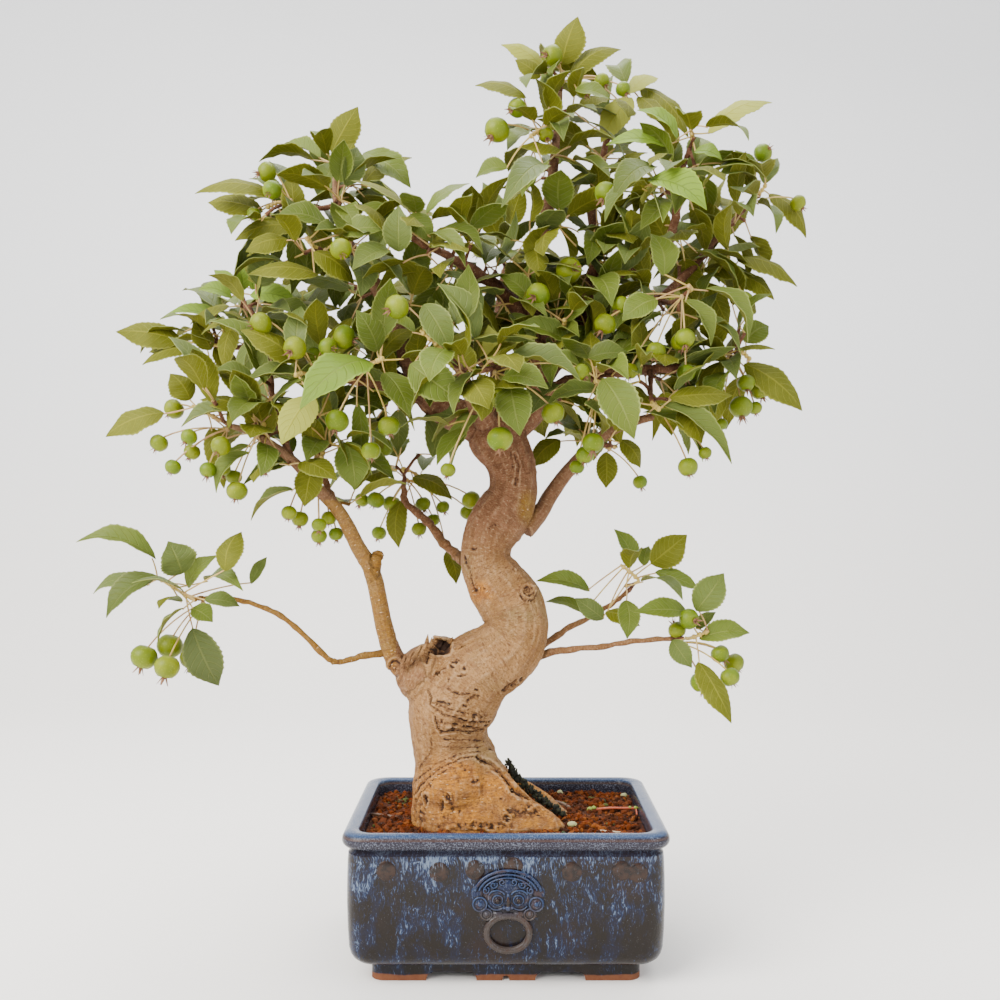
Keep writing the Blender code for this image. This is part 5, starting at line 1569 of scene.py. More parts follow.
class BONSAI_OT_apples(bpy.types.Operator):
    """Model one apple with its sepals, and hang every bunch from copies of it"""

    bl_idname = "bonsai.apples"
    bl_label = "Hang the apples"

    def execute(self, context):
        settings = context.scene.bonsai_apples
        materials = (apple_material(settings), sepal_material(), stalk_material(context.scene.bonsai_leaves))
        apple = apple_pattern()
        tuft = sepal_pattern()
        stalk = stalk_pattern()
        _, ways = wood_lines()
        bunches = {bunch.name: find_bunch(bunch, ways[bunch.spray]) for bunch in BUNCHES}
        for across, down, diameter in MORE_APPLES:
            bunch = min(BUNCHES, key=lambda bunch: min(math.hypot(across - x, down - y)
                                                       for x, y, _, _ in bunch.apples))
            bud, apples = bunches[bunch.name]
            radius = diameter / 2 * MM
            depth = (bud.y / MM - POT_MIDDLE[1]) + random.Random(f"{across} {down}").uniform(-14, 4)
            apples.append((clear_place(across, down, depth, radius, bunches), radius))
        for name, (bud, apples) in bunches.items():
            rng = random.Random(name + " apples")
            pieces = [ball("bud", bud, Vector(BUD_RADII) * MM, segments=8, rings=6)]
            dress(pieces[0], *materials)
            use_material(pieces[0], 2)
            set_tone(pieces[0].data, (0.2, 0.0, 0.0, 1.0))
            for centre, radius in apples:
                pieces += hang_apple(apple, tuft, stalk, bud, centre, radius, rng, materials)
            bunch = join(pieces, "bunch_" + name)
            smooth(bunch, 60)
            finish_piece(bunch, "apple", "apples_" + name)
        for pattern in (apple, tuft, stalk):
            bpy.data.objects.remove(pattern)
        return {"FINISHED"}


def clear_place(across, down, depth, radius, bunches):
    """A place for an apple at this spot of the picture, at the nearest free depth."""
    for step in range(DEPTH_TRIES):
        shift = (step + 1) // 2 * (1 if step % 2 else -1) * DEPTH_STEP
        centre = at_view(across, down, depth + shift)
        if all((centre - other).length > radius + size + APPLE_GAP * MM for _, apples in bunches.values()
               for other, size in apples):
            return centre
    raise RuntimeError(f"no room for the apple at {across}, {down}")


def hang_apple(apple, tuft, stalk, bud, centre, radius, rng, materials):
    """Copies of the apple, its sepals and its stalk, placed for one apple of a bunch."""
    axis = (apple_axis(bud, centre) + Vector((0, -0.2, -0.7))).normalized()
    turn = axis.to_track_quat("Z", "X").to_matrix().to_4x4()
    place = Matrix.Translation(centre) @ turn @ Matrix.Rotation(rng.uniform(0, 6), 4, "Z")
    swell = Matrix.Diagonal((radius * rng.uniform(0.95, 1.0), radius * rng.uniform(0.95, 1.0), radius, 1.0))
    pieces = []
    for index, pattern in enumerate((apple, tuft)):
        piece = copy_of(pattern, "apple_piece")
        size = Matrix.Scale(radius * rng.uniform(0.9, 1.15), 4) if index else swell
        piece.data.transform(place @ size)
        dress(piece, *materials)
        use_material(piece, index)
        set_tone(piece.data, (rng.random(), rng.random(), 0.0, 1.0))
        pieces.append(piece)
    into = centre - axis * radius * 0.72
    through = bud.lerp(into, 0.55) + Vector((0, 0, 0.16)) * (into - bud).length
    thin = bent_stalk(stalk, "stalk", bud, through, into, *(radius * MM for radius in APPLE_STALK))
    dress(thin, *materials)
    use_material(thin, 2)
    set_tone(thin.data, (rng.random(), 0.6, 0.0, 1.0))
    return [*pieces, thin]


# Wood


class BONSAI_OT_wood(bpy.types.Operator):
    """Grow the trunk, its root base, branches and twigs as one piece with cracked bark"""

    bl_idname = "bonsai.wood"
    bl_label = "Grow the wood"

    def execute(self, context):
        settings = context.scene.bonsai_wood
        lines, _ = wood_lines()
        rng = random.Random("wood")
        thick = [loft("base", [base_ring(z, 0.0, scale, shift, 4) for z, scale, shift in BASE_RINGS])]
        thin = []
        for name, line in lines:
            if max(radius for _, radius in line) >= THICK_LIMB * MM:
                thick.append(tube(name, line, 4))
            else:
                thin.append(tube(name, knobbly(line, rng), 2))
        thick.append(tube("back_root", smoothed(line_in_metres(BACK_ROOT), LINE_STEPS), 3))
        slivers = []
        for foot, tip, radius in SLIVERS:
            foot, tip = at_view(*foot), at_view(*tip)
            slivers.append(tube("sliver", [(foot, radius * MM), (foot.lerp(tip, 0.6), radius * 0.6 * MM),
                                           (tip, 0.2 * MM)], 0))
            set_tone(slivers[-1].data, (0.36, 0.0, 0.0, 0.0))
        for across, down, depth, *radii in SWELLINGS:
            thick.append(ball("swelling", at_view(across, down, depth), Vector(radii) * MM))
        for _, _, spurs in leaf_layout().values():
            for start, end, _ in spurs:
                bend = start.lerp(end, 0.6) + Vector((0, 0, 0.06)) * (end - start).length
                radii = [radius * MM for radius in SPUR_RADII]
                thin.append(tube("spur", list(zip((start, bend, end), radii)), 1))
        wood = join(thick, "wood")
        wood.data.remesh_voxel_size = settings.grain
        bpy.ops.object.voxel_remesh()
        apply_modifier(wood, "SMOOTH", factor=0.5, iterations=3)
        carve_bark(wood, lines, settings)
        apply_modifier(wood, "DECIMATE", ratio=settings.kept)
        slivers += fissures(wood)
        for piece in thin:
            set_tone(piece.data, (PLAIN, 0.0, 0.0, 0.0))
        wood = join([wood, *thin, *slivers], "wood")
        paint_bark(wood, lines)
        dress(wood, bark_material(settings))
        moss = dark_moss()
        dress(moss, wood.data.materials[0], dark_moss_material())
        use_material(moss, 1)
        wood = join([wood, moss], "wood")
        smooth(wood)
        finish_piece(wood, "bark", "trunk")
        return {"FINISHED"}


def fissures(wood):
    """Thin dark cords in the bark, partly painted shade: along each crack, beside it, and as fine wrinkles
    round the trunk.
    """
    rng = random.Random("fissures")
    seen = []
    for line, width, _ in CRACKS:
        path = [spot for spot, _ in smoothed([(Vector((*spot, 0.0)), 0.0) for spot in line], 5)]
        seen.append((path, 0.3 * width, 0.58))
        for _ in range(4):
            start, stop = rng.randrange(len(path) // 3), len(path) - rng.randrange(len(path) // 3)
            aside = Vector((rng.uniform(-1.5, 1.5), rng.choice((-1, 1)) * rng.uniform(1.3, 4.0), 0.0))
            seen.append(([spot + aside for spot in path[start:stop]], 0.17, 0.44))
    course = smoothed([(Vector((x, y, 0.0)), radius) for x, y, _, radius in TRUNK_LINE], 12)
    for _ in range(WRINKLES):
        index = rng.randrange(12, len(course) - 1)
        (here, radius), ahead = course[index], course[index + 1][0]
        along = (ahead - here).normalized()
        out = Vector((-along.y, along.x, 0.0))
        middle, reach = rng.uniform(-1.0, 1.0) * radius, rng.uniform(2.5, 9.0)
        bow = rng.uniform(0.02, 0.07)
        path = []
        for share in np.linspace(-1, 1, 9):
            rise = bow * reach * share * share + rng.gauss(0, 0.25)
            path.append(here + out * (middle + reach * share) + along * rise)
        seen.append((path, rng.uniform(0.1, 0.22), rng.choice((0.36, 0.44))))
    cords = {}
    for path, radius, shade in seen:
        cord = []
        for spot in path:
            eye = at_view(spot.x + rng.gauss(0, 0.3), spot.y + rng.gauss(0, 0.3), -SIGHT)
            hit, place, _, _ = wood.ray_cast(eye, at_view(spot.x, spot.y, SIGHT) - eye)
            if hit and (not cord or (place - cord[-1][0]).length < CORD_JUMP * MM):
                cord.append((place, radius * rng.uniform(0.6, 1.3) * MM))
        if len(cord) > 3:
            cord[0] = (cord[0][0], CORD_END * MM)
            cord[-1] = (cord[-1][0], CORD_END * MM)
            cords.setdefault(shade, []).append(cord)
    made = []
    for shade, (first, *others) in cords.items():
        made.append(tube("fissure", first, 0, *others))
        set_tone(made[-1].data, (shade, 0.0, 0.0, 0.0))
    return made


def dark_moss():
    """Tufts of black moss in the gap between the root base and the root behind it."""
    rng = random.Random("dark moss")
    bpy.ops.mesh.primitive_ico_sphere_add(subdivisions=1, radius=1.0)
    pattern = named("tuft")
    places = []
    for _ in range(DARK_TUFTS):
        share = rng.uniform(0, len(DARK_MOSS) - 1.001)
        start, end = DARK_MOSS[int(share)], DARK_MOSS[int(share) + 1]
        spot = [low + (high - low) * (share % 1) + max(-4.0, min(4.0, rng.gauss(0, 1.9)))
                for low, high in zip(start, end)]
        size = rng.uniform(0.5, 1.4) * MM
        shape = Matrix.Diagonal((size, size * 0.8, size * rng.uniform(0.8, 1.8), 1.0))
        turn = Matrix.Rotation(rng.uniform(-0.6, 0.6), 4, "Y")
        places.append(Matrix.Translation(at_view(*spot)) @ turn @ shape)
    moss = scatter("dark_moss", pattern, places)
    set_tone(moss.data, (0.0, 0.0, 0.0, 0.0))
    return moss


def hollowness(mesh, passes):
    """How hollow the skin lies at each point: above 0 in a groove, below 0 on a ridge."""
    ends = np.empty(len(mesh.edges) * 2, np.int32)
    mesh.edges.foreach_get("vertices", ends)
    first, second = ends.reshape(-1, 2).T
    spots = coordinates(mesh)
    size = len(spots)
    count = np.bincount(ends, minlength=size)

    def around(values):
        total = np.bincount(first, values[second], size) + np.bincount(second, values[first], size)
        return total / np.maximum(count, 1)

    lean = np.stack([around(spots[:, axis]) for axis in range(3)], axis=1) - spots
    edge = np.linalg.norm(spots[first] - spots[second], axis=1).mean()
    hollow = np.einsum("ij,ij->i", lean, normals(mesh)) / edge
    for _ in range(passes):
        hollow = 0.5 * hollow + 0.5 * around(hollow)
    return hollow


def grain_of(spots, frames):
    """For each point: its place in the grain of the wood (round and along it), local radius and kind."""
    tree, places, axes, radii, lengths, kinds = frames
    index = np.array([min(tree.find_n(spot, 20), key=lambda found: found[2] - radii[found[1]])[1]
                      for spot in spots])
    away = spots - places[index]
    local = np.einsum("nij,nj->ni", axes[index], away)
    local[:, 2] += lengths[index]
    return local / MM, radii[index] / MM, kinds[index]


def carve_bark(wood, lines, settings):
    """Presses cracks, scars and a fibrous grain into the wood; its cracks and grooves are painted dark,
    partly as painted shade, and its ridges get a painted highlight.
    """
    mesh = wood.data
    spots = coordinates(mesh)
    ways = normals(mesh)
    grain, radius, _ = grain_of(spots, grain_frames(lines))
    stretched = grain * np.array((1.0, 1.0, 0.4))
    broad = fractal(spots / MM / 14.0, 3, 1)
    fine = fractal(stretched / 3.2, 3, 2)
    wrinkles = fractal(grain * np.array((0.22, 0.22, 1.0)) / 1.9, 2, 4)
    cracks = ease(-np.abs(fractal(stretched / 7.5, 2, 3)), -0.035, 0.0) * ease(broad, 0.05, 0.35)
    size = np.clip(radius / 22.0, 0.1, 1.0)
    lift = size * (0.55 * broad + 0.2 * fine + 0.2 * wrinkles - 0.3 * cracks)
    across, down = in_view(spots[:, 0], spots[:, 1], spots[:, 2])
    front = ease(-ways[:, 1], 0.05, 0.4)
    # The tone's first value: dark in cracks, scars, knots, rough patches and the stub's hollow, partly the
    # bark's own dark and partly painted shade in these recesses
    crevice_dark_and_shade = 0.5 * cracks * size
    ragged = fractal(spots / MM / 1.7, 2, 5)
    stray_across = across + 1.2 * fine + 1.4 * broad + 0.8 * ragged
    stray_down = down + 1.2 * wrinkles - 1.4 * broad - 0.8 * ragged
    for line, width, depth in CRACKS:
        away = line_distance(stray_across, stray_down, line)
        press = hump(away, 0.0, width) * front * (0.55 + 0.45 * ease(broad + ragged, -0.3, 0.1))
        rim = hump(away, 2.2 * width, width) * front
        lift += depth * (-press + 0.4 * rim)
        crevice_dark_and_shade = np.maximum(crevice_dark_and_shade, 0.9 * press)
    for x, y, rx, ry, depth in SCARS:
        away = oval(stray_across, stray_down, x, y, rx, ry) + 0.55 * ragged
        press = ease(-away, -1.0, -0.45) * front
        rim = hump(away, 1.15, 0.3) * front
        lift += depth * (-0.8 * press + 0.35 * rim)
        crevice_dark_and_shade = np.maximum(crevice_dark_and_shade, press * min(1.0, 0.34 + depth / 3.4))
    x, y, rx, ry, depth = HOLLOW
    away = (np.abs((across + 0.5 * ragged - x) / rx) ** 4 + np.abs((down - y) / ry) ** 4) ** 0.25
    inside = ease(-away, -1.05, -0.75) * (spots[:, 1] < 0)
    lift += -depth * inside * ease(-ways[:, 1], 0.3, 0.75) + 1.3 * hump(away, 1.2, 0.16) * front
    crevice_dark_and_shade = np.maximum(crevice_dark_and_shade, inside)
    for x, y, rx, ry, depth in KNOTS:
        away = oval(stray_across, stray_down, x, y, rx, ry)
        inside = ease(-away, -1.2, -0.9) * front
        rings = np.cos(away * 14.0)
        lift += depth * (hump(away, 0.95, 0.26) * front + inside * (0.2 * rings - 0.3))
        edge = hump(away, 1.25, 0.14) * front
        shade = inside * (0.2 + 0.45 * ease(-rings, 0.0, 1.0))
        crevice_dark_and_shade = np.maximum(crevice_dark_and_shade, np.maximum(edge * 0.5, shade))
    for x, y, rx, ry in ROUGH:
        inside = ease(-oval(stray_across, stray_down, x, y, rx, ry), -1.15, -0.3) * front
        flakes = ease(fine + 0.6 * wrinkles, -0.1, 0.2)
        lift += inside * (1.2 * flakes - 0.5)
        crevice_dark_and_shade = np.maximum(crevice_dark_and_shade, inside * (0.5 - 0.28 * flakes))
    rng = random.Random("back scars")
    for _ in range(BACK_SCARS):
        place = spots[rng.randrange(len(spots))]
        reach = rng.uniform(2.0, 5.0) * MM
        away = np.linalg.norm(spots - place, axis=1) / reach
        press = ease(-away, -1.0, -0.4) * (1 - front)
        rim = hump(away, 1.2, 0.3) * (1 - front)
        lift += size * 1.2 * (-press + 0.5 * rim)
        crevice_dark_and_shade = np.maximum(crevice_dark_and_shade, press * 0.7)
    set_coordinates(mesh, spots + ways * (lift * settings.depth)[:, None] * MM)
    values = np.zeros((len(spots), 4))
    # Painted shade in grooves and a painted highlight on ridges, from how hollow the carved skin lies, go
    # into the tone
    values[:, 0] = np.clip(PLAIN + crevice_dark_and_shade * (1 - PLAIN) + 1.6 * hollowness(mesh, 2), 0.0, 1.0)
    set_tone(mesh, values)


def paint_bark(wood, lines):
    """Gives each point its crack tone (dark cracks, painted shade in grooves, painted highlight on ridges),
    age, ochre and darkness, and its place in the wood's grain.
    """
    mesh = wood.data
    spots = coordinates(mesh)
    grain, radius, kind = grain_of(spots, grain_frames(lines))
    held = np.empty(len(spots) * 4, np.float32)
    mesh.color_attributes["tone"].data.foreach_get("color", held)
    crevice_dark_and_shade = held.reshape(-1, 4)[:, 0]
    across, down = in_view(spots[:, 0], spots[:, 1], spots[:, 2])
    ochre = np.zeros(len(spots))
    for patch in OCHRE_PATCHES:
        ochre = np.maximum(ochre, ease(-oval(across, down, *patch), -1.1, -0.3))
    low = ease(-spots[:, 2] / MM, -135.0, -105.0)
    ochre = np.maximum(ochre, low * 0.8) * (1 - 0.75 * ease(spots[:, 1] / MM, -4.0, 1.0))
    height = spots[:, 2] / MM
    kind = np.maximum(kind, 0.8 * ease(height, 255.0, 300.0) + 0.14 * ease(height, 310.0, 375.0))
    bough = (across < 396) & (down > 500)
    ochre = np.where(bough, ease(-radius, -9.0, -6.5), ochre)
    kind = np.where(bough, 0.68 * ease(-radius, -9.0, -6.5), kind)
    set_tone(mesh, np.stack([crevice_dark_and_shade, ease(radius, 3.0, 14.0), ochre, kind], axis=1))
    along = mesh.attributes.new("grain", "FLOAT_VECTOR", "POINT")
    along.data.foreach_set("vector", (grain * MM).astype(np.float32).ravel())


# Pot and ground


class BONSAI_OT_pot(bpy.types.Operator):
    """Throw the glazed pot with its lip, feet, drain holes, studs, mask and ring"""

    bl_idname = "bonsai.pot"
    bl_label = "Throw the pot"

    def execute(self, context):
        settings = context.scene.bonsai_pot
        rings = [rounded_ring(FOOT_INSET + FOOT_WALL, height) for height in (SOLE_HEIGHT, 0.0)]
        rings += [rounded_ring(inset, height) for inset, height in POT_OUTSIDE + POT_INSIDE]
        pot = loft("pot_body", rings)
        dress(pot, glaze_material(settings))
        arch_end = POT_HALF_WIDTH - FOOT_INSET - CORNER_FOOT
        cutters = []
        for side in (-1, 1):
            low, high = sorted((side * MIDDLE_FOOT, side * arch_end))
            cutters.append(cutter("arch", (low, -POT_HALF_DEPTH, -FOOT_ARCH_HEIGHT),
                                  (high, POT_HALF_DEPTH, FOOT_ARCH_HEIGHT), ARCH_ROUND))
            bpy.ops.mesh.primitive_cylinder_add(vertices=DRAIN_SIDES, radius=DRAIN_RADIUS * MM,
                                                depth=2 * FLOOR_HEIGHT * MM,
                                                location=pot_point(side * DRAIN_APART, 0, FLOOR_HEIGHT))
            cutters.append(named("drain"))
        cutters.append(cutter("notch", (-MIDDLE_NOTCH, -POT_HALF_DEPTH, -MIDDLE_NOTCH_HEIGHT),
                              (MIDDLE_NOTCH, POT_HALF_DEPTH, MIDDLE_NOTCH_HEIGHT), NOTCH_ROUND))
        cutters.append(cutter("side_arch", (-POT_HALF_WIDTH, -SIDE_ARCH, -FOOT_ARCH_HEIGHT),
                              (POT_HALF_WIDTH, SIDE_ARCH, FOOT_ARCH_HEIGHT), ARCH_ROUND))
        cut(pot, cutters)
        smooth(pot, 35)
        set_tone(pot.data, (0.0, 0.0, 0.0, 1.0))
        relief = mask_relief()
        # The mask's tone: painted shade in its hollows and a painted highlight on its ridges, from how hollow
        # its skin lies
        shade = np.zeros((len(relief.data.vertices), 4))
        shade[:, 0] = np.clip(0.5 + 4.0 * hollowness(relief.data, 2), 0.0, 1.0)
        set_tone(relief.data, shade)
        dress(relief, glaze_material(settings, raised=True))
        smooth(relief)
        studs = []
        x, z, radius, out = MASK_BEADS[0]
        for side in (-1, 1):
            eye = pot_point(MASK_MIDDLE + side * x, MASK_WALL - out - 0.3, z)
            studs.append(ball("eye", eye, Vector((radius * 0.8,) * 3) * MM))
        nose = pot_point(MASK_MIDDLE, MASK_WALL - NOSE_OUT, NOSE_HEIGHT)
        studs.append(ball("nose", nose, Vector(NOSE_RADII) * MM))
        for across, down in STUDS:
            place = at_view(across, down, MASK_WALL)
            radii = Vector((settings.stud_width / 2, STUD_DEPTH * MM, settings.stud_width / 2))
            studs.append(ball("stud", place, radii, segments=32, rings=16))
        studs = join(studs, "studs")
        set_tone(studs.data, (0.0, 0.0, 0.0, 1.0))
        dress(studs, stud_material())
        smooth(studs)
        pot = join([pot, relief, studs], "glazed_pot")
        finish_piece(pot, "glazed_clay", "pot")
        return {"FINISHED"}


class BONSAI_OT_ground(bpy.types.Operator):
    """Fill the pot with grainy soil, crumbs, moss and litter"""

    bl_idname = "bonsai.ground"
    bl_label = "Fill the pot"

    def execute(self, context):
        settings = context.scene.bonsai_ground
        rings = [rounded_ring(16.0 + SOIL_CLEARANCE, FLOOR_HEIGHT + 0.3),
                 rounded_ring(12.0 + SOIL_CLEARANCE, 60.0)]
        for step in range(SOIL_RINGS):
            ring = rounded_ring(11.2 + SOIL_CLEARANCE, 0.0, 1 - step / SOIL_RINGS)
            for point in ring:
                height = soil_height(point.x / MM - POT_MIDDLE[0], point.y / MM - POT_MIDDLE[1])
                bumps = noise.fractal(point / MM / 5.0, 0.9, 2.1, 4)
                point.z = (height + settings.roughness * bumps) * MM
            rings.append(ring)
        soil = loft("soil_body", rings)
        hole = loft("hole", [base_ring(height, HOLE_GAP) for height in (BASE_BOTTOM - 0.3, HOLE_TOP)])
        cut(soil, [hole])
        dress(soil, soil_material(settings), moss_material(settings))
        smooth(soil, 70)
        crumbs = self.crumbs(settings)
        moss = self.moss(settings)
        litter = self.litter()
        ground = join([soil, crumbs, moss, *litter], "potting_soil")
        finish_piece(ground, "soil", "soil")
        return {"FINISHED"}

    def spots_on_soil(self, rng, count):
        made = []
        while len(made) < count:
            x = rng.uniform(-1, 1) * (POT_HALF_WIDTH - SOIL_MARGIN)
            y = rng.uniform(-1, 1) * (POT_HALF_DEPTH - SOIL_MARGIN)
            if over_base(x, y) > 1.2:
                made.append((x, y, soil_height(x, y)))
        return made

    def crumbs(self, settings):
        rng = random.Random("crumbs")
        bpy.ops.mesh.primitive_ico_sphere_add(subdivisions=1, radius=1.0)
        pattern = named("crumb")
        places = []
        for x, y, z in self.spots_on_soil(rng, settings.crumbs):
            size = rng.uniform(*CRUMB_SIZES) * rng.uniform(0.5, 1.0) * MM
            shape = Matrix.Diagonal((size, size * rng.uniform(0.6, 1.0), size * rng.uniform(0.5, 0.9), 1.0))
            places.append(Matrix.Translation(pot_point(x, y, z + size / MM * 0.3)) @ random_turn(rng) @ shape)
        crumbs = scatter("crumbs", pattern, places)
        dress(crumbs, soil_material(settings, loose=True))
        return crumbs

    def moss(self, settings):
        """Small green tufts, most of them by the base, where the picture shows them."""
        rng = random.Random("moss")
        bpy.ops.mesh.primitive_ico_sphere_add(subdivisions=2, radius=1.0)
        pattern = named("tuft")
        places = []
        for across, down, depth, spread, count in MOSS_PATCHES:
            for _ in range(count):
                place = at_view(across + rng.gauss(0, spread), down, depth) / MM
                x, y = place.x - POT_MIDDLE[0], place.y - POT_MIDDLE[1] + rng.gauss(0, spread)
                beyond = max(abs(x) - POT_HALF_WIDTH, abs(y) - POT_HALF_DEPTH) + SOIL_MARGIN
                if beyond > 0 or over_base(x, y) < 0.8:
                    continue
                size = rng.uniform(0.8, 2.2) * MM
                shape = Matrix.Diagonal((size, size, size * 0.7, 1.0))
                place = Matrix.Translation(pot_point(x, y, soil_height(x, y) + 0.4))
                places.append(place @ random_turn(rng) @ shape)
        moss = scatter("moss", pattern, places)
        dress(moss, moss_material(settings))
        smooth(moss)
        return moss

    def litter(self):
        """Twigs, the red stem of a seedling and its buds, lying on the soil."""
        pieces = []
        for points, radius, kind in LITTER:
            line = [(over_soil(*point), radius * MM) for point in points]
            piece = tube("litter", smoothed(line, 4), 1)
            dress(piece, litter_material(kind))
            smooth(piece)
            pieces.append(piece)
        for point, wide, high, kind in BUDS:
            piece = ball("bud", over_soil(*point), Vector((wide, wide, high)) * MM, segments=12, rings=8)
            spots = coordinates(piece.data)
            lumps = fractal(spots / MM / 1.4, 2, 6)[:, None] * 0.5 * MM
            set_coordinates(piece.data, spots + normals(piece.data) * lumps)
            dress(piece, litter_material(kind))
            smooth(piece)
            pieces.append(piece)
        return pieces


# Finishes


def opaque(color):
    """A colour with its fourth value, for a socket; another socket stays as it is."""
    return color if isinstance(color, bpy.types.NodeSocket) else (*color, 1.0)


class Finish:
    """One procedural material, built node by node."""

    def __init__(self, name):
        self.material = bpy.data.materials.new(name)
        self.material.use_nodes = True
        self.tree = self.material.node_tree
        self.tree.nodes.clear()
        self.place = self.add("ShaderNodeTexCoord").outputs["Object"]

    def add(self, kind, inputs=None, **settings):
        node = self.tree.nodes.new(kind)
        for key, value in settings.items():
            setattr(node, key, value)
        for key, value in (inputs or {}).items():
            socket = node.inputs[key]
            if isinstance(value, bpy.types.NodeSocket):
                self.tree.links.new(value, socket)
            else:
                socket.default_value = value
        return node

    def math(self, operation, first, second=0.0):
        return self.add("ShaderNodeMath", {0: first, 1: second}, operation=operation).outputs[0]

    def times(self, first, second):
        return self.math("MULTIPLY", first, second)

    def plus(self, first, second):
        return self.math("ADD", first, second)

    def minus(self, first, second):
        return self.math("SUBTRACT", first, second)

    def mix(self, share, first, second, blend="MIX"):
        sockets = {0: share, 6: opaque(first), 7: opaque(second)}
        return self.add("ShaderNodeMix", sockets, data_type="RGBA", blend_type=blend).outputs[2]

    def layers(self, color, *layers):
        """Lays colours over the first one, each as far as its share says."""
        for share, over in layers:
            color = self.mix(share, color, over)
        return color

    def noise(self, scale, detail=3.0, vector=None, rough=0.55, color=False):
        inputs = {"Vector": vector or self.place, "Scale": scale, "Detail": detail, "Roughness": rough}
        return self.add("ShaderNodeTexNoise", inputs).outputs["Color" if color else "Fac"]

    def cells(self, scale, vector=None, feature="F1", output="Distance"):
        inputs = {"Vector": vector or self.place, "Scale": scale}
        return self.add("ShaderNodeTexVoronoi", inputs, feature=feature).outputs[output]

    def between(self, value, low, high, end=1.0, start=0.0):
        """The value, eased from start to end as it goes from low to high."""
        inputs = {"Value": value, "From Min": low, "From Max": high, "To Min": start, "To Max": end}
        return self.add("ShaderNodeMapRange", inputs, interpolation_type="SMOOTHSTEP").outputs[0]

    def stripe(self, value, rise, fall):
        """1 between a rise and a fall of the value, and 0 outside."""
        return self.times(self.between(value, *rise), self.between(value, *fall, 0.0, 1.0))

    def stretch(self, vector, x, y, z):
        return self.add("ShaderNodeVectorMath", {0: vector, 1: (x, y, z)}, operation="MULTIPLY").outputs[0]

    def split(self, vector):
        return self.add("ShaderNodeSeparateXYZ", {0: vector}).outputs

    def attribute(self, name):
        node = self.add("ShaderNodeAttribute", attribute_name=name)
        parts = self.add("ShaderNodeSeparateColor", {0: node.outputs["Color"]}).outputs
        return (*parts, node.outputs["Alpha"], node.outputs["Vector"])

    def bump(self, height, distance, strength=1.0, normal=None):
        inputs = {"Height": height, "Distance": distance, "Strength": strength}
        if normal:
            inputs["Normal"] = normal
        return self.add("ShaderNodeBump", inputs).outputs[0]

    def done(self, color, roughness, normal=None, glow=0.0, **extra):
        """Ends the material in a surface; glow is the share of light that comes through from behind."""
        inputs = {"Base Color": opaque(color), "Roughness": roughness}
        if normal:
            inputs["Normal"] = normal
        for key, value in extra.items():
            inputs[key.replace("_", " ")] = value
        surface = self.add("ShaderNodeBsdfPrincipled", inputs).outputs[0]
        if glow:
            through = self.add("ShaderNodeBsdfTranslucent", {"Color": inputs["Base Color"]}).outputs[0]
            surface = self.add("ShaderNodeMixShader", {0: glow, 1: surface, 2: through}).outputs[0]
        self.add("ShaderNodeOutputMaterial", {"Surface": surface})
        return self.material


def leaf_material(name, settings, under):
    """A leaf's upper or under side: its veins are drawn from its own coordinates."""
    finish = Finish(name)
    flat = finish.add("ShaderNodeTexCoord").outputs["UV"]
    share, across, _ = finish.split(flat)
    side = finish.minus(finish.times(across, 2.0), 1.0)
    away = finish.math("ABSOLUTE", side)
    bright, youth, pale, chance, _ = finish.attribute("tone")
    bend = finish.times(finish.math("POWER", away, 1.4), 0.22)
    half = finish.times(finish.math("GREATER_THAN", side, 0.0), 0.5)
    run = finish.plus(finish.times(finish.minus(share, bend), 8.5), half)
    ripple = finish.math("ABSOLUTE", finish.minus(finish.math("FRACT", run), 0.5))
    veins = finish.between(ripple, 0.0, 0.1, 0.0, 1.0)
    veins = finish.times(veins, finish.between(away, 0.75, 1.0, 0.2, 1.0))
    midrib = finish.between(away, 0.02, 0.085, 0.0, 1.0)
    veins = finish.math("MAXIMUM", veins, midrib)
    net = finish.cells(24.0, finish.stretch(flat, 2.6, 1.0, 1.0), "DISTANCE_TO_EDGE")
    net = finish.between(net, 0.0, 0.09, 0.0, 1.0)
    patches = finish.between(finish.noise(55.0, 3.0), 0.38, 0.66)
    rim = finish.between(away, 0.86, 0.97)
    if under:
        color = finish.layers(
            settings.under_color,
            (patches, (0.13, 0.138, 0.009)),
            (finish.times(bright, 0.45), (0.17, 0.165, 0.005)),
            (finish.times(pale, 0.75), (0.44, 0.45, 0.07)),
            (finish.times(net, 0.2), (0.36, 0.37, 0.07)),
            (finish.times(youth, 0.8), settings.young_color),
            (finish.times(veins, 0.45), (0.32, 0.3, 0.03)),
            (finish.times(rim, 0.5), (0.36, 0.36, 0.06)),
        )
        bumps = finish.bump(finish.plus(veins, finish.times(net, 0.15)), 0.0004, 0.7)
        return finish.done(color, 0.66, bumps, settings.glow, Specular_IOR_Level=0.2)
    color = finish.layers(
        settings.upper_color,
        (finish.times(patches, 0.35), (0.17, 0.2, 0.02)),
        (finish.between(chance, 0.55, 0.95, 0.5), (0.12, 0.155, 0.05)),
        (finish.times(net, 0.16), (0.2, 0.26, 0.05)),
        (finish.times(youth, 0.85), settings.young_color),
        (finish.times(pale, 0.5), (0.38, 0.44, 0.1)),
    )
    vein_color = finish.mix(youth, (0.3, 0.33, 0.07), (0.1, 0.17, 0.004))
    color = finish.layers(
        color,
        (finish.times(veins, finish.between(youth, 0.0, 1.0, 0.75, 0.4)), vein_color),
        (finish.times(rim, 0.5), finish.mix(youth, (0.4, 0.44, 0.11), (0.3, 0.42, 0.04))),
    )
    color = finish.mix(1.0, color, finish.mix(bright, (0.5, 0.5, 0.5), (1.15, 1.15, 1.15)), "MULTIPLY")
    height = finish.minus(finish.times(net, -0.12), veins)
    return finish.done(color, 0.5, finish.bump(height, 0.0005, 0.7), settings.glow, Specular_IOR_Level=0.3)


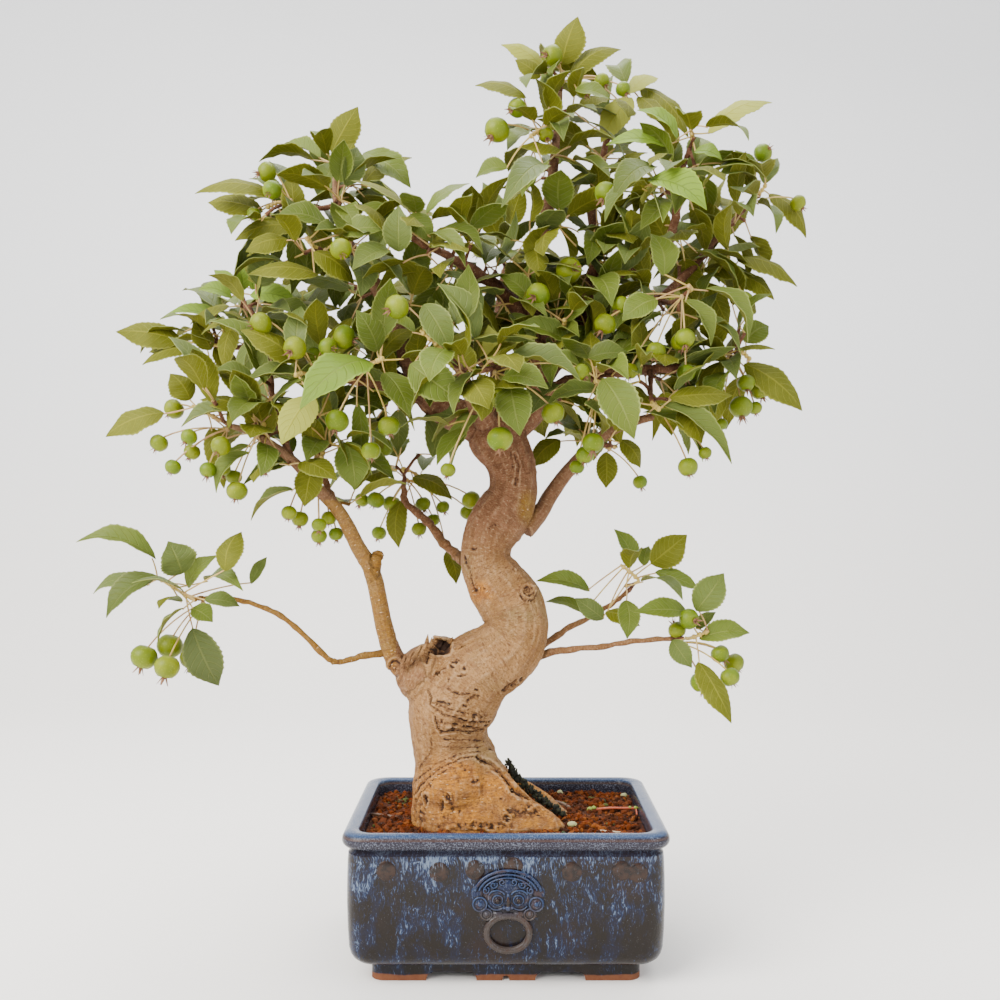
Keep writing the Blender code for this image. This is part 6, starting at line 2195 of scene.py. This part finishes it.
def stalk_material(settings):
    """Pale yellow to reddish leaf and apple stalks."""
    finish = Finish("stalk")
    bright = finish.attribute("tone")[0]
    color = finish.layers(
        (0.42, 0.27, 0.1),
        (bright, settings.stalk_color),
        (finish.between(finish.noise(90.0), 0.45, 0.7, 0.5), (0.24, 0.075, 0.04)),
    )
    return finish.done(color, 0.5, finish.bump(finish.noise(900.0), 0.0001))


def apple_material(settings):
    """Yellow-green skin with pale specks, greener or warmer on each apple."""
    finish = Finish("apple_skin")
    chance = finish.attribute("tone")[0]
    color = finish.layers(
        settings.skin_color,
        (chance, settings.ripe_color),
        (finish.between(finish.noise(70.0, 2.0), 0.4, 0.7, 0.5), (0.25, 0.275, 0.01)),
    )
    specks = finish.between(finish.cells(750.0), 0.12, 0.24, 0.0, 1.0)
    color = finish.mix(finish.times(specks, 0.35), color, (0.42, 0.45, 0.05))
    height = finish.noise(420.0, 3.0)
    return finish.done(color, 0.45, finish.bump(height, 0.0003, 0.35), Specular_IOR_Level=0.22)


def sepal_material():
    """Dry brown remains of the flower."""
    finish = Finish("sepal")
    color = finish.mix(finish.noise(600.0), (0.13, 0.055, 0.03), (0.3, 0.15, 0.07))
    return finish.done(color, 0.8, finish.bump(finish.noise(1500.0), 0.0002))


def bark_material(settings):
    """Smooth tan bark with specks, wrinkles, ochre patches, dark cracks and grooves partly of painted shade,
    and a painted highlight on ridges; red-brown crown wood.
    """
    finish = Finish("bark")
    crevice_dark_and_shade, _, ochre, crown, _ = finish.attribute("tone")
    grain = finish.attribute("grain")[4]
    fibres = finish.noise(330.0, 5.0, finish.stretch(grain, 1.0, 1.0, 0.16))
    blotches = finish.noise(34.0, 3.0)
    fine = finish.noise(160.0, 4.0)
    specks = finish.noise(1000.0, 3.0, finish.stretch(grain, 0.55, 0.55, 1.1), 0.7)
    rings = finish.noise(420.0, 4.0, finish.stretch(grain, 0.16, 0.16, 1.5))
    color = finish.layers(
        settings.bark_color,
        (finish.between(blotches, 0.36, 0.66), (0.3, 0.158, 0.058)),
        (finish.between(finish.noise(24.0, 2.0), 0.54, 0.7, 0.6), (0.18, 0.125, 0.045)),
        (finish.between(fine, 0.5, 0.72, 0.75), (0.17, 0.075, 0.028)),
        (finish.between(fibres, 0.52, 0.7, 0.4), (0.42, 0.26, 0.12)),
    )
    warm = finish.mix(finish.between(fine, 0.35, 0.65), settings.ochre_color, (0.24, 0.085, 0.014))
    color = finish.mix(finish.times(ochre, finish.between(blotches, 0.3, 0.6, 0.95, 0.55)), color, warm)
    twig = finish.mix(finish.between(fine, 0.35, 0.7), settings.crown_color, (0.19, 0.085, 0.045))
    olive = finish.mix(finish.between(fine, 0.35, 0.7), (0.105, 0.06, 0.006), (0.2, 0.12, 0.022))
    color = finish.layers(
        color,
        (crown, finish.mix(ochre, twig, olive)),
        (finish.between(specks, 0.5, 0.64, 0.7), (0.11, 0.045, 0.016)),
        (finish.between(specks, 0.3, 0.44, 0.0, 0.4), (0.5, 0.34, 0.18)),
        (finish.between(rings, 0.54, 0.66, 0.5), (0.15, 0.065, 0.025)),
        # painted highlight: ridges, where the tone's first value is below PLAIN, are painted paler
        (finish.between(crevice_dark_and_shade, 0.0, 0.25, 0.0, 0.4), (0.5, 0.33, 0.18)),
    )
    # painted shade: cracks, grooves, scars, knots and the stub's hollow are painted dark, partly the bark's
    # own dark
    broken_dark_and_shade = finish.plus(crevice_dark_and_shade, finish.times(finish.minus(specks, 0.5), 0.9))
    color = finish.layers(
        color,
        (finish.between(broken_dark_and_shade, 0.33, 0.58, 0.62), (0.11, 0.045, 0.018)),
        (finish.between(broken_dark_and_shade, 0.52, 0.88, 0.92), (0.022, 0.01, 0.006)),
    )
    dots = finish.stretch(grain, 0.45, 0.45, 1.3)
    pale = finish.between(finish.cells(300.0, dots), 0.1, 0.16, 0.0, 1.0)
    color = finish.mix(finish.times(pale, finish.between(ochre, 0.2, 0.8, 0.6, 0.22)), color,
                       (0.58, 0.4, 0.22))
    dark = finish.between(finish.cells(150.0, dots), 0.08, 0.16, 0.0, 1.0)
    color = finish.mix(finish.times(dark, finish.between(blotches, 0.4, 0.6, 0.85, 0.3)), color,
                       (0.1, 0.04, 0.016))
    height = finish.plus(fibres, finish.times(rings, 0.9))
    height = finish.minus(height, finish.times(specks, 0.7))
    return finish.done(color, 0.75, finish.bump(height, 0.0012, 0.95), Specular_IOR_Level=0.2)


def dark_moss_material():
    finish = Finish("dark_moss")
    share = finish.between(finish.noise(400.0, 3.0), 0.4, 0.7)
    color = finish.mix(share, (0.008, 0.008, 0.004), (0.035, 0.04, 0.012))
    return finish.done(color, 0.95, finish.bump(finish.noise(1800.0, 3.0), 0.0009, 1.0))


def glaze_runs(finish, height):
    """How strongly the glaze's thin pale runs show: densest below the rim, and in loose swarms lower down."""
    stray = finish.stretch(finish.noise(70.0, 2.0, color=True), 0.009, 0.009, 0.0)
    bent = finish.add("ShaderNodeVectorMath", {0: finish.place, 1: stray}, operation="ADD").outputs[0]
    hairs = finish.noise(1450.0, 2.0, finish.stretch(bent, 1.0, 1.0, 0.1), 0.6)
    runs = finish.noise(420.0, 3.0, finish.stretch(bent, 1.0, 1.0, 0.12), 0.6)
    swarms = finish.noise(75.0, 3.0, finish.stretch(bent, 1.0, 1.0, 0.6))
    share = finish.plus(finish.times(hairs, 0.68), finish.times(runs, 0.32))
    share = finish.plus(share, finish.times(finish.minus(swarms, 0.5), 0.42))
    share = finish.plus(share, finish.between(height, 0.02, 0.082, 0.005, -0.05))
    share = finish.plus(share, finish.between(height, 0.072, 0.084, 0.06))
    return share, swarms, hairs


def glaze_material(settings, raised=False):
    """Dark brown-black glaze with thin pale runs, a speckled lip, painted shade in the recess under the lip,
    and raw clay under the feet; on the raised mask, painted shade in hollows and a painted highlight on
    ridges.
    """
    finish = Finish("glaze_raised" if raised else "glaze")
    height = finish.split(finish.place)[2]
    share, swarms, hairs = glaze_runs(finish, height)
    specks = finish.noise(1300.0, 2.0)
    ground = finish.layers(
        settings.ground_color,
        (finish.between(swarms, 0.4, 0.65), (0.01, 0.01, 0.02)),
        (finish.between(finish.noise(30.0, 2.0), 0.5, 0.7), (0.016, 0.01, 0.008)),
    )
    color = finish.layers(
        ground,
        (finish.between(share, 0.5, 0.6, settings.runs), settings.blue_color),
        (finish.between(share, 0.57, 0.66, 0.8), (0.13, 0.17, 0.23)),
        (finish.between(specks, 0.66, 0.78, 0.5), (0.16, 0.17, 0.2)),
    )
    rim = finish.between(height, 0.0865, 0.0885)
    speckle = finish.between(finish.noise(1200.0, 3.0, rough=0.7), 0.48, 0.64)
    top = finish.between(height, 0.0962, 0.0975)
    dark = finish.mix(top, (0.018, 0.016, 0.024), (0.028, 0.05, 0.11))
    pale = finish.mix(top, (0.11, 0.12, 0.155), (0.1, 0.15, 0.24))
    speckle = finish.times(speckle, finish.between(finish.noise(70.0), 0.3, 0.6, 1.0, 0.55))
    lip = finish.mix(speckle, dark, pale)
    line = finish.stripe(height, (0.0942, 0.095), (0.0955, 0.0963))
    lip = finish.mix(finish.times(line, 0.55), lip, (0.07, 0.035, 0.02))
    color = finish.mix(rim, color, lip)
    # painted shade: the recess under the rolled lip is painted dark
    lip_recess_shade = finish.stripe(height, (0.0835, 0.085), (0.0865, 0.0885))
    color = finish.mix(finish.times(lip_recess_shade, 0.75), color, (0.018, 0.015, 0.022))
    if raised:
        hollow = finish.attribute("tone")[0]
        low = finish.between(height, 0.046, 0.056, 0.0, 1.0)
        skin = finish.mix(low, (0.009, 0.014, 0.04), (0.035, 0.026, 0.022))
        brown = finish.between(finish.noise(130.0, 2.0), 0.5, 0.62, 0.7)
        skin = finish.layers(
            skin,
            (brown, (0.04, 0.02, 0.012)),
            (finish.between(hairs, 0.54, 0.66, 0.4), finish.mix(low, (0.12, 0.15, 0.21), (0.08, 0.08, 0.09))),
        )
        # painted highlight: the mask's ridges are painted paler
        ridge = finish.mix(low, (0.03, 0.052, 0.11), (0.05, 0.04, 0.036))
        skin = finish.mix(finish.between(hollow, 0.15, 0.36, 0.0, 0.7), skin, ridge)
        # painted shade: the mask's hollows are painted near-black
        color = finish.mix(finish.between(hollow, 0.6, 0.9, 0.85), skin, (0.005, 0.004, 0.005))
    edge = finish.plus(height, finish.times(finish.noise(60.0), 0.004))
    clay = finish.between(edge, 0.0052, 0.0062, 0.0, 1.0)
    raw = finish.mix(finish.noise(300.0, 4.0), (0.1, 0.032, 0.015), (0.2, 0.075, 0.032))
    color = finish.mix(clay, color, raw)
    shine = finish.plus(finish.times(clay, 0.6), finish.between(specks, 0.4, 0.8, 0.26, 0.12))
    bumps = finish.plus(finish.times(hairs, 0.5), finish.noise(45.0, 2.0))
    return finish.done(color, shine, finish.bump(bumps, 0.0006, 0.5), Specular_IOR_Level=0.2)


def stud_material():
    """The studs' dark brown glaze, with some of the runs over them."""
    finish = Finish("stud_glaze")
    share = glaze_runs(finish, finish.split(finish.place)[2])[0]
    color = finish.layers(
        (0.009, 0.005, 0.004),
        (finish.between(finish.noise(260.0, 3.0), 0.35, 0.65), (0.026, 0.012, 0.007)),
        (finish.between(share, 0.62, 0.72, 0.7), (0.1, 0.13, 0.18)),
    )
    return finish.done(color, 0.2, finish.bump(finish.noise(300.0), 0.0003, 0.5), Specular_IOR_Level=0.28)


def soil_material(settings, loose=False):
    """Rust-brown damp grains of mixed shades; the soil under the crumbs is painted darker, as painted shade
    between them.
    """
    finish = Finish("crumbs" if loose else "soil")
    shades = finish.split(finish.cells(240.0 if loose else 420.0, output="Color"))
    color = finish.mix(finish.between(shades[0], 0.1, 0.9), settings.dark_color, settings.soil_color)
    if not loose:
        # painted shade: the soil between the crumbs is painted darker
        color = finish.mix(0.6, color, (0.03, 0.011, 0.006))
    color = finish.layers(
        color,
        (finish.between(shades[1], 0.7, 1.0, 0.7), (0.24, 0.07, 0.01)),
        (finish.between(finish.noise(30.0), 0.5, 0.75, 0.5), (0.06, 0.03, 0.02)),
    )
    height = finish.plus(finish.noise(900.0, 4.0), finish.times(finish.cells(420.0), -0.8))
    return finish.done(color, 0.9, finish.bump(height, 0.0009, 1.0), Specular_IOR_Level=0.15)


def moss_material(settings):
    finish = Finish("moss")
    share = finish.between(finish.noise(260.0, 3.0), 0.35, 0.65)
    color = finish.mix(share, (0.03, 0.045, 0.012), settings.moss_color)
    return finish.done(color, 0.95, finish.bump(finish.noise(2200.0, 3.0), 0.0009, 1.0))


def litter_material(kind):
    finish = Finish("litter_" + kind)
    dark, light = LITTER_COLORS[kind]
    color = finish.mix(finish.noise(300.0, 3.0), dark, light)
    return finish.done(color, 0.6, finish.bump(finish.noise(900.0), 0.0002))


def stage_material(name, floor, wall):
    """A plain floor that turns into the tone of the wall as it rises."""
    finish = Finish(name)
    height = finish.split(finish.place)[2]
    return finish.done(finish.mix(finish.between(height, 0.0, 0.8), floor, wall), 0.85)


# Stage


class BONSAI_OT_stage(bpy.types.Operator):
    """Set up a plain pale floor, soft lights, and the camera at the picture's angle"""

    bl_idname = "bonsai.stage"
    bl_label = "Set the stage"

    def execute(self, context):
        settings = context.scene.bonsai_stage
        self.add_sweep(settings)
        self.add_lights(settings)
        self.add_camera(context)
        world = context.scene.world or bpy.data.worlds.new("World")
        context.scene.world = world
        world.use_nodes = True
        background = world.node_tree.nodes["Background"]
        background.inputs["Color"].default_value = (*settings.sky_color, 1.0)
        background.inputs["Strength"].default_value = settings.sky
        return {"FINISHED"}

    def add_sweep(self, settings):
        """A floor that turns up in a wide curve behind the tree."""
        bpy.ops.mesh.primitive_plane_add(size=1.0)
        named("sweep").location = (0.0, BACK_OF_FLOOR - FLOOR_SIZE / 4, 0.0)
        sweep = scaled("sweep", (FLOOR_SIZE, FLOOR_SIZE / 2, 1.0))
        with editing():
            bpy.ops.mesh.select_all(action="DESELECT")
        back = {corner.index for corner in sweep.data.vertices if corner.co.y > BACK_OF_FLOOR - 0.01}
        for index in back:
            sweep.data.vertices[index].select = True
        for edge in sweep.data.edges:
            edge.select = back.issuperset(edge.vertices)
        bpy.ops.object.mode_set(mode="EDIT")
        bpy.ops.mesh.select_mode(type="EDGE")
        for step in range(SWEEP_STEPS):
            turn = math.pi / 2 * (step + 0.5) / SWEEP_STEPS
            reach = SWEEP_RADIUS * math.pi / 2 / SWEEP_STEPS
            bpy.ops.mesh.extrude_region_move(
                TRANSFORM_OT_translate={"value": (0, math.cos(turn) * reach, math.sin(turn) * reach)})
        bpy.ops.mesh.extrude_region_move(TRANSFORM_OT_translate={"value": (0, 0, WALL_HEIGHT)})
        bpy.ops.object.mode_set(mode="OBJECT")
        smooth(sweep)
        dress(sweep, stage_material("sweep", settings.floor_color, settings.wall_color))

    def add_lights(self, settings):
        for name, place, size, power, color in LIGHTS:
            bpy.ops.object.light_add(type="AREA", location=place)
            light = bpy.context.view_layer.objects.active
            light.name = name
            light.data.name = name
            light.data.size = size
            light.data.energy = power * settings.power
            light.data.color = color
            light.rotation_euler = (Vector(LIGHT_AIM) - Vector(place)).to_track_quat("-Z", "Y").to_euler()

    def add_camera(self, context):
        place = pot_point(VIEW_ACROSS, -VIEW_DISTANCE, VIEW_HEIGHT)
        bpy.ops.object.camera_add(location=place, rotation=(math.radians(90), 0, 0))
        camera = bpy.context.view_layer.objects.active
        camera.name = "camera"
        camera.data.sensor_width = SENSOR
        camera.data.lens = SENSOR * VIEW_FOCAL / VIEW_SIZE
        camera.data.shift_x = (VIEW_SIZE / 2 - VIEW_MIDDLE[0]) / VIEW_SIZE
        camera.data.shift_y = (VIEW_MIDDLE[1] - VIEW_SIZE / 2) / VIEW_SIZE
        camera.data.clip_start = 0.01
        context.scene.camera = camera


# Settings, panel and start


def color_setting(name, description, *color):
    return FloatVectorProperty(name=name, description=description, default=color, subtype="COLOR")


def length_setting(name, description, metres):
    return FloatProperty(name=name, description=description, default=metres, unit="LENGTH")


def number_setting(name, description, value):
    return FloatProperty(name=name, description=description, default=value)


class LeafSettings(bpy.types.PropertyGroup):
    tooth: number_setting("Tooth depth", "How far the edge's teeth stand out, as a share", 0.034)
    thickness: length_setting("Thickness", "How thick a blade is", 0.00035)
    glow: number_setting("Glow", "Share of light that passes through a blade", 0.22)
    upper_color: color_setting("Upper side", "Colour of a grown leaf from above", 0.128, 0.178, 0.012)
    under_color: color_setting("Under side", "Colour of a leaf from below", 0.098, 0.108, 0.001)
    young_color: color_setting("Young leaf", "Colour of a young leaf", 0.165, 0.29, 0.004)
    stalk_color: color_setting("Stalk", "Colour of a pale stalk", 0.5, 0.36, 0.075)


class AppleSettings(bpy.types.PropertyGroup):
    skin_color: color_setting("Skin", "Colour of a green apple", 0.088, 0.145, 0.0012)
    ripe_color: color_setting("Riper skin", "Colour of a yellower apple", 0.14, 0.165, 0.0012)


class WoodSettings(bpy.types.PropertyGroup):
    grain: length_setting("Grain", "Size of the wood's faces", 0.00105)
    kept: number_setting("Kept", "Share of the wood's faces that is kept after carving", 0.6)
    depth: number_setting("Bark depth", "How deep the bark is carved, as a share", 1.0)
    bark_color: color_setting("Bark", "Colour of the trunk's bark", 0.225, 0.108, 0.032)
    ochre_color: color_setting("Ochre", "Colour of the warm patches", 0.45, 0.17, 0.009)
    crown_color: color_setting("Branches", "Colour of the crown's branches", 0.085, 0.03, 0.015)


class PotSettings(bpy.types.PropertyGroup):
    stud_width: length_setting("Stud width", "Width of the studs", 0.0126)
    runs: number_setting("Runs", "Strength of the blue runs in the glaze", 0.8)
    ground_color: color_setting("Dark glaze", "Colour of the glaze between its runs", 0.011, 0.008, 0.006)
    blue_color: color_setting("Blue glaze", "Colour of the glaze's runs", 0.012, 0.026, 0.075)


class GroundSettings(bpy.types.PropertyGroup):
    roughness: number_setting("Roughness", "Height of the soil's bumps, in millimetres", 1.0)
    crumbs: IntProperty(name="Crumbs", description="Number of loose crumbs", default=2100)
    soil_color: color_setting("Soil", "Colour of the soil", 0.13, 0.025, 0.0012)
    dark_color: color_setting("Dark soil", "Colour of damp grains", 0.034, 0.009, 0.002)
    moss_color: color_setting("Moss", "Colour of the moss", 0.09, 0.1, 0.012)


class StageSettings(bpy.types.PropertyGroup):
    power: number_setting("Light", "Strength of the lights, as a share", 1.0)
    sky: number_setting("Sky", "Strength of the light from all round", 1.16)
    sky_color: color_setting("Sky colour", "Colour of the light from all round", 0.92, 0.95, 1.0)
    floor_color: color_setting("Floor", "Colour of the floor", 0.93, 0.89, 0.84)
    wall_color: color_setting("Wall", "Colour of the wall", 0.89, 0.89, 0.89)


class BONSAI_PT_panel(bpy.types.Panel):
    """Buttons and settings for each piece of the bonsai"""

    bl_label = "Bonsai"
    bl_idname = "BONSAI_PT_panel"
    bl_space_type = "VIEW_3D"
    bl_region_type = "UI"
    bl_category = "Bonsai"

    def draw(self, context):
        for operator, group in STEPS:
            box = self.layout.box()
            box.operator(operator)
            settings = getattr(context.scene, group)
            for name in settings.bl_rna.properties.keys():
                if name not in ("rna_type", "name"):
                    box.prop(settings, name)


GROUPS = {
    "bonsai_pot": PotSettings,
    "bonsai_ground": GroundSettings,
    "bonsai_wood": WoodSettings,
    "bonsai_leaves": LeafSettings,
    "bonsai_apples": AppleSettings,
    "bonsai_stage": StageSettings,
}
STEPS = (
    ("bonsai.pot", "bonsai_pot"),
    ("bonsai.ground", "bonsai_ground"),
    ("bonsai.wood", "bonsai_wood"),
    ("bonsai.leaves", "bonsai_leaves"),
    ("bonsai.apples", "bonsai_apples"),
    ("bonsai.stage", "bonsai_stage"),
)
CLASSES = (
    *GROUPS.values(), BONSAI_OT_pot, BONSAI_OT_ground, BONSAI_OT_wood, BONSAI_OT_leaves, BONSAI_OT_apples,
    BONSAI_OT_stage, BONSAI_PT_panel,
)


def register():
    for item in CLASSES:
        bpy.utils.register_class(item)
    for name, group in GROUPS.items():
        setattr(bpy.types.Scene, name, PointerProperty(type=group))


def unregister():
    for name in GROUPS:
        delattr(bpy.types.Scene, name)
    for item in reversed(CLASSES):
        bpy.utils.unregister_class(item)


def main():
    register()
    bpy.ops.bonsai.pot()
    bpy.ops.bonsai.ground()
    bpy.ops.bonsai.wood()
    bpy.ops.bonsai.leaves()
    bpy.ops.bonsai.apples()
    bpy.ops.bonsai.stage()


if __name__ == "__main__":
    main()
